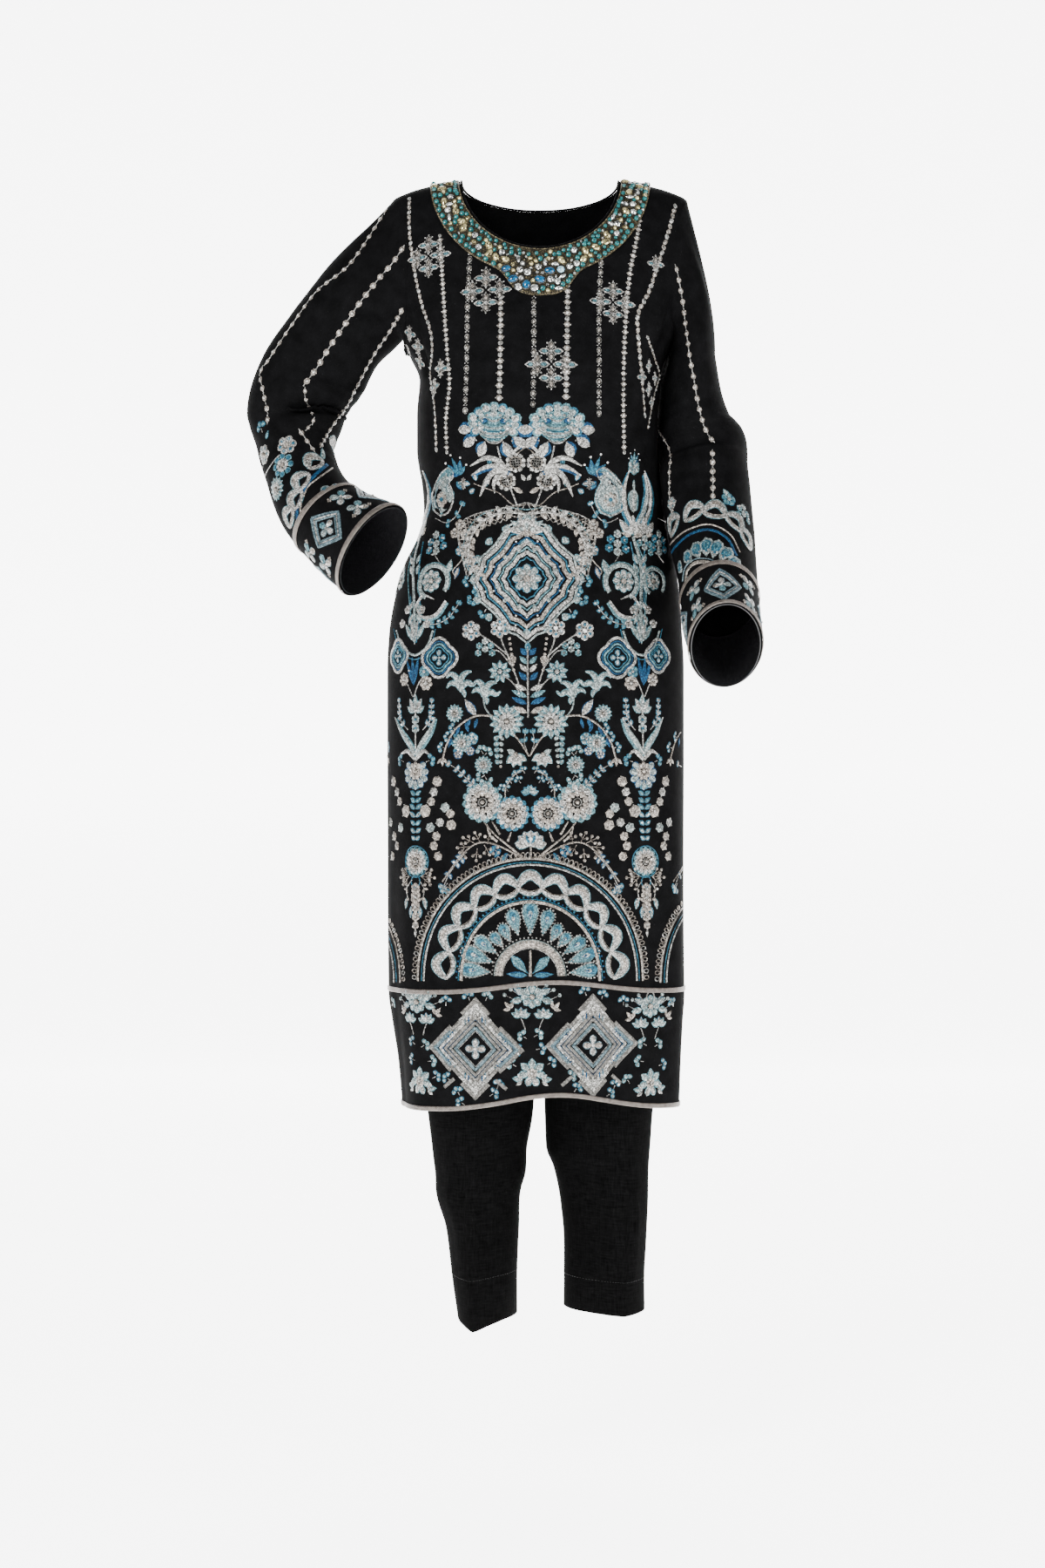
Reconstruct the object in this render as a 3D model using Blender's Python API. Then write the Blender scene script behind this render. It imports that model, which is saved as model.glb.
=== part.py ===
"""Salwar kameez suit: an embroidered knee-length kameez worn over straight trousers, with nobody inside.

Metres, +Z up. The front of the suit faces -Y and its wearer's left is +X. The origin is where the suit is
held: midway between the two points where the neckline meets the shoulder seams. "Drop" is the distance
below that level, and "across" is measured over the cloth from the centre front or the centre back.

Every piece is a wall of cloth. Its outer face follows a surface worked out from the tables of sections
below, and its inner face lies one cloth thickness behind it.
"""

import math

import bpy
import numpy as np

# Cloth and seams.
CLOTH = 0.0015
LINING = 0.0010
BRAID = 0.0012
BRAID_WIDTH = 0.0055
SEAM_GAP = 0.0005
LAID_ON = 0.0004

# Kameez, size small with a 42 inch length.
NECK_HALF_WIDTH = 0.092
FRONT_NECK_DEPTH = 0.091
BACK_NECK_DEPTH = 0.028
UNDERARM_DROP = 0.200
BORDER_DROP = 0.925
HEM_DROP = 1.059
SLIT_TOP_DROP = 0.640
SLIT_GAP = 0.008
SECTION_POWER = 2.3

# The torso of a general size small figure with the kameez over it: a level section for each row.
BODY_COLUMNS = ("drop", "centre", "half_width", "front", "back")
BODY = np.array(
    [
        (0.000, 0.000, 0.0920, 0.012, 0.012),
        (0.005, 0.000, 0.1210, 0.021, 0.020),
        (0.012, 0.000, 0.1470, 0.030, 0.028),
        (0.022, 0.000, 0.1680, 0.040, 0.037),
        (0.040, 0.000, 0.1770, 0.053, 0.050),
        (0.068, 0.000, 0.1800, 0.067, 0.066),
        (0.100, 0.000, 0.1770, 0.081, 0.078),
        (0.144, 0.000, 0.1690, 0.097, 0.088),
        (0.172, 0.000, 0.1610, 0.107, 0.092),
        (0.200, -0.002, 0.1480, 0.114, 0.094),
        (0.230, 0.000, 0.1380, 0.120, 0.092),
        (0.270, -0.003, 0.1380, 0.121, 0.088),
        (0.310, -0.003, 0.1380, 0.115, 0.082),
        (0.350, 0.002, 0.1370, 0.105, 0.077),
        (0.385, 0.005, 0.1385, 0.099, 0.077),
        (0.410, 0.004, 0.1445, 0.099, 0.083),
        (0.440, 0.000, 0.1550, 0.102, 0.094),
        (0.480, -0.003, 0.1635, 0.106, 0.104),
        (0.520, -0.005, 0.1680, 0.110, 0.111),
        (0.560, -0.005, 0.1700, 0.112, 0.115),
        (0.650, -0.005, 0.1700, 0.114, 0.117),
        (0.800, -0.005, 0.1695, 0.114, 0.114),
        (0.930, -0.004, 0.1695, 0.114, 0.110),
        (0.960, -0.003, 0.1665, 0.114, 0.108),
        (1.010, -0.001, 0.1610, 0.113, 0.106),
        (1.070, 0.000, 0.1570, 0.112, 0.104),
    ]
)

# The cut edge of the armhole: how far it lies from the centre plane, at each drop.
ARMHOLE_COLUMNS = ("drop", "front", "back")
ARMHOLE = np.array(
    [
        (0.022, 0.1680, 0.1680),
        (0.045, 0.1585, 0.1600),
        (0.068, 0.1545, 0.1570),
        (0.100, 0.1520, 0.1550),
        (0.144, 0.1525, 0.1555),
        (0.172, 0.1530, 0.1550),
        (0.190, 0.1520, 0.1530),
        (UNDERARM_DROP, 0.1500, 0.1500),
    ]
)

# Soft folds of the kameez: a line from one place to another, (across, drop), with a half width and a
# height. A height below zero is a trough.
FRONT_FOLDS = (
    (0.168, 0.130, 0.160, 0.225, 0.011, -0.0080),
    (0.135, 0.150, 0.115, 0.290, 0.013, 0.0035),
    (-0.164, 0.140, -0.150, 0.235, 0.011, -0.0060),
    (-0.132, 0.170, -0.110, 0.300, 0.013, 0.0030),
    (-0.170, 0.405, -0.070, 0.360, 0.014, 0.0032),
    (0.170, 0.425, 0.070, 0.375, 0.014, 0.0032),
    (-0.135, 0.620, -0.145, 1.080, 0.024, 0.0050),
    (-0.064, 0.700, -0.070, 1.080, 0.022, -0.0045),
    (0.020, 0.560, 0.018, 1.080, 0.030, 0.0045),
    (0.094, 0.720, 0.100, 1.080, 0.022, -0.0050),
    (0.175, 0.640, 0.180, 1.080, 0.024, 0.0045),
)
BACK_FOLDS = (
    (-0.060, 0.380, -0.075, 1.080, 0.028, 0.0060),
    (0.000, 0.500, 0.000, 1.080, 0.024, -0.0055),
    (0.065, 0.390, 0.080, 1.080, 0.028, 0.0060),
    (-0.150, 0.560, -0.160, 1.080, 0.024, -0.0040),
    (0.150, 0.560, 0.160, 1.080, 0.024, -0.0040),
    (-0.120, 0.400, -0.030, 0.360, 0.015, 0.0035),
    (0.120, 0.400, 0.030, 0.365, 0.015, 0.0035),
)

# The front of the skirt is carried a little higher beside its centre.
LIFT_CENTRE = 0.020
LIFT_HALF_WIDTH = 0.078
LIFT = np.array([(0.600, 0.000), (0.760, 0.003), (0.925, 0.013), (1.070, 0.020)])

# Bead-worked neck patch.
PATCH_WIDTH = 0.033
PATCH_POINT = 0.023
PATCH_POINT_HALF_WIDTH = 0.026
PATCH_INSET = 0.0008
STONE_RISE = 0.0014
BINDING_RADIUS = 0.0013

# Sleeves: the middle of the arm and the half sizes of the cloth round it. Across lies in the plane of the
# arm's bend seen from the front, and through is at right angles to it: x, y, z, half across, half through.
RIGHT_SLEEVE = np.array(
    [
        (-0.2040, 0.004, -0.1440, 0.0600, 0.0500),
        (-0.2400, 0.010, -0.1880, 0.0590, 0.0490),
        (-0.2660, 0.014, -0.2270, 0.0600, 0.0480),
        (-0.2810, 0.014, -0.2680, 0.0560, 0.0480),
        (-0.2790, 0.004, -0.3050, 0.0460, 0.0470),
        (-0.2710, -0.014, -0.3400, 0.0420, 0.0450),
        (-0.2550, -0.036, -0.3740, 0.0450, 0.0440),
        (-0.2240, -0.062, -0.4060, 0.0500, 0.0450),
        (-0.1870, -0.089, -0.4310, 0.0575, 0.0450),
    ]
)
LEFT_SLEEVE = np.array(
    [
        (0.1740, 0.000, -0.2000, 0.0270, 0.0600),
        (0.1735, 0.000, -0.2350, 0.0330, 0.0600),
        (0.1765, 0.000, -0.2750, 0.0395, 0.0590),
        (0.1850, -0.004, -0.3150, 0.0475, 0.0580),
        (0.1915, -0.020, -0.3600, 0.0485, 0.0570),
        (0.1940, -0.046, -0.4080, 0.0485, 0.0570),
        (0.1985, -0.080, -0.4580, 0.0445, 0.0590),
        (0.2000, -0.120, -0.5060, 0.0430, 0.0620),
        (0.2030, -0.152, -0.5400, 0.0405, 0.0640),
    ]
)
CAP_REACH = 1.0
RIGHT_CAP_FALL = 0.0
LEFT_CAP_FALL = 0.65
PLACE_STEP = 0.004
CUFF_LENGTH = 0.068
LINING_SHOWS = 0.0025

# Folds of the sleeves: where along the sleeve from 0 to 1, which way round in degrees (0 is the outside of
# the arm, 90 its front, 180 its inside), the half sizes, how much the fold climbs for each turn, and height.
RIGHT_SLEEVE_FOLDS = (
    (0.500, 130.0, 0.036, 55.0, -0.060, -0.0090),
    (0.425, 120.0, 0.036, 55.0, -0.060, 0.0040),
    (0.575, 120.0, 0.036, 55.0, -0.050, 0.0035),
    (0.640, 190.0, 0.036, 45.0, 0.040, -0.0050),
    (0.300, 200.0, 0.040, 50.0, 0.060, -0.0040),
)
LEFT_SLEEVE_FOLDS = (
    (0.540, 105.0, 0.032, 60.0, 0.000, -0.0055),
    (0.475, 110.0, 0.032, 60.0, 0.000, 0.0030),
    (0.610, 100.0, 0.032, 60.0, 0.000, 0.0030),
    (0.520, 325.0, 0.060, 55.0, 0.000, 0.0120),
    (0.300, 200.0, 0.040, 50.0, 0.040, -0.0030),
)

# Trousers.
WAIST_DROP = 0.425
WAISTBAND_HEIGHT = 0.034
WAISTBAND = 0.0022
CROTCH_DROP = 0.700

# Each leg: the middle of its section and its half sizes, how far its pressed creases turn outwards in
# degrees, and how sharply they are pressed, from 0 to 1.
LEG_COLUMNS = ("drop", "middle", "half_width", "half_depth", "turn", "press")
RIGHT_LEG = np.array(
    [
        (0.425, 0.0000, 0.1230, 0.0800, 0.0, 0.00),
        (0.520, 0.0000, 0.1500, 0.0970, 0.0, 0.00),
        (0.600, 0.0100, 0.1500, 0.1000, 2.0, 0.05),
        (0.660, 0.0500, 0.1080, 0.0930, 4.0, 0.10),
        (0.700, 0.0790, 0.0760, 0.0880, 6.0, 0.15),
        (0.780, 0.0800, 0.0750, 0.0860, 8.0, 0.25),
        (0.900, 0.0760, 0.0710, 0.0810, 10.0, 0.40),
        (1.000, 0.0710, 0.0660, 0.0760, 12.0, 0.55),
        (1.072, 0.0680, 0.0600, 0.0720, 13.0, 0.60),
        (1.112, 0.0690, 0.0540, 0.0700, 13.0, 0.65),
        (1.136, 0.0680, 0.0520, 0.0690, 13.0, 0.65),
        (1.160, 0.0705, 0.0480, 0.0690, 13.0, 0.65),
        (1.200, 0.0655, 0.0410, 0.0690, 13.0, 0.70),
        (1.250, 0.0635, 0.0365, 0.0700, 13.0, 0.75),
        (1.300, 0.0600, 0.0325, 0.0710, 13.0, 0.80),
    ]
)
LEFT_LEG = np.array(
    [
        (0.425, 0.0000, 0.1230, 0.0800, 0.0, 0.00),
        (0.520, 0.0000, 0.1525, 0.0980, 0.0, 0.00),
        (0.600, 0.0100, 0.1524, 0.1005, 4.0, 0.05),
        (0.660, 0.0500, 0.1080, 0.0910, 8.0, 0.10),
        (0.700, 0.0790, 0.0740, 0.0850, 12.0, 0.15),
        (0.780, 0.0800, 0.0740, 0.0840, 16.0, 0.25),
        (0.900, 0.0760, 0.0710, 0.0800, 20.0, 0.40),
        (1.000, 0.0700, 0.0660, 0.0760, 24.0, 0.55),
        (1.072, 0.0670, 0.0620, 0.0720, 25.0, 0.60),
        (1.110, 0.0665, 0.0600, 0.0700, 24.0, 0.65),
        (1.133, 0.0700, 0.0540, 0.0690, 23.0, 0.65),
        (1.172, 0.0735, 0.0490, 0.0690, 22.0, 0.65),
        (1.212, 0.0745, 0.0460, 0.0690, 20.0, 0.70),
        (1.255, 0.0735, 0.0450, 0.0690, 18.0, 0.75),
        (1.291, 0.0735, 0.0455, 0.0700, 17.0, 0.80),
    ]
)
RIGHT_HEM_DIP = 0.009
LEFT_HEM_DIP = 0.001

# How finely the walls are divided. A sleeve has a corner wherever a row of the panels meets its armhole.
FRONT_COLUMNS = (7, 4)
BACK_COLUMNS = (5, 3)
FRONT_ROWS = 15
BACK_ROWS = 16
ARMHOLE_ROWS = 9
BORDER_ROWS = 3
CAP_ROWS = 5
SLEEVE_ROWS = 13
SLEEVE_SIDES = 2 * ARMHOLE_ROWS
LEG_SIDES = 16
SEAT_ROWS = 5
LEG_ROWS = 13
WAISTBAND_SIDES = 24
PATCH_STONES = 26
PATCH_ROWS = 6
SECTION_STEPS = 160

# Colours and finishes.
BLACK_CHIFFON = ("black_chiffon", (0.012, 0.012, 0.014), 0.75, 0.0)
BLACK_SUITING = ("black_suiting", (0.016, 0.016, 0.017), 0.80, 0.0)
BLACK_SATIN = ("black_satin", (0.008, 0.008, 0.009), 0.28, 0.0)
SILVER_BRAID = ("silver_braid", (0.52, 0.42, 0.38), 0.45, 0.5)
BEADWORK = ("beadwork", (0.45, 0.50, 0.40), 0.30, 0.4)


def smooth(xs, ys, x):
    """A curve through the table's points that never overshoots them, read at x."""
    step = np.diff(xs)
    slope = np.diff(ys) / step
    tangent = np.zeros(len(xs))
    tangent[0], tangent[-1] = slope[0], slope[-1]
    bends = slope[:-1] * slope[1:] > 0
    before, after = 2 * step[1:] + step[:-1], step[1:] + 2 * step[:-1]
    first, second = np.where(bends, slope[:-1], 1.0), np.where(bends, slope[1:], 1.0)
    tangent[1:-1] = np.where(bends, (before + after) / (before / first + after / second), 0.0)
    x = np.clip(x, xs[0], xs[-1])
    i = np.clip(np.searchsorted(xs, x) - 1, 0, len(step) - 1)
    t = (x - xs[i]) / step[i]
    return (
        (2 * t**3 - 3 * t**2 + 1) * ys[i]
        + (t**3 - 2 * t**2 + t) * step[i] * tangent[i]
        + (3 * t**2 - 2 * t**3) * ys[i + 1]
        + (t**3 - t**2) * step[i] * tangent[i + 1]
    )


def column(table, columns, name, at):
    """The named column of a table at a place along its first column."""
    return smooth(table[:, 0], table[:, columns.index(name)], at)


def body(name, drop):
    return column(BODY, BODY_COLUMNS, name, drop)


def unit(vectors):
    return vectors / np.linalg.norm(vectors, axis=-1, keepdims=True)


def towards(side):
    """The sign of y on this side of the torso."""
    return -1.0 if side == "front" else 1.0


def section(drop, side):
    """One half of a level section: (x, how far each lies from the centre over the cloth)."""
    half, depth = body("half_width", drop), body(side, drop)
    angle = np.linspace(0, math.pi / 2, SECTION_STEPS)
    across, through = np.sin(angle) / half, np.cos(angle) / depth
    reach = (across**SECTION_POWER + through**SECTION_POWER) ** (-1 / SECTION_POWER)
    x, y = reach * np.sin(angle), reach * np.cos(angle)
    return x, np.concatenate([[0], np.cumsum(np.hypot(np.diff(x), np.diff(y)))])


def body_normal(x, y, drop, side):
    """The outward normal of the torso at a point of its section, from the section's own equation."""
    half, depth = body("half_width", drop), body(side, drop)
    d = 1e-4
    half_slope = (body("half_width", drop + d) - body("half_width", drop - d)) / (2 * d)
    depth_slope = (body(side, drop + d) - body(side, drop - d)) / (2 * d)
    across, through = np.abs(x) / half, np.abs(y) / depth
    p = SECTION_POWER
    return unit(
        np.stack(
            [
                np.sign(x) * across ** (p - 1) / half,
                towards(side) * through ** (p - 1) / depth,
                across**p * half_slope / half + through**p * depth_slope / depth,
            ],
            axis=-1,
        )
    )


def fold_height(across, drop, folds):
    """The height of all the folds at places on a panel. A fold fades in, and out unless it meets the hem."""
    height = np.zeros(len(across))
    for across_0, drop_0, across_1, drop_1, half_width, rise in folds:
        run = np.array([across_1 - across_0, drop_1 - drop_0])
        length = np.hypot(*run)
        along = ((across - across_0) * run[0] + (drop - drop_0) * run[1]) / length
        beside = ((across - across_0) * run[1] - (drop - drop_0) * run[0]) / length
        turn = math.pi / 2 if drop_1 > HEM_DROP else math.pi
        fade = np.clip(np.sin(np.clip(along / length, 0, 1) * turn), 0, 1) ** 0.7
        height += rise * fade * np.exp(-((beside / half_width) ** 2))
    return height


def lift(x, drop):
    """How much higher than its level the cloth of the front is carried."""
    return smooth(LIFT[:, 0], LIFT[:, 1], drop) * np.exp(-(((x - LIFT_CENTRE) / LIFT_HALF_WIDTH) ** 2))


def torso(x, drop, side):
    """(points, outward normals) on the kameez at these places, with its folds."""
    x, drop = np.atleast_1d(x), np.broadcast_to(drop, np.shape(np.atleast_1d(x)))
    short = 1 - np.minimum(np.abs(x) / body("half_width", drop), 1.0) ** SECTION_POWER
    y = towards(side) * np.maximum(body(side, drop) * short ** (1 / SECTION_POWER), SEAM_GAP / 2)
    normals = body_normal(x, y, drop, side)
    across = np.array([np.interp(abs(a), *section(d, side)) for a, d in zip(x, drop)]) * np.sign(x)
    height = fold_height(across, drop, FRONT_FOLDS if side == "front" else BACK_FOLDS)
    z = -drop + (lift(x, drop) if side == "front" else 0.0)
    return np.stack([x + body("centre", drop), y, z], axis=1) + normals * height[:, None], normals


def neckline(turn, side):
    """The neckline's (x, drop), from the centre at turn 0 to the shoulder seam at turn 1."""
    depth = FRONT_NECK_DEPTH if side == "front" else BACK_NECK_DEPTH
    angle = turn * math.pi / 2
    return np.stack([NECK_HALF_WIDTH * np.sin(angle), depth * np.cos(angle)], axis=-1)


def shoulder_drop(x):
    """The drop of the shoulder seam at a distance from the centre plane."""
    drops = np.linspace(0, ARMHOLE[0, 0], 60)
    return np.interp(x, body("half_width", drops), drops)


def armhole_edge(side):
    """The armhole's (x, drop) from the underarm up to the shoulder, at each row of the panels."""
    drops = UNDERARM_DROP + (ARMHOLE[0, 0] - UNDERARM_DROP) * np.linspace(0, 1, ARMHOLE_ROWS + 1)
    return np.stack([column(ARMHOLE, ARMHOLE_COLUMNS, side, drops), drops], axis=1)


def slit_gap(drop):
    """How much further than a seam's gap the panels stand apart along the side slit."""
    opened = np.clip((drop - SLIT_TOP_DROP) / 0.05, 0, 1)
    return SLIT_GAP * opened * opened * (3 - 2 * opened)


def level_row(drop, side, shares):
    """The x of a level row at shares of the half panel's width."""
    x, walked = section(drop, side)
    return np.interp(shares * (walked[-1] - (SEAM_GAP + slit_gap(drop)) / 2), walked, x)


def upper_rows(side, columns):
    """The half panel above the underarm, filled in between its four edges: rows of (x, drop)."""
    neck_columns, shoulder_columns = columns
    foot = np.stack([np.zeros(sum(columns) + 1), np.full(sum(columns) + 1, UNDERARM_DROP)], axis=1)
    shares = np.linspace(0, 1, sum(columns) + 1)
    foot[:, 0] = level_row(UNDERARM_DROP, side, shares)
    seam_x = np.linspace(NECK_HALF_WIDTH, ARMHOLE[0, 1], shoulder_columns + 1)[1:]
    seam = np.stack([seam_x, shoulder_drop(seam_x)], axis=1)
    top = np.concatenate([neckline(np.linspace(0, 1, neck_columns + 1), side), seam])
    edge = armhole_edge(side)
    rows = []
    for t, outer in zip(np.linspace(0, 1, ARMHOLE_ROWS + 1), edge):
        inner = foot[0] * (1 - t) + top[0] * t
        s = shares[:, None]
        plain = foot * (1 - t) + top * t
        corners = (foot[0] * (1 - s) + foot[-1] * s) * (1 - t) + (top[0] * (1 - s) + top[-1] * s) * t
        rows.append(plain + inner * (1 - s) + outer * s - corners)
    return rows[1:]


class Sheet:
    """Points, their outward normals and the quads between them, from which a wall is made."""

    def __init__(self):
        self.points, self.normals, self.quads, self.rows = [], [], [], []

    def add_row(self, points, normals, closed=False):
        """Adds a row and joins it to the one before. A closed row runs on from its end to its start."""
        first = len(self.points)
        self.points.extend(points)
        self.normals.extend(normals)
        row = list(range(first, len(self.points)))
        row += row[:1] if closed else []
        if self.rows:
            below = self.rows[-1]
            self.quads += [(below[i], below[i + 1], row[i + 1], row[i]) for i in range(len(row) - 1)]
        self.rows.append(row)


def material(name, colour, roughness, metallic):
    made = bpy.data.materials.get(name)
    if made is None:
        made = bpy.data.materials.new(name)
        made.use_nodes = True
        shader = made.node_tree.nodes["Principled BSDF"]
        shader.inputs["Base Color"].default_value = (*colour, 1.0)
        shader.inputs["Roughness"].default_value = roughness
        shader.inputs["Metallic"].default_value = metallic
        made.diffuse_color = (*colour, 1.0)
    return made


def solid(name, points, faces, finish):
    """An object with these points and faces, all facing outwards."""
    mesh = bpy.data.meshes.new(name)
    mesh.from_pydata(np.array(points).tolist(), [], faces)
    mesh.update()
    mesh.calc_loop_triangles()
    corners = np.array([[mesh.vertices[v].co for v in half.vertices] for half in mesh.loop_triangles])
    if np.linalg.det(corners).sum() < 0:
        mesh.flip_normals()
    mesh.materials.append(material(*finish))
    mesh.shade_smooth()
    mesh.set_sharp_from_angle(angle=math.radians(60))
    bpy.context.scene.collection.objects.link(bpy.data.objects.new(name, mesh))


def wall(name, sheet, thickness, finish, lifted=0.0, rise=None):
    """A wall whose outer face is the sheet, with its inner face a thickness behind it.

    Where the sheet is lifted, the inner face lies that far above it, and the outer face a thickness higher
    and, at each point, its own rise.
    """
    points, normals = np.array(sheet.points), unit(np.array(sheet.normals))
    outer, inner = points, points - normals * thickness
    if lifted:
        top = np.full(len(points), lifted + thickness) + (0.0 if rise is None else np.array(rise))
        outer, inner = points + normals * top[:, None], points + normals * lifted
    n = len(points)
    halves = [half for a, b, c, d in sheet.quads for half in ((a, b, c), (a, c, d))]
    faces = halves + [(c + n, b + n, a + n) for a, b, c in halves]
    edges = {edge for quad in sheet.quads for edge in zip(quad, quad[1:] + quad[:1])}
    faces += [(b, a, a + n, b + n) for a, b in sorted(edges) if (b, a) not in edges]
    solid(name, np.concatenate([outer, inner]), faces, finish)


def panel_rows(side, columns, drops, with_top=True):
    """The sheet of a panel: level rows at these drops and, above them, the rows up to the shoulders."""
    shares = np.linspace(0, 1, sum(columns) + 1)
    rows = [np.stack([level_row(d, side, shares), np.full(len(shares), d)], axis=1) for d in drops]
    rows += upper_rows(side, columns) if with_top else []
    sheet = Sheet()
    for row in rows:
        whole = np.concatenate([row[:0:-1] * (-1, 1), row])
        sheet.add_row(*torso(whole[:, 0], whole[:, 1], side))
    return sheet


def kameez_panel(name, side, columns, lowest, rows):
    drops = np.linspace(lowest, UNDERARM_DROP, rows + 1)
    wall(name, panel_rows(side, columns, drops), CLOTH, BLACK_CHIFFON)


def front_border():
    drops = np.linspace(HEM_DROP, BORDER_DROP + SEAM_GAP / 2, BORDER_ROWS + 1)
    wall("front_border", panel_rows("front", FRONT_COLUMNS, drops, with_top=False), CLOTH, BLACK_CHIFFON)


def torso_braid(name, side, columns, drop):
    """A braid sewn on the face of a panel, across its whole width."""
    drops = (drop + BRAID_WIDTH / 2, drop - BRAID_WIDTH / 2)
    wall(name, panel_rows(side, columns, drops, with_top=False), BRAID, SILVER_BRAID, lifted=LAID_ON)


def patch_place(turn, out):
    """(x, drop) on the beaded band: turn runs from -1 to 1 round the neckline and out from 0 to 1."""
    x, drop = neckline(abs(turn) * 0.985, "front")
    away = unit(np.array([x / NECK_HALF_WIDTH**2, drop / FRONT_NECK_DEPTH**2]))
    width = PATCH_WIDTH + PATCH_POINT * math.exp(-((x / PATCH_POINT_HALF_WIDTH) ** 4))
    x, drop = np.array([x, drop]) + away * (PATCH_INSET + width * out)
    return math.copysign(x, turn), max(drop, float(shoulder_drop(x)) + 0.002)


def neck_patch():
    """The beaded band along the front neckline, with a point at its centre. Every other point is a stone."""
    sheet, rise = Sheet(), []
    turns = np.linspace(-1, 1, 2 * PATCH_STONES + 1)
    for j in range(PATCH_ROWS, -1, -1):
        places = np.array([patch_place(turn, j / PATCH_ROWS) for turn in turns])
        sheet.add_row(*torso(places[:, 0], places[:, 1], "front"))
        rise += [STONE_RISE if i % 2 and j % 2 else 0.0 for i in range(len(turns))]
    wall("neck_patch", sheet, CLOTH, BEADWORK, lifted=LAID_ON, rise=rise)


def around_ring(ring):
    """The direction round a closed ring at each of its points."""
    return np.roll(ring, -1, axis=0) - np.roll(ring, 1, axis=0)


def neck_binding():
    """The thin bound edge that runs all round the neckline."""
    front, back = (np.linspace(-1, 1, 2 * columns[0] + 1) for columns in (FRONT_COLUMNS, BACK_COLUMNS))
    line, normals = [], []
    for turns, side in ((front, "front"), (back[-2:0:-1], "back")):
        places = neckline(np.abs(turns), side)
        points, outward = torso(places[:, 0] * np.sign(turns), places[:, 1], side)
        line.append(points)
        normals.append(outward)
    line, normals = np.concatenate(line), np.concatenate(normals)
    line[np.abs(line[:, 2]) < 1e-9, 1] = 0.0
    inward = unit(np.cross(around_ring(line), normals))
    inward *= np.sign((inward * (line.mean(axis=0) - line)).sum())
    centre = line - normals * CLOTH / 2 + inward * (BINDING_RADIUS + SEAM_GAP)
    sheet = Sheet()
    for angle in np.arange(6) * math.pi / 3:
        spoke = inward * math.cos(angle) + normals * math.sin(angle)
        sheet.add_row(centre + spoke * BINDING_RADIUS, spoke, closed=True)
    first, last = sheet.rows[0], sheet.rows[-1]
    sheet.quads += [(last[i], last[i + 1], first[i + 1], first[i]) for i in range(len(first) - 1)]
    solid("neck_binding", sheet.points, sheet.quads, BLACK_CHIFFON)


def armhole_loop(hand):
    """(points, normals, directions out of the cloth) round the armhole, from the shoulder down the front."""
    points, normals = [], []
    for side, way in (("front", -1), ("back", 1)):
        edge = armhole_edge(side)
        point, normal = torso(hand * edge[:, 0], edge[:, 1], side)
        point[[0, -1], 1] = 0.0
        points.append(point[::way][:-1])
        normals.append(normal[::way][:-1])
    points, normals = np.concatenate(points), np.concatenate(normals)
    out = unit(np.cross(around_ring(points), normals))
    return points, normals, out * np.sign(out[0, 0] * hand)


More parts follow.
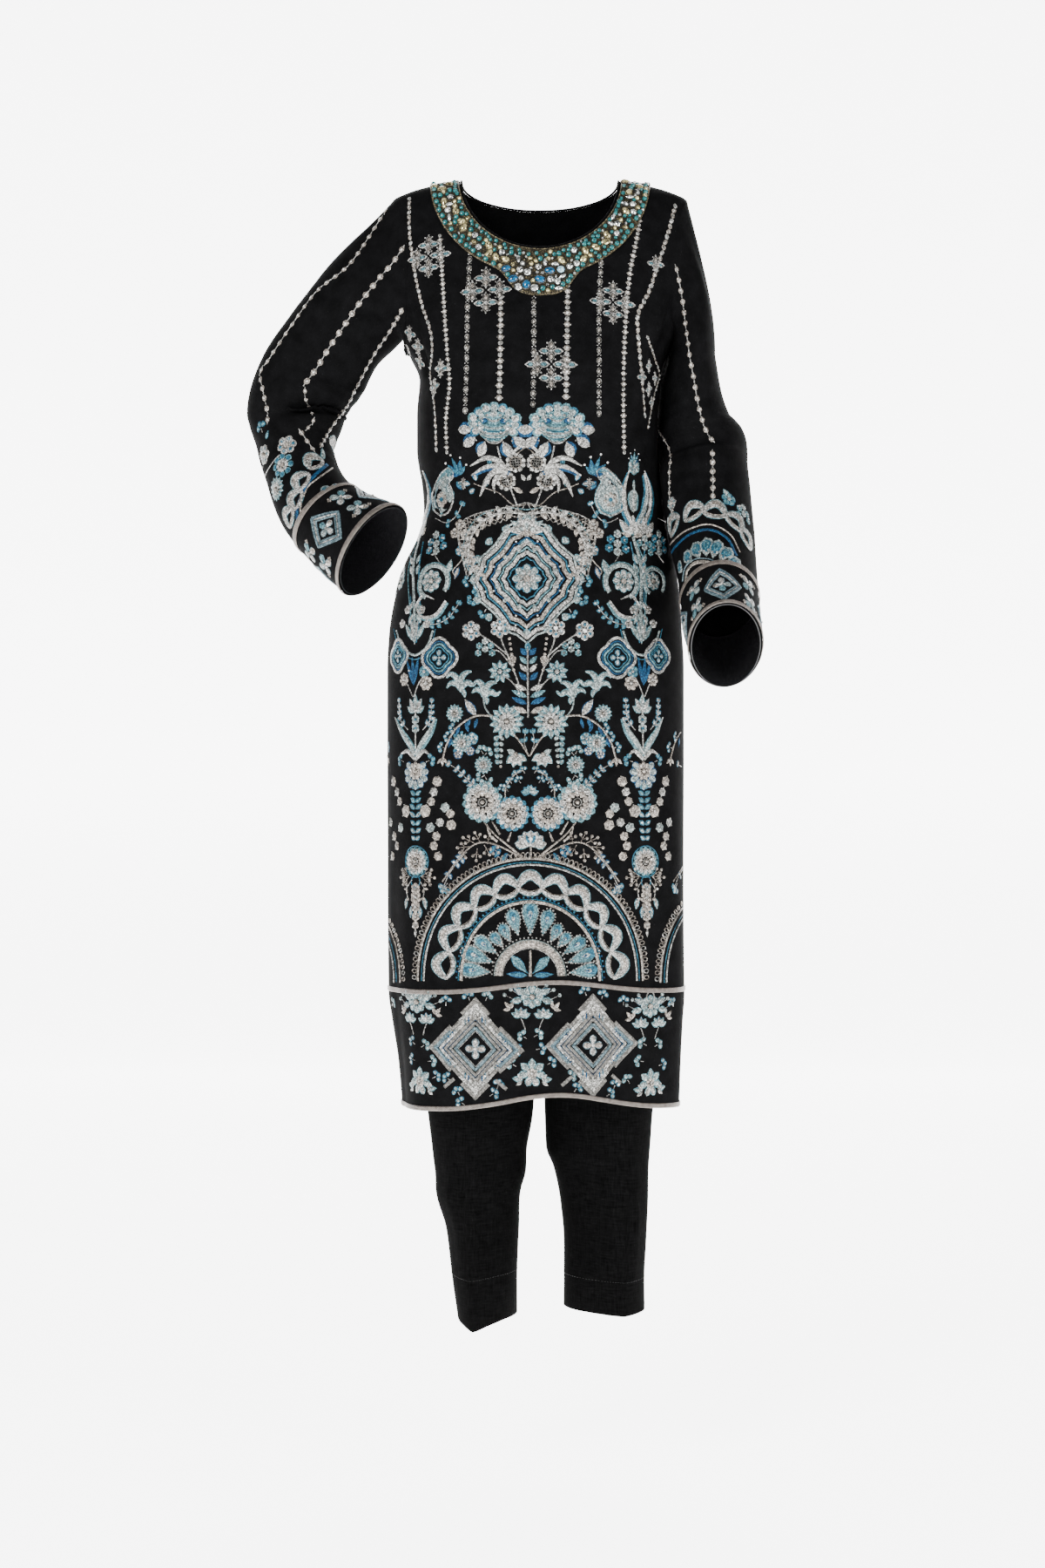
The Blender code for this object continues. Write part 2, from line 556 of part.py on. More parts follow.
class Sleeve:
    """The surface of one sleeve. A place along it runs from 0 at the armhole to 1 at the cuff's edge."""

    def __init__(self, path, hand, folds, cap_fall):
        self.path, self.hand, self.folds = path, hand, folds
        self.angle = np.arange(SLEEVE_SIDES) * 2 * math.pi / SLEEVE_SIDES
        tip = np.array([hand * ARMHOLE[0, 1], 0.0, -ARMHOLE[0, 0]])
        cap = 0.85 * np.linalg.norm(path[0, :3] - tip)
        self.length = cap + np.linalg.norm(np.diff(path[:, :3], axis=0), axis=1).sum()
        self.cap_share = cap / self.length
        points, normals, out = armhole_loop(hand)
        self.first, self.first_way = self.arm_ring(0.0)
        under = ((1 - np.cos(self.angle)) / 2)[:, None] ** 1.5
        fall = cap_fall * np.maximum(np.cos(self.angle), 0)[:, None] ** 2
        fallen = unit(out * (1 - fall) + self.first_way * fall)
        self.start = unit(fallen * (1 - under) + (0.6 * self.first_way + 0.4 * normals) * under)
        self.root = points + (SEAM_GAP + CLOTH * fall) * unit(out * (1 - under) + normals * under)
        self.reach = CAP_REACH * np.linalg.norm(self.first - self.root, axis=1, keepdims=True)

    def arm_ring(self, at):
        """(points, direction) of the plain arm at a place counted in the table's rows."""
        rows = np.arange(len(self.path))
        x, y, z, half_across, half_through = (smooth(rows, self.path[:, k], at) for k in range(5))
        ends = np.clip([at - 0.02, at + 0.02], 0, rows[-1])
        behind, ahead = (np.array([smooth(rows, self.path[:, k], e) for k in range(3)]) for e in ends)
        direction = unit(ahead - behind)
        through = np.array([0.0, -1.0, 0.0])
        through = unit(through - direction * (through @ direction))
        across = np.cross(direction, through)
        across *= math.copysign(1.0, across[0] * self.hand)
        spokes = np.outer(np.cos(self.angle) * half_across, across)
        return np.array([x, y, z]) + spokes + np.outer(np.sin(self.angle) * half_through, through), direction

    def plain_ring(self, place):
        if place >= self.cap_share:
            share = (place - self.cap_share) / (1 - self.cap_share)
            return self.arm_ring(share * (len(self.path) - 1))[0]
        t = place / self.cap_share
        return (
            (2 * t**3 - 3 * t**2 + 1) * self.root
            + (t**3 - 2 * t**2 + t) * self.reach * self.start
            + (3 * t**2 - 2 * t**3) * self.first
            + (t**3 - t**2) * self.reach * self.first_way
        )

    def facing(self, ring, place, ring_at):
        """The outward normals of a ring, from those close beside it."""
        behind, ahead = (ring_at(p) for p in np.clip([place - PLACE_STEP, place + PLACE_STEP], 0, 1))
        normal = unit(np.cross(around_ring(ring), ahead - behind))
        return normal * np.sign((normal * (ring - ring.mean(axis=0))).sum())

    def folded_ring(self, place):
        ring = self.plain_ring(place)
        height = np.zeros(SLEEVE_SIDES)
        for along, middle, half_along, half_around, climb, rise in self.folds:
            turned = (np.degrees(self.angle) - middle + 180) % 360 - 180
            off = (place - along - climb * turned / 90) / half_along
            height += rise * np.exp(-(off**2) - (turned / half_around) ** 2)
        return ring + self.facing(ring, place, self.plain_ring) * height[:, None]

    def sheet(self, places, lowered=0.0, hang=0.0):
        """A tube through the rings at these places, lowered towards the arm and hung past the last one."""
        sheet = Sheet()
        hung = np.outer(hang * (1 - np.sin(self.angle)) / 2, self.arm_ring(len(self.path) - 1)[1])
        for place in places:
            ring = self.folded_ring(place)
            normals = self.facing(ring, place, self.folded_ring)
            ring = ring - normals * lowered + (hung if place == places[-1] else 0.0)
            sheet.add_row(ring, normals, closed=True)
        return sheet


def sleeve(name, path, hand, folds, cap_fall):
    """A sleeve from its armhole to its cuff, the cuff, its two braids and the satin facing behind it."""
    shape = Sleeve(path, hand, folds, cap_fall)
    cuff = 1 - CUFF_LENGTH / shape.length
    gap, braid = SEAM_GAP / shape.length, BRAID_WIDTH / shape.length
    cap = np.linspace(0, shape.cap_share, CAP_ROWS + 1)[:-1]
    arm = np.concatenate([cap, np.linspace(shape.cap_share, cuff - gap, SLEEVE_ROWS + 1)])
    cuff_rows = np.linspace(cuff, 1, 3)
    wall(f"sleeve_{name}", shape.sheet(arm), CLOTH, BLACK_CHIFFON)
    wall(f"cuff_{name}", shape.sheet(cuff_rows), CLOTH, BLACK_CHIFFON)
    upper, lower = (cuff - braid / 2, cuff + braid / 2), (1 - braid, 1.0)
    wall(f"cuff_braid_upper_{name}", shape.sheet(upper), BRAID, SILVER_BRAID, lifted=LAID_ON)
    wall(f"cuff_braid_lower_{name}", shape.sheet(lower), BRAID, SILVER_BRAID, lifted=LAID_ON)
    facing = shape.sheet(cuff_rows, lowered=CLOTH + LAID_ON, hang=LINING_SHOWS)
    wall(f"cuff_facing_{name}", facing, LINING, BLACK_SATIN)


def leg_ring(table, hand, drop, dip):
    """A ring of one trouser leg, from the inside of the leg round by its front to the inside again.

    Above the crotch the ring is open: it runs from the centre front round the hip to the centre back.
    """
    middle, half_width, half_depth, turn, press = (
        column(table, LEG_COLUMNS, name, drop) for name in LEG_COLUMNS[1:]
    )
    angle = np.linspace(0, 2 * math.pi, LEG_SIDES + 1)
    closed = np.clip((drop - WAIST_DROP) / (CROTCH_DROP - WAIST_DROP), 0, 1) ** 3
    side = np.cos(angle)
    pressed = np.sign(side) * (press * side**2 + (1 - press) * np.abs(side))
    leg_x, leg_y = -half_width * pressed, -half_depth * np.sin(angle)
    swing = math.radians(turn)
    leg_x, leg_y = (
        middle + leg_x * math.cos(swing) - leg_y * math.sin(swing),
        leg_x * math.sin(swing) * 0.35 + leg_y * math.cos(swing),
    )
    x = (middle + half_width) * np.sin(angle / 2) * (1 - closed) + leg_x * closed
    y = -half_depth * np.cos(angle / 2) * (1 - closed) + leg_y * closed
    hem = np.clip((drop - 1.2) / 0.1, 0, 1) ** 2
    z = -drop - dip * hem * np.maximum(np.sin(angle), 0) ** 3
    return np.stack([hand * np.maximum(x, SEAM_GAP / 2), y, z], axis=1)


def leg_normals(table, hand, drop, dip):
    """The outward normals of a leg's ring. Along the centre seam they lie in the centre plane."""
    ring = leg_ring(table, hand, drop, dip)
    along = leg_ring(table, hand, drop + 0.004, dip) - leg_ring(table, hand, drop - 0.004, dip)
    around = np.empty_like(ring)
    around[1:-1] = ring[2:] - ring[:-2]
    around[0] = around[-1] = ring[1] - ring[-2]
    if drop < CROTCH_DROP - 1e-6:
        around[[0, -1]] = [[ring[1, 0], 0, 0], [-ring[-2, 0], 0, 0]]
    normal = unit(np.cross(around, along))
    outward = ring - np.array([hand * 0.5 * np.abs(ring[:, 0]).max(), 0.0, -drop])
    return normal * np.sign((normal * outward).sum())


def trouser_leg(name, table, hand, dip):
    """Half of the trousers: one leg and its side of the seat, open along the centre seam."""
    seat = np.linspace(WAIST_DROP + WAISTBAND_HEIGHT + SEAM_GAP, CROTCH_DROP, SEAT_ROWS + 1)[:-1]
    sheet = Sheet()
    for drop in seat:
        sheet.add_row(leg_ring(table, hand, drop, dip), leg_normals(table, hand, drop, dip))
    for drop in np.linspace(CROTCH_DROP, table[-1, 0], LEG_ROWS):
        ring, normals = leg_ring(table, hand, drop, dip), leg_normals(table, hand, drop, dip)
        ring[0] = (ring[0] + ring[-1]) / 2
        sheet.add_row(ring[:-1], normals[:-1], closed=True)
    wall(f"trouser_leg_{name}", sheet, CLOTH, BLACK_SUITING)


def waistband():
    """The plain elastic casing at the top of the trousers."""
    sheet = Sheet()
    angle = np.arange(WAISTBAND_SIDES) * 2 * math.pi / WAISTBAND_SIDES
    for drop in (WAIST_DROP, WAIST_DROP + WAISTBAND_HEIGHT):
        half_width = column(RIGHT_LEG, LEG_COLUMNS, "half_width", drop)
        half_depth = column(RIGHT_LEG, LEG_COLUMNS, "half_depth", drop)
        out = np.stack([np.sin(angle) * half_depth, -np.cos(angle) * half_width, 0 * angle], axis=1)
        ring = np.stack([half_width * np.sin(angle), -half_depth * np.cos(angle), 0 * angle - drop], axis=1)
        sheet.add_row(ring, out, closed=True)
    wall("waistband", sheet, WAISTBAND, BLACK_SUITING)


def build():
    for old in list(bpy.data.objects):
        bpy.data.objects.remove(old)
    kameez_panel("kameez_front", "front", FRONT_COLUMNS, BORDER_DROP - SEAM_GAP / 2, FRONT_ROWS)
    kameez_panel("kameez_back", "back", BACK_COLUMNS, HEM_DROP, BACK_ROWS)
    front_border()
    torso_braid("border_braid", "front", FRONT_COLUMNS, BORDER_DROP)
    torso_braid("hem_braid_front", "front", FRONT_COLUMNS, HEM_DROP - BRAID_WIDTH / 2)
    torso_braid("hem_braid_back", "back", BACK_COLUMNS, HEM_DROP - BRAID_WIDTH / 2)
    neck_patch()
    neck_binding()
    sleeve("right", RIGHT_SLEEVE, -1, RIGHT_SLEEVE_FOLDS, RIGHT_CAP_FALL)
    sleeve("left", LEFT_SLEEVE, 1, LEFT_SLEEVE_FOLDS, LEFT_CAP_FALL)
    trouser_leg("right", RIGHT_LEG, -1, RIGHT_HEM_DIP)
    trouser_leg("left", LEFT_LEG, 1, LEFT_HEM_DIP)
    waistband()


build()
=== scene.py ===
"""The salwar kameez suit dressed for its picture: fine cloth, embroidery, beadwork, floor, light and camera.

Metres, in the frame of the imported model: +Z up, the front faces -Y, and the origin is where the suit is
held, midway between the two ends of its shoulder seams. The cloth repeats the surfaces of the solids at a
finer step, with its small creases added.
"""

import math
import random

import bpy
import numpy as np
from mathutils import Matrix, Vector
from mathutils.bvhtree import BVHTree


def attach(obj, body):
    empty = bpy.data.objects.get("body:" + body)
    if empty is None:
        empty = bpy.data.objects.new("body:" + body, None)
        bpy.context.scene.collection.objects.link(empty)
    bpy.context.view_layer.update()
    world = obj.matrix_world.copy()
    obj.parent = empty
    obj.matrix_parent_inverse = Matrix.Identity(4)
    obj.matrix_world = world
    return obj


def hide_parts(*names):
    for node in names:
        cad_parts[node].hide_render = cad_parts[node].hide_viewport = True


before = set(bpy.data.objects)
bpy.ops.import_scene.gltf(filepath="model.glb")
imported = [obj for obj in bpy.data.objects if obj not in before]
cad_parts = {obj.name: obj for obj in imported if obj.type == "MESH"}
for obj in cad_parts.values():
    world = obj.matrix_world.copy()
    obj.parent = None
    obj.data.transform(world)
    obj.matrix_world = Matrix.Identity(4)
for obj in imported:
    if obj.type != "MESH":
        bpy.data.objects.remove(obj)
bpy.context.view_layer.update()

# Camera: it looks level along +Y, and one thousandth of a metre at the shoulders' plane is one pixel.
CAMERA_PLACE = np.array([-0.02, -3.4, -0.692])
VIEW_HEIGHT = 1.8
VIEW_CENTRE = (620.0, 208.0)
FLOOR = -1.474

# Cloth and seams.
CLOTH = 0.0015
LINING = 0.0010
BRAID = 0.0012
BRAID_WIDTH = 0.0055
SEAM_GAP = 0.0005
LAID_ON = 0.0004
SHELL = 0.0009

NECK_HALF_WIDTH = 0.092
FRONT_NECK_DEPTH = 0.091
BACK_NECK_DEPTH = 0.028
UNDERARM_DROP = 0.200
BORDER_DROP = 0.925
HEM_DROP = 1.059
SLIT_TOP_DROP = 0.640
SLIT_GAP = 0.008
SLIT_TAPER = 0.05
SECTION_POWER = 2.3

# The torso of a general size small figure with the kameez over it: a level section for each row.
BODY_COLUMNS = ("drop", "centre", "half_width", "front", "back")
BODY = np.array(
    [
        (0.000, 0.000, 0.0920, 0.012, 0.012),
        (0.005, 0.000, 0.1210, 0.021, 0.020),
        (0.012, 0.000, 0.1470, 0.030, 0.028),
        (0.022, 0.000, 0.1680, 0.040, 0.037),
        (0.040, 0.000, 0.1770, 0.053, 0.050),
        (0.068, 0.000, 0.1800, 0.067, 0.066),
        (0.100, 0.000, 0.1770, 0.081, 0.078),
        (0.144, 0.000, 0.1690, 0.097, 0.088),
        (0.172, 0.000, 0.1610, 0.107, 0.092),
        (0.200, -0.002, 0.1480, 0.114, 0.094),
        (0.230, 0.000, 0.1380, 0.120, 0.092),
        (0.270, -0.003, 0.1380, 0.121, 0.088),
        (0.310, -0.003, 0.1380, 0.115, 0.082),
        (0.350, 0.002, 0.1370, 0.105, 0.077),
        (0.385, 0.005, 0.1385, 0.099, 0.077),
        (0.410, 0.004, 0.1445, 0.099, 0.083),
        (0.440, 0.000, 0.1550, 0.102, 0.094),
        (0.480, -0.003, 0.1635, 0.106, 0.104),
        (0.520, -0.005, 0.1680, 0.110, 0.111),
        (0.560, -0.005, 0.1700, 0.112, 0.115),
        (0.650, -0.005, 0.1700, 0.114, 0.117),
        (0.800, -0.005, 0.1695, 0.114, 0.114),
        (0.930, -0.004, 0.1695, 0.114, 0.110),
        (0.960, -0.003, 0.1665, 0.114, 0.108),
        (1.010, -0.001, 0.1610, 0.113, 0.106),
        (1.070, 0.000, 0.1570, 0.112, 0.104),
    ]
)

# The cut edge of the armhole: how far it lies from the centre plane, at each drop.
ARMHOLE_COLUMNS = ("drop", "front", "back")
ARMHOLE = np.array(
    [
        (0.022, 0.1680, 0.1680),
        (0.045, 0.1585, 0.1600),
        (0.068, 0.1545, 0.1570),
        (0.100, 0.1520, 0.1550),
        (0.144, 0.1525, 0.1555),
        (0.172, 0.1530, 0.1550),
        (0.190, 0.1520, 0.1530),
        (UNDERARM_DROP, 0.1500, 0.1500),
    ]
)

# Soft folds of the kameez: a line from one place to another, (across, drop), with a half width and a
# height. A height below zero is a trough.
FRONT_FOLDS = (
    (0.168, 0.130, 0.160, 0.225, 0.011, -0.0080),
    (0.135, 0.150, 0.115, 0.290, 0.013, 0.0035),
    (-0.164, 0.140, -0.150, 0.235, 0.011, -0.0060),
    (-0.132, 0.170, -0.110, 0.300, 0.013, 0.0030),
    (-0.170, 0.405, -0.070, 0.360, 0.014, 0.0032),
    (0.170, 0.425, 0.070, 0.375, 0.014, 0.0032),
    (-0.135, 0.620, -0.145, 1.080, 0.024, 0.0050),
    (-0.064, 0.700, -0.070, 1.080, 0.022, -0.0045),
    (0.020, 0.560, 0.018, 1.080, 0.030, 0.0045),
    (0.094, 0.720, 0.100, 1.080, 0.022, -0.0050),
    (0.175, 0.640, 0.180, 1.080, 0.024, 0.0045),
)
BACK_FOLDS = (
    (-0.060, 0.380, -0.075, 1.080, 0.028, 0.0060),
    (0.000, 0.500, 0.000, 1.080, 0.024, -0.0055),
    (0.065, 0.390, 0.080, 1.080, 0.028, 0.0060),
    (-0.150, 0.560, -0.160, 1.080, 0.024, -0.0040),
    (0.150, 0.560, 0.160, 1.080, 0.024, -0.0040),
    (-0.120, 0.400, -0.030, 0.360, 0.015, 0.0035),
    (0.120, 0.400, 0.030, 0.365, 0.015, 0.0035),
)

# The front of the skirt is carried a little higher beside its centre.
LIFT_CENTRE = 0.020
LIFT_HALF_WIDTH = 0.078
LIFT = np.array([(0.600, 0.000), (0.760, 0.003), (0.925, 0.013), (1.070, 0.020)])

# Bead-worked neck patch.
PATCH_WIDTH = 0.033
PATCH_POINT = 0.023
PATCH_POINT_HALF_WIDTH = 0.026
PATCH_INSET = 0.0008
BINDING_RADIUS = 0.0013
BINDING_SIDES = 10

# Sleeves: the middle of the arm and the half sizes of the cloth round it. Across lies in the plane of the
# arm's bend seen from the front, and through is at right angles to it: x, y, z, half across, half through.
RIGHT_SLEEVE = np.array(
    [
        (-0.2040, 0.004, -0.1440, 0.0600, 0.0500),
        (-0.2400, 0.010, -0.1880, 0.0590, 0.0490),
        (-0.2660, 0.014, -0.2270, 0.0600, 0.0480),
        (-0.2810, 0.014, -0.2680, 0.0560, 0.0480),
        (-0.2790, 0.004, -0.3050, 0.0460, 0.0470),
        (-0.2710, -0.014, -0.3400, 0.0420, 0.0450),
        (-0.2550, -0.036, -0.3740, 0.0450, 0.0440),
        (-0.2240, -0.062, -0.4060, 0.0500, 0.0450),
        (-0.1870, -0.089, -0.4310, 0.0575, 0.0450),
    ]
)
LEFT_SLEEVE = np.array(
    [
        (0.1740, 0.000, -0.2000, 0.0270, 0.0600),
        (0.1735, 0.000, -0.2350, 0.0330, 0.0600),
        (0.1765, 0.000, -0.2750, 0.0395, 0.0590),
        (0.1850, -0.004, -0.3150, 0.0475, 0.0580),
        (0.1915, -0.020, -0.3600, 0.0485, 0.0570),
        (0.1940, -0.046, -0.4080, 0.0485, 0.0570),
        (0.1985, -0.080, -0.4580, 0.0445, 0.0590),
        (0.2000, -0.120, -0.5060, 0.0430, 0.0620),
        (0.2030, -0.152, -0.5400, 0.0405, 0.0640),
    ]
)
RIGHT_CAP_FALL = 0.0
LEFT_CAP_FALL = 0.65
# The cap of a sleeve counts as this share of the straight way from the shoulder to its first row.
CAP_RUN = 0.85
PLACE_STEP = 0.004
CUFF_LENGTH = 0.068
LINING_SHOWS = 0.0025

# Folds of the sleeves: where along the sleeve from 0 to 1, which way round in degrees (0 is the outside of
# the arm, 90 its front, 180 its inside), the half sizes, how much the fold climbs for each turn, and height.
RIGHT_SLEEVE_FOLDS = (
    (0.500, 130.0, 0.036, 55.0, -0.060, -0.0090),
    (0.425, 120.0, 0.036, 55.0, -0.060, 0.0040),
    (0.575, 120.0, 0.036, 55.0, -0.050, 0.0035),
    (0.640, 190.0, 0.036, 45.0, 0.040, -0.0050),
    (0.300, 200.0, 0.040, 50.0, 0.060, -0.0040),
)
LEFT_SLEEVE_FOLDS = (
    (0.540, 105.0, 0.032, 60.0, 0.000, -0.0055),
    (0.475, 110.0, 0.032, 60.0, 0.000, 0.0030),
    (0.610, 100.0, 0.032, 60.0, 0.000, 0.0030),
    (0.520, 325.0, 0.060, 55.0, 0.000, 0.0120),
    (0.300, 200.0, 0.040, 50.0, 0.040, -0.0030),
)

# Trousers.
WAIST_DROP = 0.425
WAISTBAND_HEIGHT = 0.034
WAISTBAND = 0.0022
CROTCH_DROP = 0.700

# Each leg: the middle of its section and its half sizes, how far its pressed creases turn outwards in
# degrees, and how sharply they are pressed, from 0 to 1.
LEG_COLUMNS = ("drop", "middle", "half_width", "half_depth", "turn", "press")
RIGHT_LEG = np.array(
    [
        (0.425, 0.0000, 0.1230, 0.0800, 0.0, 0.00),
        (0.520, 0.0000, 0.1500, 0.0970, 0.0, 0.00),
        (0.600, 0.0100, 0.1500, 0.1000, 2.0, 0.05),
        (0.660, 0.0500, 0.1080, 0.0930, 4.0, 0.10),
        (0.700, 0.0790, 0.0760, 0.0880, 6.0, 0.15),
        (0.780, 0.0800, 0.0750, 0.0860, 8.0, 0.25),
        (0.900, 0.0760, 0.0710, 0.0810, 10.0, 0.40),
        (1.000, 0.0710, 0.0660, 0.0760, 12.0, 0.55),
        (1.072, 0.0680, 0.0600, 0.0720, 13.0, 0.60),
        (1.112, 0.0690, 0.0540, 0.0700, 13.0, 0.65),
        (1.136, 0.0680, 0.0520, 0.0690, 13.0, 0.65),
        (1.160, 0.0705, 0.0480, 0.0690, 13.0, 0.65),
        (1.200, 0.0655, 0.0410, 0.0690, 13.0, 0.70),
        (1.250, 0.0635, 0.0365, 0.0700, 13.0, 0.75),
        (1.300, 0.0600, 0.0325, 0.0710, 13.0, 0.80),
    ]
)
LEFT_LEG = np.array(
    [
        (0.425, 0.0000, 0.1230, 0.0800, 0.0, 0.00),
        (0.520, 0.0000, 0.1525, 0.0980, 0.0, 0.00),
        (0.600, 0.0100, 0.1524, 0.1005, 4.0, 0.05),
        (0.660, 0.0500, 0.1080, 0.0910, 8.0, 0.10),
        (0.700, 0.0790, 0.0740, 0.0850, 12.0, 0.15),
        (0.780, 0.0800, 0.0740, 0.0840, 16.0, 0.25),
        (0.900, 0.0760, 0.0710, 0.0800, 20.0, 0.40),
        (1.000, 0.0700, 0.0660, 0.0760, 24.0, 0.55),
        (1.072, 0.0670, 0.0620, 0.0720, 25.0, 0.60),
        (1.110, 0.0665, 0.0600, 0.0700, 24.0, 0.65),
        (1.133, 0.0700, 0.0540, 0.0690, 23.0, 0.65),
        (1.172, 0.0735, 0.0490, 0.0690, 22.0, 0.65),
        (1.212, 0.0745, 0.0460, 0.0690, 20.0, 0.70),
        (1.255, 0.0735, 0.0450, 0.0690, 18.0, 0.75),
        (1.291, 0.0735, 0.0455, 0.0700, 17.0, 0.80),
    ]
)
# How far each hem dips at the front, which starts at a drop and is full this much lower.
RIGHT_HEM_DIP = 0.009
LEFT_HEM_DIP = 0.001
HEM_DIP_FROM = 1.2
HEM_DIP_OVER = 0.1
# How much of a leg's turn moves its creases from front to back.
SWING_THROUGH = 0.35
GATHERS = 36
GATHER_DEPTH = 0.0005


# Small creases of the kameez, in the same terms as its folds.
FRONT_CREASES = (
    (0.120, 0.165, 0.090, 0.235, 0.006, 0.0012),
    (0.150, 0.235, 0.085, 0.300, 0.007, 0.0014),
    (-0.120, 0.175, -0.085, 0.245, 0.006, 0.0012),
    (-0.150, 0.245, -0.080, 0.305, 0.007, 0.0014),
    (-0.185, 0.345, -0.100, 0.385, 0.007, 0.0016),
    (-0.180, 0.375, -0.060, 0.345, 0.006, 0.0013),
    (0.185, 0.350, 0.100, 0.390, 0.007, 0.0016),
    (0.180, 0.385, 0.060, 0.350, 0.006, 0.0013),
    (-0.190, 0.430, -0.120, 0.455, 0.009, 0.0014),
    (0.190, 0.440, 0.120, 0.470, 0.009, 0.0014),
    (-0.100, 0.640, -0.106, 1.080, 0.010, 0.0012),
    (-0.030, 0.800, -0.026, 1.080, 0.010, -0.0012),
    (0.056, 0.770, 0.060, 1.080, 0.011, 0.0013),
    (0.136, 0.660, 0.140, 1.080, 0.010, -0.0012),
    (-0.180, 0.700, -0.186, 1.080, 0.010, -0.0014),
)
BACK_CREASES = (
    (-0.110, 0.160, -0.070, 0.240, 0.007, 0.0014),
    (0.110, 0.160, 0.070, 0.240, 0.007, 0.0014),
    (-0.060, 0.090, 0.060, 0.095, 0.012, 0.0010),
    (-0.175, 0.330, -0.060, 0.375, 0.007, 0.0018),
    (0.175, 0.335, 0.060, 0.380, 0.007, 0.0018),
    (-0.175, 0.395, -0.040, 0.400, 0.006, 0.0016),
    (0.175, 0.400, 0.040, 0.405, 0.006, 0.0016),
    (-0.030, 0.430, -0.036, 1.080, 0.012, 0.0014),
    (0.034, 0.430, 0.040, 1.080, 0.012, 0.0014),
    (-0.112, 0.480, -0.120, 1.080, 0.012, 0.0014),
    (0.112, 0.480, 0.120, 1.080, 0.012, 0.0014),
    (-0.185, 0.500, -0.192, 1.080, 0.010, 0.0012),
    (0.185, 0.500, 0.192, 1.080, 0.010, 0.0012),
)
RIGHT_SLEEVE_CREASES = (
    (0.380, 150.0, 0.012, 40.0, -0.070, 0.0018),
    (0.455, 150.0, 0.011, 45.0, -0.060, -0.0020),
    (0.535, 150.0, 0.011, 45.0, -0.050, 0.0018),
    (0.600, 150.0, 0.012, 40.0, -0.030, -0.0016),
    (0.700, 100.0, 0.012, 50.0, 0.030, 0.0014),
    (0.250, 90.0, 0.014, 50.0, -0.060, 0.0012),
    (0.780, 260.0, 0.014, 60.0, 0.040, 0.0014),
    (0.480, 300.0, 0.016, 60.0, 0.050, 0.0016),
)
LEFT_SLEEVE_CREASES = (
    (0.505, 100.0, 0.010, 60.0, 0.010, -0.0018),
    (0.575, 100.0, 0.010, 60.0, -0.010, 0.0016),
    (0.440, 120.0, 0.012, 45.0, 0.030, -0.0014),
    (0.660, 120.0, 0.013, 50.0, -0.030, 0.0014),
    (0.300, 80.0, 0.016, 45.0, 0.050, 0.0012),
    (0.540, 270.0, 0.012, 70.0, 0.030, 0.0018),
    (0.620, 260.0, 0.014, 60.0, -0.030, -0.0016),
    # Fullness that hangs against the body, behind its edge above the elbow and before it under the elbow.
    (0.305, 208.0, 0.055, 18.0, 0.0, 0.0085),
    (0.380, 208.0, 0.060, 17.0, 0.0, 0.0052),
    (0.460, 208.0, 0.060, 17.0, 0.0, 0.0056),
    (0.540, 206.0, 0.050, 17.0, 0.0, 0.0072),
    (0.610, 154.0, 0.052, 15.5, 0.0, 0.0078),
    (0.674, 165.0, 0.048, 20.0, 0.0, 0.0050),
)

# Creases of the trousers: side of the wearer (-1 right, 1 left), the drop and the way round in degrees (90
# is the front of the leg, 180 its outside) where each starts and ends, its half width and its height.
LEG_CREASES = (
    (-1, 1.040, 70.0, 1.310, 72.0, 7.0, 0.0016),
    (-1, 1.090, 130.0, 1.250, 118.0, 10.0, 0.0018),
    (-1, 1.100, 50.0, 1.180, 96.0, 9.0, -0.0016),
    (-1, 1.140, 60.0, 1.200, 20.0, 9.0, 0.0014),
    (-1, 1.110, 230.0, 1.290, 250.0, 12.0, 0.0024),
    (-1, 1.140, 290.0, 1.210, 330.0, 10.0, -0.0018),
    (1, 1.040, 62.0, 1.310, 60.0, 7.0, 0.0018),
    (1, 1.080, 110.0, 1.260, 120.0, 10.0, 0.0020),
    (1, 1.110, 84.0, 1.175, 130.0, 9.0, -0.0016),
    (1, 1.160, 50.0, 1.215, 92.0, 9.0, 0.0014),
    (1, 1.100, 240.0, 1.290, 236.0, 12.0, 0.0024),
    (1, 1.150, 300.0, 1.230, 320.0, 10.0, -0.0018),
)

BRAID_PROFILE = (0.25, 1.0, 0.5, 1.0, 0.25)

# How finely the cloth is divided.
FRONT_COLUMNS = (63, 36)
BACK_COLUMNS = (40, 24)
FRONT_ROWS = 180
BACK_ROWS = 150
BORDER_ROWS = 34
ARMHOLE_ROWS = 36
CAP_ROWS = 22
SLEEVE_ROWS = 96
CUFF_ROWS = 18
SLEEVE_SIDES = 2 * ARMHOLE_ROWS
LEG_SIDES = 96
SEAT_ROWS = 34
LEG_ROWS = 96
WAISTBAND_SIDES = 144
SECTION_STEPS = 240
ARC_DROPS = np.linspace(0, 1.08, 271)
PATCH_COLUMNS = 150
PATCH_ROWS = 8
PATCH_BACKING = 0.0012
HEM_STITCH_HEIGHT = -1.252
# The roll inside each armhole that shuts out the light.
WELT_RADIUS = 0.0019
WELT_DEPTH = 0.0016
WELT_SIDES = 8


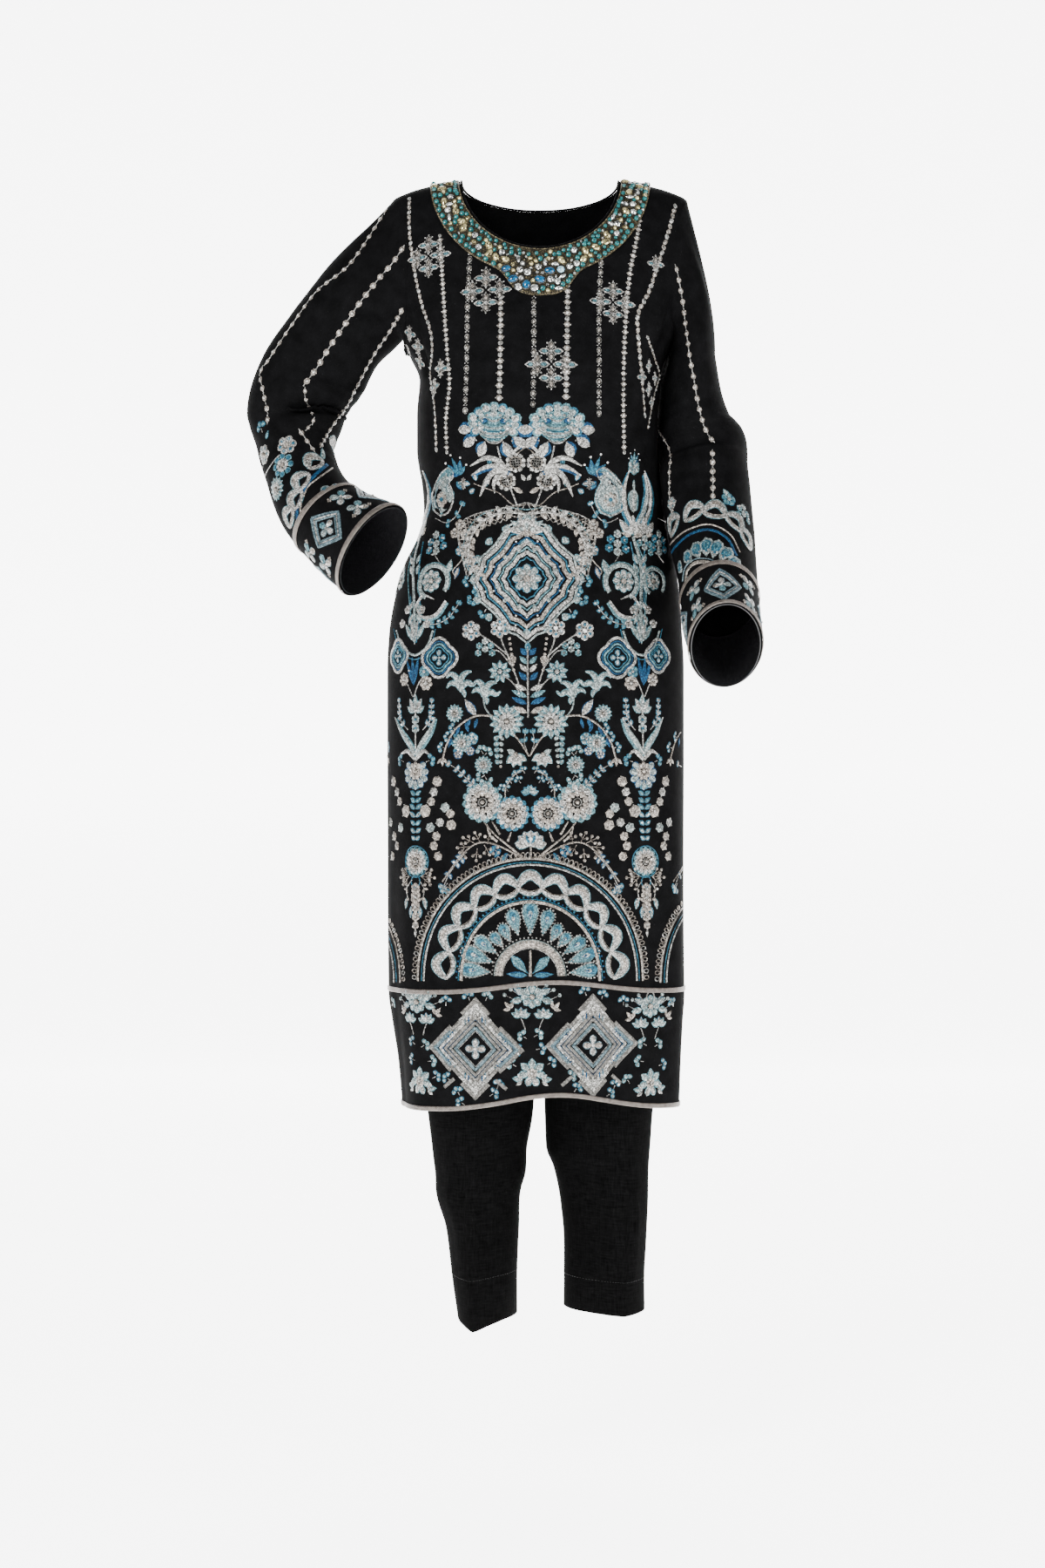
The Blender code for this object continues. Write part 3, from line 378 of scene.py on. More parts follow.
def smooth(xs, ys, x):
    """A curve through the table's points that never overshoots them, read at x."""
    step = np.diff(xs)
    slope = np.diff(ys) / step
    tangent = np.zeros(len(xs))
    tangent[0], tangent[-1] = slope[0], slope[-1]
    bends = slope[:-1] * slope[1:] > 0
    before, after = 2 * step[1:] + step[:-1], step[1:] + 2 * step[:-1]
    first, second = np.where(bends, slope[:-1], 1.0), np.where(bends, slope[1:], 1.0)
    tangent[1:-1] = np.where(bends, (before + after) / (before / first + after / second), 0.0)
    x = np.clip(x, xs[0], xs[-1])
    i = np.clip(np.searchsorted(xs, x) - 1, 0, len(step) - 1)
    t = (x - xs[i]) / step[i]
    return (
        (2 * t**3 - 3 * t**2 + 1) * ys[i]
        + (t**3 - 2 * t**2 + t) * step[i] * tangent[i]
        + (3 * t**2 - 2 * t**3) * ys[i + 1]
        + (t**3 - t**2) * step[i] * tangent[i + 1]
    )


def column(table, columns, name, at):
    """The named column of a table at a place along its first column."""
    return smooth(table[:, 0], table[:, columns.index(name)], at)


def body(name, drop):
    return column(BODY, BODY_COLUMNS, name, drop)


def unit(vectors):
    return vectors / np.linalg.norm(vectors, axis=-1, keepdims=True)


def towards(side):
    """The sign of y on this side of the torso."""
    return -1.0 if side == "front" else 1.0


def section(drop, side):
    """One half of a level section: (x, how far each lies from the centre over the cloth)."""
    half, depth = body("half_width", drop), body(side, drop)
    angle = np.linspace(0, math.pi / 2, SECTION_STEPS)
    across, through = np.sin(angle) / half, np.cos(angle) / depth
    reach = (across**SECTION_POWER + through**SECTION_POWER) ** (-1 / SECTION_POWER)
    x, y = reach * np.sin(angle), reach * np.cos(angle)
    return x, np.concatenate([[0], np.cumsum(np.hypot(np.diff(x), np.diff(y)))])


def body_normal(x, y, drop, side):
    """The outward normal of the torso at a point of its section, from the section's own equation."""
    half, depth = body("half_width", drop), body(side, drop)
    d = 1e-4
    half_slope = (body("half_width", drop + d) - body("half_width", drop - d)) / (2 * d)
    depth_slope = (body(side, drop + d) - body(side, drop - d)) / (2 * d)
    across, through = np.abs(x) / half, np.abs(y) / depth
    p = SECTION_POWER
    return unit(
        np.stack(
            [
                np.sign(x) * across ** (p - 1) / half,
                towards(side) * through ** (p - 1) / depth,
                across**p * half_slope / half + through**p * depth_slope / depth,
            ],
            axis=-1,
        )
    )


def fold_height(across, drop, folds):
    """The height of all the folds at places on a panel. A fold fades in, and out unless it meets the hem."""
    height = np.zeros(len(across))
    for across_0, drop_0, across_1, drop_1, half_width, rise in folds:
        run = np.array([across_1 - across_0, drop_1 - drop_0])
        length = np.hypot(*run)
        along = ((across - across_0) * run[0] + (drop - drop_0) * run[1]) / length
        beside = ((across - across_0) * run[1] - (drop - drop_0) * run[0]) / length
        turn = math.pi / 2 if drop_1 > HEM_DROP else math.pi
        fade = np.clip(np.sin(np.clip(along / length, 0, 1) * turn), 0, 1) ** 0.7
        height += rise * fade * np.exp(-((beside / half_width) ** 2))
    return height


def lift(x, drop):
    """How much higher than its level the cloth of the front is carried."""
    return smooth(LIFT[:, 0], LIFT[:, 1], drop) * np.exp(-(((x - LIFT_CENTRE) / LIFT_HALF_WIDTH) ** 2))


def arc_table(side):
    """How far each place of the half sections lies from the centre over the cloth, at even steps of angle."""
    shares = np.sin(np.linspace(0, math.pi / 2, SECTION_STEPS))
    return np.array([np.interp(shares * body("half_width", d), *section(d, side)) for d in ARC_DROPS])


def torso(x, drop, side):
    """(points, outward normals) on the kameez at these places, with its folds and creases."""
    x, drop = np.atleast_1d(x), np.broadcast_to(drop, np.shape(np.atleast_1d(x)))
    share = np.minimum(np.abs(x) / body("half_width", drop), 1.0)
    y = towards(side) * np.maximum(
        body(side, drop) * (1 - share**SECTION_POWER) ** (1 / SECTION_POWER), SEAM_GAP / 2
    )
    normals = body_normal(x, y, drop, side)
    row = np.clip(drop / ARC_DROPS[1], 0, len(ARC_DROPS) - 1.001)
    step = np.minimum(np.arcsin(share) / (math.pi / 2) * (SECTION_STEPS - 1), SECTION_STEPS - 1.001)
    i, j = row.astype(int), step.astype(int)
    row, step = row - i, step - j
    table = ARCS[side]
    below = table[i, j] * (1 - step) + table[i, j + 1] * step
    above = table[i + 1, j] * (1 - step) + table[i + 1, j + 1] * step
    across = (below * (1 - row) + above * row) * np.sign(x)
    height = fold_height(
        across, drop, FRONT_FOLDS + FRONT_CREASES if side == "front" else BACK_FOLDS + BACK_CREASES,
    )
    z = -drop + (lift(x, drop) if side == "front" else 0.0)
    return np.stack([x + body("centre", drop), y, z], axis=1) + normals * height[:, None], normals


def neckline(turn, side):
    """The neckline's (x, drop), from the centre at turn 0 to the shoulder seam at turn 1."""
    depth = FRONT_NECK_DEPTH if side == "front" else BACK_NECK_DEPTH
    angle = turn * math.pi / 2
    return np.stack([NECK_HALF_WIDTH * np.sin(angle), depth * np.cos(angle)], axis=-1)


def shoulder_drop(x):
    """The drop of the shoulder seam at a distance from the centre plane."""
    drops = np.linspace(0, ARMHOLE[0, 0], 60)
    return np.interp(x, body("half_width", drops), drops)


def armhole_edge(side):
    """The armhole's (x, drop) from the underarm up to the shoulder, at each row of the panels."""
    drops = UNDERARM_DROP + (ARMHOLE[0, 0] - UNDERARM_DROP) * np.linspace(0, 1, ARMHOLE_ROWS + 1)
    return np.stack([column(ARMHOLE, ARMHOLE_COLUMNS, side, drops), drops], axis=1)


def slit_gap(drop):
    """How much further than a seam's gap the panels stand apart along the side slit."""
    opened = np.clip((drop - SLIT_TOP_DROP) / SLIT_TAPER, 0, 1)
    return SLIT_GAP * opened * opened * (3 - 2 * opened)


def level_row(drop, side, shares):
    """The x of a level row at shares of the half panel's width."""
    x, walked = section(drop, side)
    return np.interp(shares * (walked[-1] - (SEAM_GAP + slit_gap(drop)) / 2), walked, x)


def upper_rows(side, columns):
    """The half panel above the underarm, filled in between its four edges: rows of (x, drop)."""
    neck_columns, shoulder_columns = columns
    shares = np.linspace(0, 1, sum(columns) + 1)
    foot = np.stack([level_row(UNDERARM_DROP, side, shares), np.full(len(shares), UNDERARM_DROP)], axis=1)
    seam_x = np.linspace(NECK_HALF_WIDTH, ARMHOLE[0, 1], shoulder_columns + 1)[1:]
    seam = np.stack([seam_x, shoulder_drop(seam_x)], axis=1)
    top = np.concatenate([neckline(np.linspace(0, 1, neck_columns + 1), side), seam])
    edge = armhole_edge(side)
    rows = []
    for t, outer in zip(np.linspace(0, 1, ARMHOLE_ROWS + 1), edge):
        inner = foot[0] * (1 - t) + top[0] * t
        s = shares[:, None]
        plain = foot * (1 - t) + top * t
        corners = (foot[0] * (1 - s) + foot[-1] * s) * (1 - t) + (top[0] * (1 - s) + top[-1] * s) * t
        rows.append(plain + inner * (1 - s) + outer * s - corners)
    return rows[1:]


class Sheet:
    """Points, their outward normals and the quads between them, from which a shell of cloth is made."""

    def __init__(self):
        self.points, self.normals, self.quads, self.rows = [], [], [], []

    def add_row(self, points, normals, closed=False):
        """Adds a row and joins it to the one before. A closed row runs on from its end to its start."""
        first = len(self.points)
        self.points.extend(points)
        self.normals.extend(normals)
        row = list(range(first, len(self.points)))
        row += row[:1] if closed else []
        if self.rows:
            below = self.rows[-1]
            self.quads += [(below[i], below[i + 1], row[i + 1], row[i]) for i in range(len(row) - 1)]
        self.rows.append(row)

    def area(self):
        a, b, c, d = (np.array(self.points)[list(k)] for k in zip(*self.quads))
        return np.linalg.norm(np.cross(c - a, d - b), axis=1).sum() / 2


def piece(name, points, faces, finish, sharp=60.0):
    """A piece of the dressed suit, with all its faces turned outwards."""
    mesh = bpy.data.meshes.new(name)
    mesh.from_pydata(np.asarray(points, float).tolist(), [], faces)
    mesh.update()
    mesh.calc_loop_triangles()
    corners = np.empty(len(mesh.loop_triangles) * 3, np.int32)
    mesh.loop_triangles.foreach_get("vertices", corners)
    places = np.empty(len(mesh.vertices) * 3, np.float32)
    mesh.vertices.foreach_get("co", places)
    if np.linalg.det(places.reshape(-1, 3)[corners.reshape(-1, 3)].astype(float)).sum() < 0:
        mesh.flip_normals()
    mesh.materials.append(finish)
    mesh.shade_smooth()
    if sharp:
        mesh.set_sharp_from_angle(angle=math.radians(sharp))
    made = bpy.data.objects.new(name, mesh)
    bpy.context.scene.collection.objects.link(made)
    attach(made, "root")
    return made


def shell(name, sheet, finish, low=-SHELL, rise=SHELL):
    """A thin closed shell on a sheet: its inner face lies at a height, and its outer face a rise above it."""
    points, normals = np.array(sheet.points), unit(np.array(sheet.normals))
    inner = points + normals * low
    outer = inner + normals * np.reshape(rise, (-1, 1))
    n = len(points)
    faces = list(sheet.quads) + [(d + n, c + n, b + n, a + n) for a, b, c, d in sheet.quads]
    edges = {edge for quad in sheet.quads for edge in zip(quad, quad[1:] + quad[:1])}
    faces += [(b, a, a + n, b + n) for a, b in sorted(edges) if (b, a) not in edges]
    return piece(name, np.concatenate([outer, inner]), faces, finish)


def roll(name, centre, across, normals, radius, sides):
    """A round roll of black cloth along a closed line."""
    sheet = Sheet()
    for angle in np.arange(sides) * 2 * math.pi / sides:
        spoke = across * math.cos(angle) + normals * math.sin(angle)
        sheet.add_row(centre + spoke * radius, spoke, closed=True)
    first, last = sheet.rows[0], sheet.rows[-1]
    sheet.quads += [(last[i], last[i + 1], first[i + 1], first[i]) for i in range(len(first) - 1)]
    piece(name, sheet.points, sheet.quads, BLACK_CHIFFON)


def panel_rows(side, columns, drops, with_top=True):
    """The sheet of a panel: level rows at these drops and, above them, the rows up to the shoulders."""
    shares = np.linspace(0, 1, sum(columns) + 1)
    rows = [np.stack([level_row(d, side, shares), np.full(len(shares), d)], axis=1) for d in drops]
    rows += upper_rows(side, columns) if with_top else []
    sheet = Sheet()
    for row in rows:
        whole = np.concatenate([row[:0:-1] * (-1, 1), row])
        sheet.add_row(*torso(whole[:, 0], whole[:, 1], side))
    return sheet


def braid(name, sheet):
    """A braid of two cords, laid on the face of the cloth under it."""
    heights = np.repeat(BRAID_PROFILE, len(sheet.points) // len(sheet.rows)) * BRAID
    return shell(name, sheet, SILVER_BRAID, low=LAID_ON, rise=heights)


def torso_braid(name, side, columns, drop):
    """A braid across the whole width of a panel."""
    drops = np.linspace(drop + BRAID_WIDTH / 2, drop - BRAID_WIDTH / 2, len(BRAID_PROFILE))
    return braid(name, panel_rows(side, columns, drops, with_top=False))


def patch_place(turn, out):
    """(x, drop) on the beaded band: turn runs from -1 to 1 round the neckline and out from 0 to 1."""
    x, drop = neckline(abs(turn) * 0.985, "front")
    away = unit(np.array([x / NECK_HALF_WIDTH**2, drop / FRONT_NECK_DEPTH**2]))
    width = PATCH_WIDTH + PATCH_POINT * math.exp(-((x / PATCH_POINT_HALF_WIDTH) ** 4))
    x, drop = np.array([x, drop]) + away * (PATCH_INSET + width * out)
    return math.copysign(x, turn), max(drop, float(shoulder_drop(x)) + 0.002)


def around_ring(ring):
    """The direction round a closed ring at each of its points."""
    return np.roll(ring, -1, axis=0) - np.roll(ring, 1, axis=0)


def neck_binding():
    """The thin bound edge that runs all round the neckline."""
    front, back = (np.linspace(-1, 1, 2 * columns[0] + 1) for columns in (FRONT_COLUMNS, BACK_COLUMNS))
    line, normals = [], []
    for turns, side in ((front, "front"), (back[-2:0:-1], "back")):
        places = neckline(np.abs(turns), side)
        points, outward = torso(places[:, 0] * np.sign(turns), places[:, 1], side)
        line.append(points)
        normals.append(outward)
    line, normals = np.concatenate(line), np.concatenate(normals)
    line[np.abs(line[:, 2]) < 1e-9, 1] = 0.0
    inward = unit(np.cross(around_ring(line), normals))
    inward *= np.sign((inward * (line.mean(axis=0) - line)).sum())
    centre = line - normals * CLOTH / 2 + inward * (BINDING_RADIUS + SEAM_GAP)
    roll("neck_binding_cord", centre, inward, normals, BINDING_RADIUS, BINDING_SIDES)


def armhole_loop(hand):
    """(points, normals, directions out of the cloth) round the armhole, from the shoulder down the front."""
    points, normals = [], []
    for side, way in (("front", -1), ("back", 1)):
        edge = armhole_edge(side)
        point, normal = torso(hand * edge[:, 0], edge[:, 1], side)
        point[[0, -1], 1] = 0.0
        points.append(point[::way][:-1])
        normals.append(normal[::way][:-1])
    points, normals = np.concatenate(points), np.concatenate(normals)
    out = unit(np.cross(around_ring(points), normals))
    return points, normals, out * np.sign(out[0, 0] * hand)


class Sleeve:
    """The surface of one sleeve. A place along it runs from 0 at the armhole to 1 at the cuff's edge."""

    def __init__(self, path, hand, folds, cap_fall):
        self.path, self.hand, self.folds = path, hand, folds
        self.angle = np.arange(SLEEVE_SIDES) * 2 * math.pi / SLEEVE_SIDES
        tip = np.array([hand * ARMHOLE[0, 1], 0.0, -ARMHOLE[0, 0]])
        cap = CAP_RUN * np.linalg.norm(path[0, :3] - tip)
        self.length = cap + np.linalg.norm(np.diff(path[:, :3], axis=0), axis=1).sum()
        self.cap_share = cap / self.length
        points, normals, out = armhole_loop(hand)
        self.first, self.first_way = self.arm_ring(0.0)
        under = ((1 - np.cos(self.angle)) / 2)[:, None] ** 1.5
        fall = cap_fall * np.maximum(np.cos(self.angle), 0)[:, None] ** 2
        fallen = unit(out * (1 - fall) + self.first_way * fall)
        self.start = unit(fallen * (1 - under) + (0.6 * self.first_way + 0.4 * normals) * under)
        self.root = points + (SEAM_GAP + CLOTH * fall) * unit(out * (1 - under) + normals * under)
        self.reach = np.linalg.norm(self.first - self.root, axis=1, keepdims=True)

    def arm_ring(self, at):
        """(points, direction) of the plain arm at a place counted in the table's rows."""
        rows = np.arange(len(self.path))
        x, y, z, half_across, half_through = (smooth(rows, self.path[:, k], at) for k in range(5))
        ends = np.clip([at - 0.02, at + 0.02], 0, rows[-1])
        behind, ahead = (np.array([smooth(rows, self.path[:, k], e) for k in range(3)]) for e in ends)
        direction = unit(ahead - behind)
        through = np.array([0.0, -1.0, 0.0])
        through = unit(through - direction * (through @ direction))
        across = np.cross(direction, through)
        across *= math.copysign(1.0, across[0] * self.hand)
        spokes = np.outer(np.cos(self.angle) * half_across, across)
        return np.array([x, y, z]) + spokes + np.outer(np.sin(self.angle) * half_through, through), direction

    def plain_ring(self, place):
        if place >= self.cap_share:
            share = (place - self.cap_share) / (1 - self.cap_share)
            return self.arm_ring(share * (len(self.path) - 1))[0]
        t = place / self.cap_share
        return (
            (2 * t**3 - 3 * t**2 + 1) * self.root
            + (t**3 - 2 * t**2 + t) * self.reach * self.start
            + (3 * t**2 - 2 * t**3) * self.first
            + (t**3 - t**2) * self.reach * self.first_way
        )

    def facing(self, ring, place, ring_at):
        """The outward normals of a ring, from those close beside it."""
        behind, ahead = (ring_at(p) for p in np.clip([place - PLACE_STEP, place + PLACE_STEP], 0, 1))
        normal = unit(np.cross(around_ring(ring), ahead - behind))
        return normal * np.sign((normal * (ring - ring.mean(axis=0))).sum())

    def folded_ring(self, place):
        ring = self.plain_ring(place)
        height = np.zeros(SLEEVE_SIDES)
        for along, middle, half_along, half_around, climb, rise in self.folds:
            turned = (np.degrees(self.angle) - middle + 180) % 360 - 180
            off = (place - along - climb * turned / 90) / half_along
            height += rise * np.exp(-(off**2) - (turned / half_around) ** 2)
        return ring + self.facing(ring, place, self.plain_ring) * height[:, None]

    def sheet(self, places, lowered=0.0, hang=0.0):
        """A tube through the rings at these places, lowered towards the arm and hung past the last one."""
        sheet = Sheet()
        hung = np.outer(hang * (1 - np.sin(self.angle)) / 2, self.arm_ring(len(self.path) - 1)[1])
        for place in places:
            ring = self.folded_ring(place)
            normals = self.facing(ring, place, self.folded_ring)
            ring = ring - normals * lowered + (hung if place == places[-1] else 0.0)
            sheet.add_row(ring, normals, closed=True)
        return sheet


def armhole_welt(name, hand):
    """The rolled turnings of the armhole seam: a thin roll just inside it that shuts out the light."""
    points, normals, out = armhole_loop(hand)
    centre = points + out * SEAM_GAP / 2 - normals * WELT_DEPTH
    roll(f"armhole_welt_{name}", centre, out, normals, WELT_RADIUS, WELT_SIDES)


def sleeve(name, path, hand, folds, cap_fall):
    """A sleeve from its armhole to its cuff, the cuff, its two braids and the satin facing behind it."""
    shape = Sleeve(path, hand, folds, cap_fall)
    armhole_welt(name, hand)
    cuff = 1 - CUFF_LENGTH / shape.length
    gap, width = SEAM_GAP / shape.length, BRAID_WIDTH / shape.length
    cap = np.linspace(0, shape.cap_share, CAP_ROWS + 1)[:-1]
    arm = np.concatenate([cap, np.linspace(shape.cap_share, cuff - gap, SLEEVE_ROWS + 1)])
    cuff_rows = np.linspace(cuff, 1, CUFF_ROWS + 1)
    sheets = {"arm": shape.sheet(arm), "cuff": shape.sheet(cuff_rows)}
    shell(f"sleeve_cloth_{name}", sheets["arm"], BLACK_CHIFFON)
    shell(f"cuff_cloth_{name}", sheets["cuff"], BLACK_CHIFFON)
    steps = len(BRAID_PROFILE)
    braid(f"braid_upper_{name}", shape.sheet(np.linspace(cuff - width / 2, cuff + width / 2, steps)))
    braid(f"braid_lower_{name}", shape.sheet(np.linspace(1 - width, 1.0, steps)))
    sheets["facing"] = shape.sheet(cuff_rows, lowered=CLOTH + LAID_ON, hang=LINING_SHOWS)
    shell(f"facing_satin_{name}", sheets["facing"], BLACK_SATIN, low=-LINING, rise=LINING)
    return sheets


def leg_ring(table, hand, drop, dip):
    """A ring of one trouser leg, from the inside of the leg round by its front to the inside again.

    Above the crotch the ring is open: it runs from the centre front round the hip to the centre back.
    """
    middle, half_width, half_depth, turn, press = (
        column(table, LEG_COLUMNS, name, drop) for name in LEG_COLUMNS[1:]
    )
    angle = np.linspace(0, 2 * math.pi, LEG_SIDES + 1)
    closed = np.clip((drop - WAIST_DROP) / (CROTCH_DROP - WAIST_DROP), 0, 1) ** 3
    side = np.cos(angle)
    pressed = np.sign(side) * (press * side**2 + (1 - press) * np.abs(side))
    leg_x, leg_y = -half_width * pressed, -half_depth * np.sin(angle)
    swing = math.radians(turn)
    leg_x, leg_y = (
        middle + leg_x * math.cos(swing) - leg_y * math.sin(swing),
        leg_x * math.sin(swing) * SWING_THROUGH + leg_y * math.cos(swing),
    )
    x = (middle + half_width) * np.sin(angle / 2) * (1 - closed) + leg_x * closed
    y = -half_depth * np.cos(angle / 2) * (1 - closed) + leg_y * closed
    hem = np.clip((drop - HEM_DIP_FROM) / HEM_DIP_OVER, 0, 1) ** 2
    z = -drop - dip * hem * np.maximum(np.sin(angle), 0) ** 3
    return np.stack([hand * np.maximum(x, SEAM_GAP / 2), y, z], axis=1)


def leg_normals(table, hand, drop, dip):
    """The outward normals of a leg's ring. Along the centre seam they lie in the centre plane."""
    ring = leg_ring(table, hand, drop, dip)
    below, above = (leg_ring(table, hand, drop + off, dip) for off in (PLACE_STEP, -PLACE_STEP))
    around = np.empty_like(ring)
    around[1:-1] = ring[2:] - ring[:-2]
    around[0] = around[-1] = ring[1] - ring[-2]
    if drop < CROTCH_DROP - 1e-6:
        around[[0, -1]] = [[ring[1, 0], 0, 0], [-ring[-2, 0], 0, 0]]
    normal = unit(np.cross(around, below - above))
    outward = ring - np.array([hand * 0.5 * np.abs(ring[:, 0]).max(), 0.0, -drop])
    return normal * np.sign((normal * outward).sum())


def leg_creases(hand, drop, angles):
    """The height of the small creases round one leg at a drop."""
    height = np.zeros(len(angles))
    for side, drop_0, angle_0, drop_1, angle_1, half_width, rise in LEG_CREASES:
        share = (drop - drop_0) / (drop_1 - drop_0)
        if side == hand and 0 < share < 1:
            off = (angles - angle_0 - (angle_1 - angle_0) * share + 180) % 360 - 180
            height += rise * math.sin(share * math.pi) ** 0.6 * np.exp(-((off / half_width) ** 2))
    return height


def trouser_leg(name, table, hand, dip):
    """Half of the trousers: one leg and its side of the seat, open along the centre seam."""
    seat = np.linspace(WAIST_DROP + WAISTBAND_HEIGHT + SEAM_GAP, CROTCH_DROP, SEAT_ROWS + 1)[:-1]
    angles = np.linspace(0, 360, LEG_SIDES + 1)
    sheet = Sheet()
    for drop in seat:
        sheet.add_row(leg_ring(table, hand, drop, dip), leg_normals(table, hand, drop, dip))
    for drop in np.linspace(CROTCH_DROP, table[-1, 0], LEG_ROWS):
        ring, normals = leg_ring(table, hand, drop, dip), leg_normals(table, hand, drop, dip)
        ring = ring + normals * leg_creases(hand, drop, angles)[:, None]
        ring[0] = (ring[0] + ring[-1]) / 2
        sheet.add_row(ring[:-1], normals[:-1], closed=True)
    shell(f"leg_cloth_{name}", sheet, BLACK_SUITING)
    return sheet


def waistband():
    """The plain elastic casing at the top of the trousers, gathered on its elastic."""
    sheet = Sheet()
    angle = np.arange(WAISTBAND_SIDES) * 2 * math.pi / WAISTBAND_SIDES
    gathers = GATHER_DEPTH * np.cos(GATHERS * angle) - GATHER_DEPTH
    for drop in np.linspace(WAIST_DROP, WAIST_DROP + WAISTBAND_HEIGHT, 7):
        half_width = column(RIGHT_LEG, LEG_COLUMNS, "half_width", drop)
        half_depth = column(RIGHT_LEG, LEG_COLUMNS, "half_depth", drop)
        out = unit(np.stack([np.sin(angle) * half_depth, -np.cos(angle) * half_width, 0 * angle], axis=1))
        ring = np.stack([half_width * np.sin(angle), -half_depth * np.cos(angle), 0 * angle - drop], axis=1)
        sheet.add_row(ring + out * gathers[:, None], out, closed=True)
    shell("waistband_cloth", sheet, BLACK_SUITING, low=-WAISTBAND, rise=WAISTBAND)
    return sheet


COAT_ROUGHNESS = 0.08


class Finish:
    """A material with its node tree, put together from short calls."""

    def __init__(self, name, roughness, metallic=0.0, coat=0.0, specular=0.5):
        self.made = bpy.data.materials.new(name)
        self.made.use_nodes = True
        self.tree = self.made.node_tree
        self.shader = self.tree.nodes["Principled BSDF"]
        for socket, value in (
            ("Roughness", roughness), ("Metallic", metallic), ("Specular IOR Level", specular),
            ("Coat Weight", coat), ("Coat Roughness", COAT_ROUGHNESS),
        ):
            self.shader.inputs[socket].default_value = value
        self.place = self.node("ShaderNodeTexCoord").outputs["Object"]

    def node(self, kind, settings=(), **inputs):
        """A node with these settings, whose inputs are numbers or the outputs of other nodes."""
        made = self.tree.nodes.new(kind)
        for key, value in dict(settings).items():
            setattr(made, key, value)
        for key, value in inputs.items():
            socket = made.inputs[
                int(key[1:]) if key[0] == "i" and key[1:].isdigit() else key.replace("_", " ")
            ]
            if hasattr(value, "links"):
                self.tree.links.new(value, socket)
            else:
                socket.default_value = value
        return made

    def noise(self, scale, detail=3.0, roughness=0.6, place=None):
        found = self.node("ShaderNodeTexNoise", Vector=place or self.place, Scale=scale, Detail=detail)
        found.inputs["Roughness"].default_value = roughness
        return found.outputs["Fac"]

    def wave(self, scale, along, distortion=0.0, place=None):
        settings = {"wave_type": "BANDS", "bands_direction": along}
        found = self.node("ShaderNodeTexWave", settings, Vector=place or self.place, Scale=scale)
        found.inputs["Distortion"].default_value = distortion
        return found.outputs["Fac"]

    def grains(self, scale, channel):
        """Small cells, each of its own brightness."""
        cells = self.node("ShaderNodeTexVoronoi", Vector=self.place, Scale=scale)
        return self.node("ShaderNodeSeparateColor", Color=cells.outputs["Color"]).outputs[channel]

    def math(self, operation, a, b):
        return self.node("ShaderNodeMath", {"operation": operation}, i0=a, i1=b).outputs[0]

    def stretched(self, x, y, z):
        found = self.node("ShaderNodeMapping", Vector=self.place)
        found.inputs["Scale"].default_value = (x, y, z)
        return found.outputs["Vector"]

    def ramp(self, fac, *stops):
        """Colours along a value from 0 to 1, as (place, (r, g, b))."""
        found = self.node("ShaderNodeValToRGB", Fac=fac)
        elements = found.color_ramp.elements
        for i, (at, colour) in enumerate(stops):
            element = elements[i] if i < 2 else elements.new(at)
            element.position, element.color = at, (*colour, 1.0)
        return found.outputs["Color"]

    def colour(self, socket):
        self.tree.links.new(socket, self.shader.inputs["Base Color"])
        return self

    def bump(self, height, depth, strength=1.0):
        made = self.node("ShaderNodeBump", Height=height, Distance=depth, Strength=strength)
        self.tree.links.new(made.outputs["Normal"], self.shader.inputs["Normal"])
        return self


def chiffon():
    """Sheer crepe over a lining of its own colour: a fine crossed grain and a soft crinkle."""
    f = Finish("black_chiffon_cloth", 0.82, specular=0.02)
    grain = f.math("ADD", f.wave(520, "X", 2.0), f.wave(520, "Z", 2.0))
    height = f.math("ADD", f.math("MULTIPLY", grain, 0.25), f.noise(420, 4.0))
    f.colour(f.ramp(f.noise(60, 5.0), (0.30, (0.0014, 0.0014, 0.0015)), (0.75, (0.0034, 0.0034, 0.0037))))
    return f.bump(height, 0.00035, 0.7).made


def suiting():
    """A plain matt cloth with the slubs of linen both ways."""
    f = Finish("black_suiting_cloth", 0.92, specular=0.01)
    down = f.noise(1, 4.0, 0.6, f.stretched(900, 900, 60))
    across = f.noise(1, 4.0, 0.6, f.stretched(60, 60, 900))
    slubs = f.math("MULTIPLY", f.math("ADD", down, across), 0.5)
    f.colour(f.ramp(slubs, (0.36, (0.0004, 0.0004, 0.0004)), (0.66, (0.0038, 0.0038, 0.0039))))
    return f.bump(slubs, 0.0005, 0.6).made


def satin():
    """Glossy lining satin with its floats across."""
    f = Finish("black_satin_cloth", 0.25, specular=0.35)
    floats = f.noise(1, 2.0, 0.5, f.stretched(1400, 1400, 180))
    f.colour(f.ramp(floats, (0.3, (0.0040, 0.0040, 0.0046)), (0.8, (0.0090, 0.0090, 0.0100))))
    return f.bump(f.math("ADD", f.math("MULTIPLY", floats, 0.2), f.noise(90, 3.0)), 0.0012, 0.5).made


def metal_braid():
    """Twisted metal thread: fine slanting turns painted lighter on their crests and darker between them
    (painted highlight and painted shade), and bright and dull by patches.
    """
    f = Finish("silver_braid_thread", 0.42, metallic=0.35)
    turned = f.node("ShaderNodeMapping", Vector=f.place)
    turned.inputs["Rotation"].default_value = (0.0, math.radians(38), 0.0)
    turns = f.wave(260, "X", 1.0, turned.outputs["Vector"])
    shade = f.math("MULTIPLY", f.math("ADD", turns, f.noise(260, 4.0)), 0.5)
    # Painted highlight and painted shade: the bands of the turns light the crests and darken the grooves; the
    # noise gives patches of brighter and duller tone.
    f.colour(
        f.ramp(
            shade, (0.25, (0.013, 0.010, 0.008)), (0.55, (0.074, 0.060, 0.051)), (0.80, (0.31, 0.27, 0.235)),
        )
    )
    return f.bump(turns, 0.0005, 0.9).made


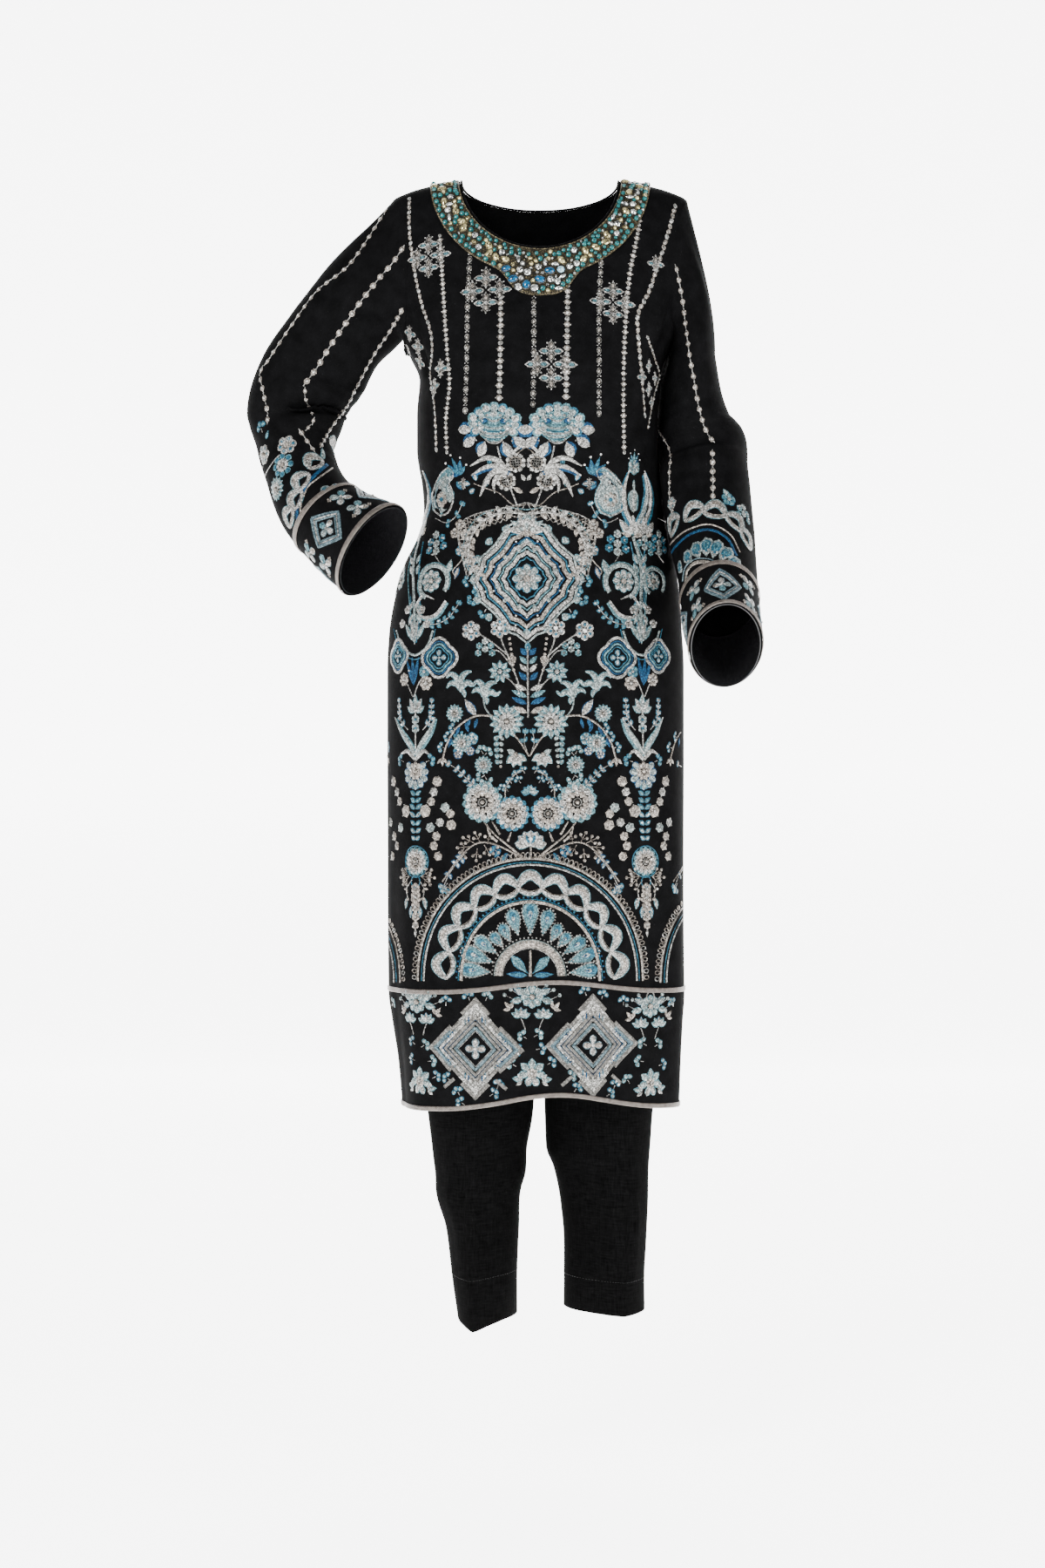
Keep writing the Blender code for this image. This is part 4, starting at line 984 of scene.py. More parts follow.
def thread(name, dark, middle, bright, metallic=0.25, roughness=0.45, specular=0.5):
    """Dense stitches with small sequins: grains whose different brightness is painted glints and painted shade
    in the gaps, each tilted its own way.
    """
    f = Finish(name, roughness, metallic=metallic, specular=specular)
    grains = f.grains(900, "Red")
    shade = f.math("MULTIPLY", f.math("ADD", grains, f.noise(420, 4.0, 0.7)), 0.5)
    # Painted light: the brightest grains are painted glints of the sequins and the darkest are painted shade
    # between the stitches.
    f.colour(f.ramp(shade, (0.22, dark), (0.50, middle), (0.78, bright)))
    return f.bump(f.math("ADD", grains, f.noise(900, 3.0)), 0.0006, 0.9).made


def stone(name, dark, bright, roughness=0.08, metallic=0.0, coat=0.6):
    """Cut glass or a bead: facets painted bright and dark as painted reflections and painted shade, under a
    hard gloss.
    """
    f = Finish(name, roughness, metallic=metallic, coat=coat)
    facets = f.grains(520, "Green")
    # Painted reflections: each facet cell is painted bright or dark, as the light it would catch or miss.
    f.colour(f.ramp(facets, (0.15, dark), (0.85, bright)))
    return f.bump(f.noise(500, 1.0), 0.0002, 0.3).made


BLACK_CHIFFON = chiffon()
BLACK_SUITING = suiting()
BLACK_SATIN = satin()
SILVER_BRAID = metal_braid()
ARCS = {side: arc_table(side) for side in ("front", "back")}


# ---- Embroidery: raised pads, cords and beads laid on the cloth.

# How far the foot of every stitch is sunk in the cloth, as a height.
LOW = -0.00012
PAD_SHOULDER = 0.85
# The two rings of a bead: (share of its radius, share of its height).
BEAD_RINGS = ((1.0, 0.0), (0.80, 0.62))

# Small sequins that catch the light: on this share of the pads higher than this many millimetres.
SPARKLE = random.Random(3)
GLINT_FROM = 0.55
GLINT_SHARE = 0.10
GLINT_LEAN = 0.35
GLINT_RADIUS = 0.0011
GLINT_RISE = 0.0003


class Stitches:
    """All the embroidery of one colour on one ground."""

    def __init__(self):
        self.points, self.faces = [], []

    def add(self, points, faces):
        n = len(self.points)
        self.points += points
        self.faces += [tuple(v + n for v in face) for face in faces]


class Ground:
    """Cloth that takes embroidery: places on it are found as they are seen by the camera, or near a point."""

    def __init__(self, name, *sheets):
        points, normals, quads = [], [], []
        for sheet in sheets:
            n = len(points)
            points += [Vector(p) for p in sheet.points]
            normals += sheet.normals
            quads += [tuple(v + n for v in quad) for quad in sheet.quads]
        self.name, self.tree, self.work = name, BVHTree.FromPolygons(points, quads), {}
        a, b, c, _ = quads[len(quads) // 3]
        facing = (points[b] - points[a]).cross(points[c] - points[a])
        self.sign = math.copysign(1.0, facing.dot(Vector(normals[a])))

    def seen(self, x, y):
        """(place, outward normal) on the cloth at a pixel of the view, or None beside it."""
        target = ((x - VIEW_CENTRE[0]) / 1000, 0.0, (VIEW_CENTRE[1] - y) / 1000)
        start = Vector(CAMERA_PLACE)
        place, normal, _, _ = self.tree.ray_cast(start, Vector(target) - start)
        # A ray that slips past the near edge lands on the inside of the far cloth, and takes no stitches.
        if place is None or normal.dot(place - start) * self.sign > 0:
            return None
        return place, normal * self.sign

    def near(self, point):
        place, normal, _, _ = self.tree.find_nearest(point)
        return place, normal * self.sign

    def of(self, colour):
        return self.work.setdefault(colour, Stitches())


class Pen:
    """Draws at a place of a ground, in millimetres: x to the right and y down, turned, scaled, mirrored."""

    def __init__(self, ground, place, normal, turn=0.0, size=1.0, flip=1, right=None):
        self.ground, self.place, self.flip, self.size = ground, place, flip, size / 1000
        self.turn = math.radians(turn)
        right = Vector((1.0, 0.0, 0.0)) if right is None else right
        self.right = (right - normal * right.dot(normal)).normalized()
        self.down = self.right.cross(normal)
        self.cos, self.sin = math.cos(self.turn), math.sin(self.turn)

    def spot(self, x, y):
        """(place, outward normal) on the cloth at x, y from this pen."""
        u = self.flip * (x * self.cos - y * self.sin) * self.size
        v = (x * self.sin + y * self.cos) * self.size
        return self.ground.near(self.place + self.right * u + self.down * v)

    def moved(self, x, y, turn=0.0, size=1.0):
        place, normal = self.spot(x, y)
        turn += math.degrees(self.turn)
        return Pen(self.ground, place, normal, turn, size * self.size * 1000, self.flip, self.right)


def pad(pen, outline, colour, height=0.8, shoulder=0.45):
    """A raised pad with this outline, which a little shoulder rounds off."""
    n = len(outline)
    centre, out = pen.spot(sum(x for x, _ in outline) / n, sum(y for _, y in outline) / n)
    rim = [pen.spot(x, y) for x, y in outline]
    facing = sum(((rim[i][0] - centre).cross(rim[(i + 1) % n][0] - centre) for i in range(n)), Vector())
    rim = rim[::-1] if facing.dot(out) < 0 else rim
    rise = height / 1000
    points = [p + normal * LOW for p, normal in rim]
    points += [p.lerp(centre, shoulder) + normal * rise * PAD_SHOULDER for p, normal in rim]
    dome(pen.ground, colour, [*points, centre + out * rise, centre + out * LOW], n)
    if height > GLINT_FROM and SPARKLE.random() < GLINT_SHARE:
        glint(pen, centre, out, rise)


def dome(ground, colour, points, n):
    """Adds a dome: two rings of n points, its foot and its shoulder, then its top and its foot's middle."""
    faces = []
    for i in range(n):
        j = (i + 1) % n
        faces += [(i, j, j + n, i + n), (i + n, j + n, 2 * n), (j, i, 2 * n + 1)]
    ground.of(colour).add(points, faces)


def glint(pen, centre, out, rise):
    """A small flat sequin on top of a pad."""
    spin = SPARKLE.random()
    spokes = [2 * math.pi * (k + spin) / 6 for k in range(6)]
    lean = out + pen.right * SPARKLE.uniform(-GLINT_LEAN, GLINT_LEAN)
    lean = (lean + pen.down * SPARKLE.uniform(-GLINT_LEAN, GLINT_LEAN)).normalized()
    across = pen.down.cross(lean).normalized()
    along = lean.cross(across)
    rim = [across * math.cos(a) * GLINT_RADIUS + along * math.sin(a) * GLINT_RADIUS for a in spokes]
    middle = centre + out * (rise + GLINT_RISE)
    points = [middle + r for r in rim] + [centre + r * 0.5 for r in rim]
    faces = [tuple(range(6)), tuple(range(11, 5, -1))]
    faces += [(k, k + 6, (k + 1) % 6 + 6, (k + 1) % 6) for k in range(6)]
    if (points[1] - points[0]).cross(points[2] - points[0]).dot(out) < 0:
        faces = [face[::-1] for face in faces]
    pen.ground.of("sequin").add(points, faces)


def bead(pen, x, y, radius, colour, sides=6, height=0.8):
    """A round bead, sequin or knot, half sunk in the cloth."""
    place, out = pen.spot(x, y)
    r = radius * pen.size
    points = []
    for share, level in BEAD_RINGS:
        for k in range(sides):
            a = -2 * math.pi * (k + 0.5 * level) / sides
            spoke = pen.right * math.cos(a) + pen.down * math.sin(a)
            points.append(place + spoke * r * share + out * r * height * level)
    points = [p + out * LOW if k < sides else p for k, p in enumerate(points)]
    dome(pen.ground, colour, [*points, place + out * r * height, place + out * LOW], sides)


# Cross sections of a cord: (share of the half width, share of the height). A wide one hugs the cloth.
NARROW = ((-1.0, 0.0), (0.0, 1.0), (1.0, 0.0))
WIDE = ((-1.0, 0.0), (-0.72, 0.85), (0.0, 1.0), (0.72, 0.85), (1.0, 0.0))
WIDE_FROM = 3.4


def cord(ground, spots, width, colour, height=0.7, ends=(1.0, 1.0), swell=0.0):
    """A cord through these spots. Its width runs from one end's share to the other's, and swells between."""
    spots = [s for s in spots if s is not None]
    n = len(spots)
    if n < 2:
        return
    profile = WIDE if width > WIDE_FROM else NARROW
    points = []
    for i, (place, out) in enumerate(spots):
        ahead, behind = spots[min(i + 1, n - 1)][0], spots[max(i - 1, 0)][0]
        side = (ahead - behind).cross(out).normalized()
        t = i / (n - 1)
        share = ends[0] * (1 - t) + ends[1] * t + swell * math.sin(math.pi * t)
        half, rise = side * width * share / 2000, height * min(share, 1.0) ** 0.5 / 1000
        for across, level in profile:
            foot, normal = (place, out) if len(profile) == 3 else ground.near(place + half * across)
            foot = place + half * across if len(profile) == 3 else foot
            points.append(foot + normal * (rise * level if level else LOW))
    k = len(profile)
    faces = [tuple(range(k - 1, -1, -1)), tuple(range(k * (n - 1), k * n))]
    for i in range(0, k * (n - 1), k):
        faces += [(i + j, i + j + 1, i + j + 1 + k, i + j + k) for j in range(k - 1)]
        faces.append((i + k - 1, i, i + k, i + 2 * k - 1))
    ground.of(colour).add(points, faces)


def through(points, step=2.0):
    """A smooth line through these points, at about this step."""
    points = [np.array(p, float) for p in points]
    ends = [2 * points[0] - points[1], *points, 2 * points[-1] - points[-2]]
    line = []
    for a, b, c, d in zip(ends, ends[1:], ends[2:], ends[3:]):
        count = max(int(np.hypot(*(c - b)) / step), 1)
        for t in np.arange(count) / count:
            line.append(
                b + 0.5 * t * (c - a + t * (2 * a - 5 * b + 4 * c - d + t * (3 * (b - c) + d - a)))
            )
    return [tuple(p) for p in [*line, points[-1]]]


def line(pen, points, width, colour, height=0.7, ends=(1.0, 1.0), swell=0.0, step=2.0):
    """A cord drawn by a pen."""
    cord(pen.ground, [pen.spot(*p) for p in through(points, step)], width, colour, height, ends, swell)


def oval(length, width, sides=8, x=0.0, y=0.0):
    return [
        (
            x + width / 2 * math.sin(2 * math.pi * k / sides),
            y - length / 2 * math.cos(2 * math.pi * k / sides),
        )
        for k in range(sides)
    ]


def blade(length, width, widest=0.45, blunt=1.0):
    """The outline of a leaf or petal that starts at 0, 0 and points up."""
    shares = (0.0, 0.18, 0.42, 0.66, 0.86, 1.0)
    power = math.log(0.5) / math.log(widest)
    half = [width / 2 * math.sin(math.pi * t**power) ** blunt if 0 < t < 1 else 0.0 for t in shares]
    up = [(h, -length * t) for h, t in zip(half, shares)]
    return up + [(-h, -length * t) for h, t in list(zip(half, shares))[-2:0:-1]]


# A shade starts this far below its leaf and ends as far above it, in millimetres.
SHADE_FOOT = 0.8
SHADE_WIDER = 2.4
SHADE_HEIGHT = 0.35


def leaf(pen, x, y, turn, length, width, colour, shade=None, widest=0.45, blunt=1.0, height=0.8):
    """A leaf from x, y, turned clockwise from up. A shade is a lower, larger leaf under it."""
    at = pen.moved(x, y, turn)
    if shade:
        grown = blade(length + 2 * SHADE_FOOT, width + SHADE_WIDER, widest, blunt)
        pad(at, [(a, b + SHADE_FOOT) for a, b in grown], shade, SHADE_HEIGHT)
    pad(at, blade(length, width, widest, blunt), colour, height)


def away(turn, reach):
    """The place at this reach from the middle, at a turn clockwise from up."""
    a = math.radians(turn)
    return reach * math.sin(a), -reach * math.cos(a)


def petals(pen, count, inner, length, width, colour, start=0.0, span=360.0, shade=None, **form):
    """Petals all round, or over a span centred on a start, each standing off the middle."""
    steps = count if span >= 360 else count - 1
    for k in range(count):
        turn = start + (span * k / steps if span >= 360 else span * (k / steps - 0.5))
        leaf(pen, *away(turn, inner), turn, length, width, colour, shade, **form)


ROUND = {"widest": 0.60, "blunt": 0.55}


def flower(pen, count, radius, colour, core="silver", shade=None, start=0.0, **form):
    """An open flower with a bead in its middle."""
    form = form or ROUND
    petals(
        pen, count, radius * 0.22, radius * 0.78, radius * 4.2 / count + 0.6, colour, start, 360, shade,
        **form,
    )
    bead(pen, 0, 0, radius * 0.24 + 0.4, core)


def knots(pen, places, radius, colour):
    for x, y in places:
        bead(pen, x, y, radius, colour)


def eye(pen, x, y, length, width, colour, turn=0.0, edge="silver"):
    """An oval of stitches in a ring of cord."""
    at = pen.moved(x, y, turn)
    pad(at, oval(length * 0.76, width * 0.68, 7), colour, 0.8)
    rim = oval(length, width, 10)
    cord(at.ground, [at.spot(*p) for p in [*rim, rim[0], rim[1]]], width * 0.18, edge, 0.9)


def cross_flower(pen, size=1.0):
    """Four ovals about a knot, two pale and two silver, with small knots at their tips and between them."""
    at = pen.moved(0, 0, 0, size)
    for side in (-1, 1):
        eye(at, 7.3 * side, 0, 6.0, 10.0, "aqua")
        eye(at, 0, 6.6 * side, 9.0, 6.2, "champagne")
        knots(at, [(12.8 * side, 0), (0, 12.6 * side)], 1.15, "silver")
        between = ((4.4, 9.6), (4.4, -9.6), (4.6, 4.6), (4.6, -4.6))
        knots(at, [(x * side, y) for x, y in between], 1.15, "silver")
    bead(at, 0, 0, 2.3, "silver", height=1.0)
    bead(at, 0, 0, 1.0, "sequin", height=2.6)


def cross_cluster(pen):
    """Four cross flowers set as a diamond."""
    for x, y in ((0, -15.5), (-15.5, 0), (15.5, 0), (0, 15.5)):
        cross_flower(pen.moved(x, y))


def sprig(pen, size=1.0, colour="pale", shade="blue"):
    """Three round lobes on a short stalk, pointing up."""
    at = pen.moved(0, 0, 0, size)
    for turn in (-62, 0, 62):
        leaf(at, *away(turn, 2.2), turn, 5.4, 4.6, colour, shade, **ROUND)
    line(at, [(0, 0), (0, 4.5)], 1.1, "silver")


def ring(pen, radius, width, colour, height=0.7, squash=1.0, step=2.0, span=(0.0, 360.0)):
    """A cord laid as a ring, or part of one, from one turn to another clockwise from up."""
    count = max(int(math.radians(span[1] - span[0]) * radius / step), 8)
    turns = [math.radians(span[0] + (span[1] - span[0]) * k / count) for k in range(count + 1)]
    spots = [pen.spot(radius * math.sin(a), -radius * squash * math.cos(a)) for a in turns]
    cord(pen.ground, spots, width, colour, height)


def peony_disc(pen, radius, shade="aqua"):
    """A full round flower seen from above: rings of ruffled petals round a ring of knots."""
    petals(pen, 15, radius * 0.62, radius * 0.44, radius * 0.40, shade, 0, 360, None, **ROUND, height=0.45)
    petals(pen, 13, radius * 0.52, radius * 0.42, radius * 0.42, "silver", 10, 360, None, **ROUND, height=0.9)
    petals(
        pen, 10, radius * 0.26, radius * 0.36, radius * 0.34, "champagne", 0, 360, None, **ROUND, height=1.15,
    )
    ring(pen, radius * 0.20, 1.6, "silver", 1.4)
    bead(pen, 0, 0, radius * 0.10 + 0.5, "champagne", height=1.6)
    for k in range(9):
        a = k * 2.4
        bead(pen, radius * 0.62 * math.sin(a), -radius * 0.62 * math.cos(a), 0.9, "sequin", height=1.5)


def dress():
    """All the cloth, each piece in the place of its solid."""
    drops = np.linspace(BORDER_DROP - SEAM_GAP / 2, UNDERARM_DROP, FRONT_ROWS + 1)
    sheets = {"front": panel_rows("front", FRONT_COLUMNS, drops)}
    shell("front_cloth", sheets["front"], BLACK_CHIFFON)
    drops = np.linspace(HEM_DROP, UNDERARM_DROP, BACK_ROWS + 1)
    sheets["back"] = panel_rows("back", BACK_COLUMNS, drops)
    shell("back_cloth", sheets["back"], BLACK_CHIFFON)
    drops = np.linspace(HEM_DROP, BORDER_DROP + SEAM_GAP / 2, BORDER_ROWS + 1)
    sheets["border"] = panel_rows("front", FRONT_COLUMNS, drops, with_top=False)
    shell("border_cloth", sheets["border"], BLACK_CHIFFON)
    torso_braid("braid_border", "front", FRONT_COLUMNS, BORDER_DROP)
    torso_braid("braid_hem_front", "front", FRONT_COLUMNS, HEM_DROP - BRAID_WIDTH / 2)
    torso_braid("braid_hem_back", "back", BACK_COLUMNS, HEM_DROP - BRAID_WIDTH / 2)
    neck_binding()
    for name, path, hand, folds, fall in (
        ("right", RIGHT_SLEEVE, -1, RIGHT_SLEEVE_FOLDS + RIGHT_SLEEVE_CREASES, RIGHT_CAP_FALL),
        ("left", LEFT_SLEEVE, 1, LEFT_SLEEVE_FOLDS + LEFT_SLEEVE_CREASES, LEFT_CAP_FALL),
    ):
        for part, sheet in sleeve(name, path, hand, folds, fall).items():
            sheets[f"{part}_{name}"] = sheet
    sheets["leg_right"] = trouser_leg("right", RIGHT_LEG, -1, RIGHT_HEM_DIP)
    sheets["leg_left"] = trouser_leg("left", LEFT_LEG, 1, LEFT_HEM_DIP)
    sheets["waist"] = waistband()
    return sheets


def stage():
    """A pale floor that sweeps up behind, soft white light from all round, and the camera."""
    profile = [(-FLOOR_REACH, FLOOR), (SWEEP_START, FLOOR)]
    for a in np.linspace(0.15, math.pi / 2, 10):
        profile.append((SWEEP_START + SWEEP_RADIUS * math.sin(a), FLOOR + SWEEP_RADIUS * (1 - math.cos(a))))
    profile += [(SWEEP_START + SWEEP_RADIUS, FLOOR + FLOOR_REACH)]
    points = [(x, y, z) for y, z in profile for x in (-FLOOR_REACH, FLOOR_REACH)]
    faces = [(2 * i, 2 * i + 1, 2 * i + 3, 2 * i + 2) for i in range(len(profile) - 1)]
    mesh = bpy.data.meshes.new("floor")
    mesh.from_pydata(points, [], faces)
    mesh.shade_smooth()
    paper = Finish("studio_paper", 0.9, specular=0.1)
    paper.colour(paper.ramp(paper.noise(3, 2.0), (0.3, (0.90, 0.90, 0.90)), (0.7, (0.93, 0.93, 0.93))))
    paper.shader.inputs["Emission Color"].default_value = (1.0, 1.0, 1.0, 1.0)
    paper.shader.inputs["Emission Strength"].default_value = PAPER_GLOW
    mesh.materials.append(paper.made)
    floor = bpy.data.objects.new("floor", mesh)
    bpy.context.scene.collection.objects.link(floor)

    world = bpy.data.worlds.new("studio")
    world.use_nodes = True
    background = world.node_tree.nodes["Background"]
    background.inputs["Color"].default_value = (1.0, 1.0, 1.0, 1.0)
    background.inputs["Strength"].default_value = AMBIENT
    bpy.context.scene.world = world
    for name, place, aim, size, power in LIGHTS:
        lamp = bpy.data.lights.new(name, "AREA")
        lamp.shape, lamp.size, lamp.size_y, lamp.energy = "RECTANGLE", *size, power
        made = bpy.data.objects.new(name, lamp)
        made.location = place
        made.rotation_euler = (Vector(aim) - Vector(place)).to_track_quat("-Z", "Y").to_euler()
        bpy.context.scene.collection.objects.link(made)

    camera = bpy.data.cameras.new("camera")
    camera.angle = 2 * math.atan(VIEW_HEIGHT / 2 / -CAMERA_PLACE[1])
    made = bpy.data.objects.new("camera", camera)
    made.location, made.rotation_euler = CAMERA_PLACE, (math.pi / 2, 0, 0)
    bpy.context.scene.collection.objects.link(made)
    bpy.context.scene.camera = made


# The paper floor: how far it reaches, and where it starts to sweep up and how roundly. Then how strongly
# the paper glows, and the white light from all round.
FLOOR_REACH = 6.0
SWEEP_START = 4.6
SWEEP_RADIUS = 0.8
PAPER_GLOW = 5.0
AMBIENT = 0.55
# Soft boxes: name, place, what it faces, size, power.
LIGHTS = (
    ("key", (-1.6, -2.8, 1.2), (0.0, 0.0, -0.6), (1.2, 1.2), 150.0),
    ("fill", (2.2, -2.2, 0.2), (0.0, 0.0, -0.6), (1.0, 1.6), 70.0),
    ("back", (0.0, 1.8, 1.4), (0.0, 0.0, -0.5), (2.4, 1.0), 40.0),
)

SHEETS = dress()


# ---- What is embroidered where. Places are pixels of the view, sizes are millimetres.

# The axis of the side column, and how far beside it the design is folded over beyond it.
COLUMN_AXIS = 477
FOLD_FROM = 5
FOLD_TO = 44
# The centre line of the front: its x at a height, and how far it leans for each pixel below it.
CENTRE_X = 603.5
CENTRE_Y = 487
CENTRE_LEAN = 0.0115


class Side:
    """One half of the front's design. The other half mirrors it about the centre line of the cloth.

    Where it is folded, it takes only what is next to the side column and repeats it beyond the column.
    """

    def __init__(self, ground, flip, folded=False):
        self.ground, self.flip, self.folded = ground, flip * (-1 if folded else 1), folded
        self.left = flip > 0

    def seen(self, x, y):
        """(place, outward normal) at a place given for the viewer's left half, or None where it's left out."""
        if self.folded:
            if not FOLD_FROM < x - COLUMN_AXIS < FOLD_TO:
                return None
            x = 2 * COLUMN_AXIS - x
        centre = CENTRE_X + (y - CENTRE_Y) * CENTRE_LEAN
        return self.ground.seen(x if self.left else 2 * centre - x, y)

    def pen(self, x, y, turn=0.0, size=1.0):
        """A pen at a place given for the viewer's left half."""
        found = self.seen(x, y)
        return found and Pen(self.ground, *found, turn, size, self.flip)

    def draw(self, motif, x, y, *args, turn=0.0, size=1.0, **named):
        pen = self.pen(x, y, turn, size)
        if pen:
            motif(pen, *args, **named)

    def leaf(self, x, y, turn, *args, **form):
        """A leaf from this place, turned clockwise from up."""
        self.draw(leaf, x, y, 0, 0, 0, *args, turn=turn, **form)

    def line(self, points, width, colour, height=0.7, ends=(1.0, 1.0), swell=0.0, step=2.0):
        cord(
            self.ground, [self.seen(x, y) for x, y in through(points, step)], width, colour, height, ends,
            swell,
        )

    def fern(self, points, pitch, length, width, colour, shade=None, slant=50.0):
        """A stalk with pairs of leaves along it and one at its tip."""
        self.line(points, 1.2, "silver")
        path = through(points, pitch)
        for i in range(1, len(path)):
            (x0, y0), (x, y) = path[i - 1], path[i]
            along = math.degrees(math.atan2(x - x0, y0 - y))
            grown = 1 - 0.35 * i / len(path)
            turns = (-slant, slant) if i < len(path) - 1 else (-slant * 0.7, 0, slant * 0.7)
            for turn in turns:
                self.leaf(x, y, along + turn, length * grown, width * grown, colour, shade)


def all_sides(ground):
    """Both halves of the front, and then what each of them folds over beyond its side column."""
    return [Side(ground, flip, folded) for folded in (False, True) for flip in (1, -1)]


def walk(ground, points, pitch):
    """Pens at an even pitch over the cloth along a line of pixels, each pointing along it."""
    spots = [s for s in (ground.seen(x, y) for x, y in through(points, 1.5)) if s]
    if len(spots) < 2:
        return []
    places = np.array([s[0] for s in spots])
    walked = np.concatenate([[0], np.cumsum(np.linalg.norm(np.diff(places, axis=0), axis=1))]) * 1000
    pens = []
    for at in np.arange(pitch / 2, walked[-1], pitch):
        place, normal = ground.near(Vector([np.interp(at, walked, places[:, k]) for k in range(3)]))
        after = Vector([np.interp(at + 2, walked, places[:, k]) for k in range(3)])
        before = Vector([np.interp(at - 2, walked, places[:, k]) for k in range(3)])
        along = (after - before).normalized()
        pens.append(Pen(ground, place, normal, right=along.cross(normal)))
    return pens


def ribbon_chain(ground, points, size=1.0):
    """Oval links with bright middles, and a cluster of small knots between each two."""
    for k, pen in enumerate(walk(ground, points, 11.8 * size)):
        eye(pen, 0, -2.2 * size, 7.0 * size, (5.7 if k % 2 else 5.0) * size, "champagne")
        bead(pen, 0.5, -2.8 * size, 0.9 * size, "sequin", height=1.8)
        cluster = ((-1.7, 3.9), (1.6, 3.8), (0, 5.6))
        knots(pen, [(a * size, b * size) for a, b in cluster], 0.95 * size, "silver")


def bead_chain(ground, points, size=1.0):
    """Round knots, large and small by turns, each a ring of stitches with a bright middle."""
    for k, pen in enumerate(walk(ground, points, 6.9 * size)):
        radius = (3.7 if k % 2 else 3.0) * size
        bead(pen, 0, 0, radius, "champagne" if k % 2 else "silver", 8, 0.34)
        bead(pen, 0, 0, radius * 0.52, "sequin" if k % 2 else "silver", 6, 0.95)
        if k % 2:
            knots(pen, [(-3.9 * size, 0), (3.9 * size, 0)], 0.8 * size, "silver")


def slim_chain(ground, points, size=1.0):
    """A narrower chain of slanting oval stitches, each with a bright middle."""
    for k, pen in enumerate(walk(ground, points, 7.4 * size)):
        at = pen.moved(0, 0, 16 if k % 2 else -16)
        pad(at, oval(8.0 * size, 5.6 * size, 8), "champagne" if k % 3 else "silver", 0.7)
        pad(at, oval(3.8 * size, 2.4 * size, 6), "sequin" if k % 2 else "pale", 1.15)


CHAINS = (
    (
        slim_chain, 0.9,
        (
            (470, 226), (470, 262), (474, 300), (483, 345), (494, 380), (496, 405), (494, 430), (499, 470),
            (501, 520),
        ),
    ),
    (bead_chain, 0.80, ((505, 268), (508, 320), (511, 370), (513, 400), (516, 440), (512, 480), (513, 520))),
    (ribbon_chain, 1.0, ((540, 290), (537, 340), (536, 400), (535, 440), (534, 478))),
    (bead_chain, 1.0, ((575, 338), (574.5, 400), (573, 460))),
    (ribbon_chain, 1.0, ((613, 340), (613, 400), (612, 470))),
    (bead_chain, 1.0, ((652, 312), (651, 400), (650, 460))),
    (ribbon_chain, 1.0, ((691, 284), (688, 350), (688, 420), (688, 482))),
    (bead_chain, 0.85, ((737, 228), (732, 270), (724, 310), (720, 347), (717, 400), (716, 460), (717, 520))),
    (
        slim_chain, 1.0,
        ((776, 234), (768, 265), (757, 300), (745, 335), (733, 360), (733, 385), (737, 430), (741, 480)),
    ),
    (slim_chain, 0.8, ((743, 385), (752, 412), (757, 430), (751, 455), (744, 492))),
)


def front_top(ground):
    """Chains that hang from the neck and shoulders, with clusters of cross flowers on them."""
    whole = Side(ground, 1)
    for chain, size, points in CHAINS:
        chain(ground, points, size)
    for x, y, size in ((492, 294, 0.92), (558, 333, 1.0), (704, 347, 0.92), (633, 418, 1.0)):
        whole.draw(cross_cluster, x, y, size=size)
    for x, y, size in (
        (506, 423, 0.8), (499, 444, 0.8), (753, 303, 0.8), (470, 383, 0.75), (480, 398, 0.75),
        (469, 402, 0.6), (482, 416, 0.7), (745, 420, 0.62), (738, 433, 0.62), (752, 434, 0.62),
        (745, 447, 0.66), (748, 462, 0.5),
    ):
        whole.draw(cross_flower, x, y, size)


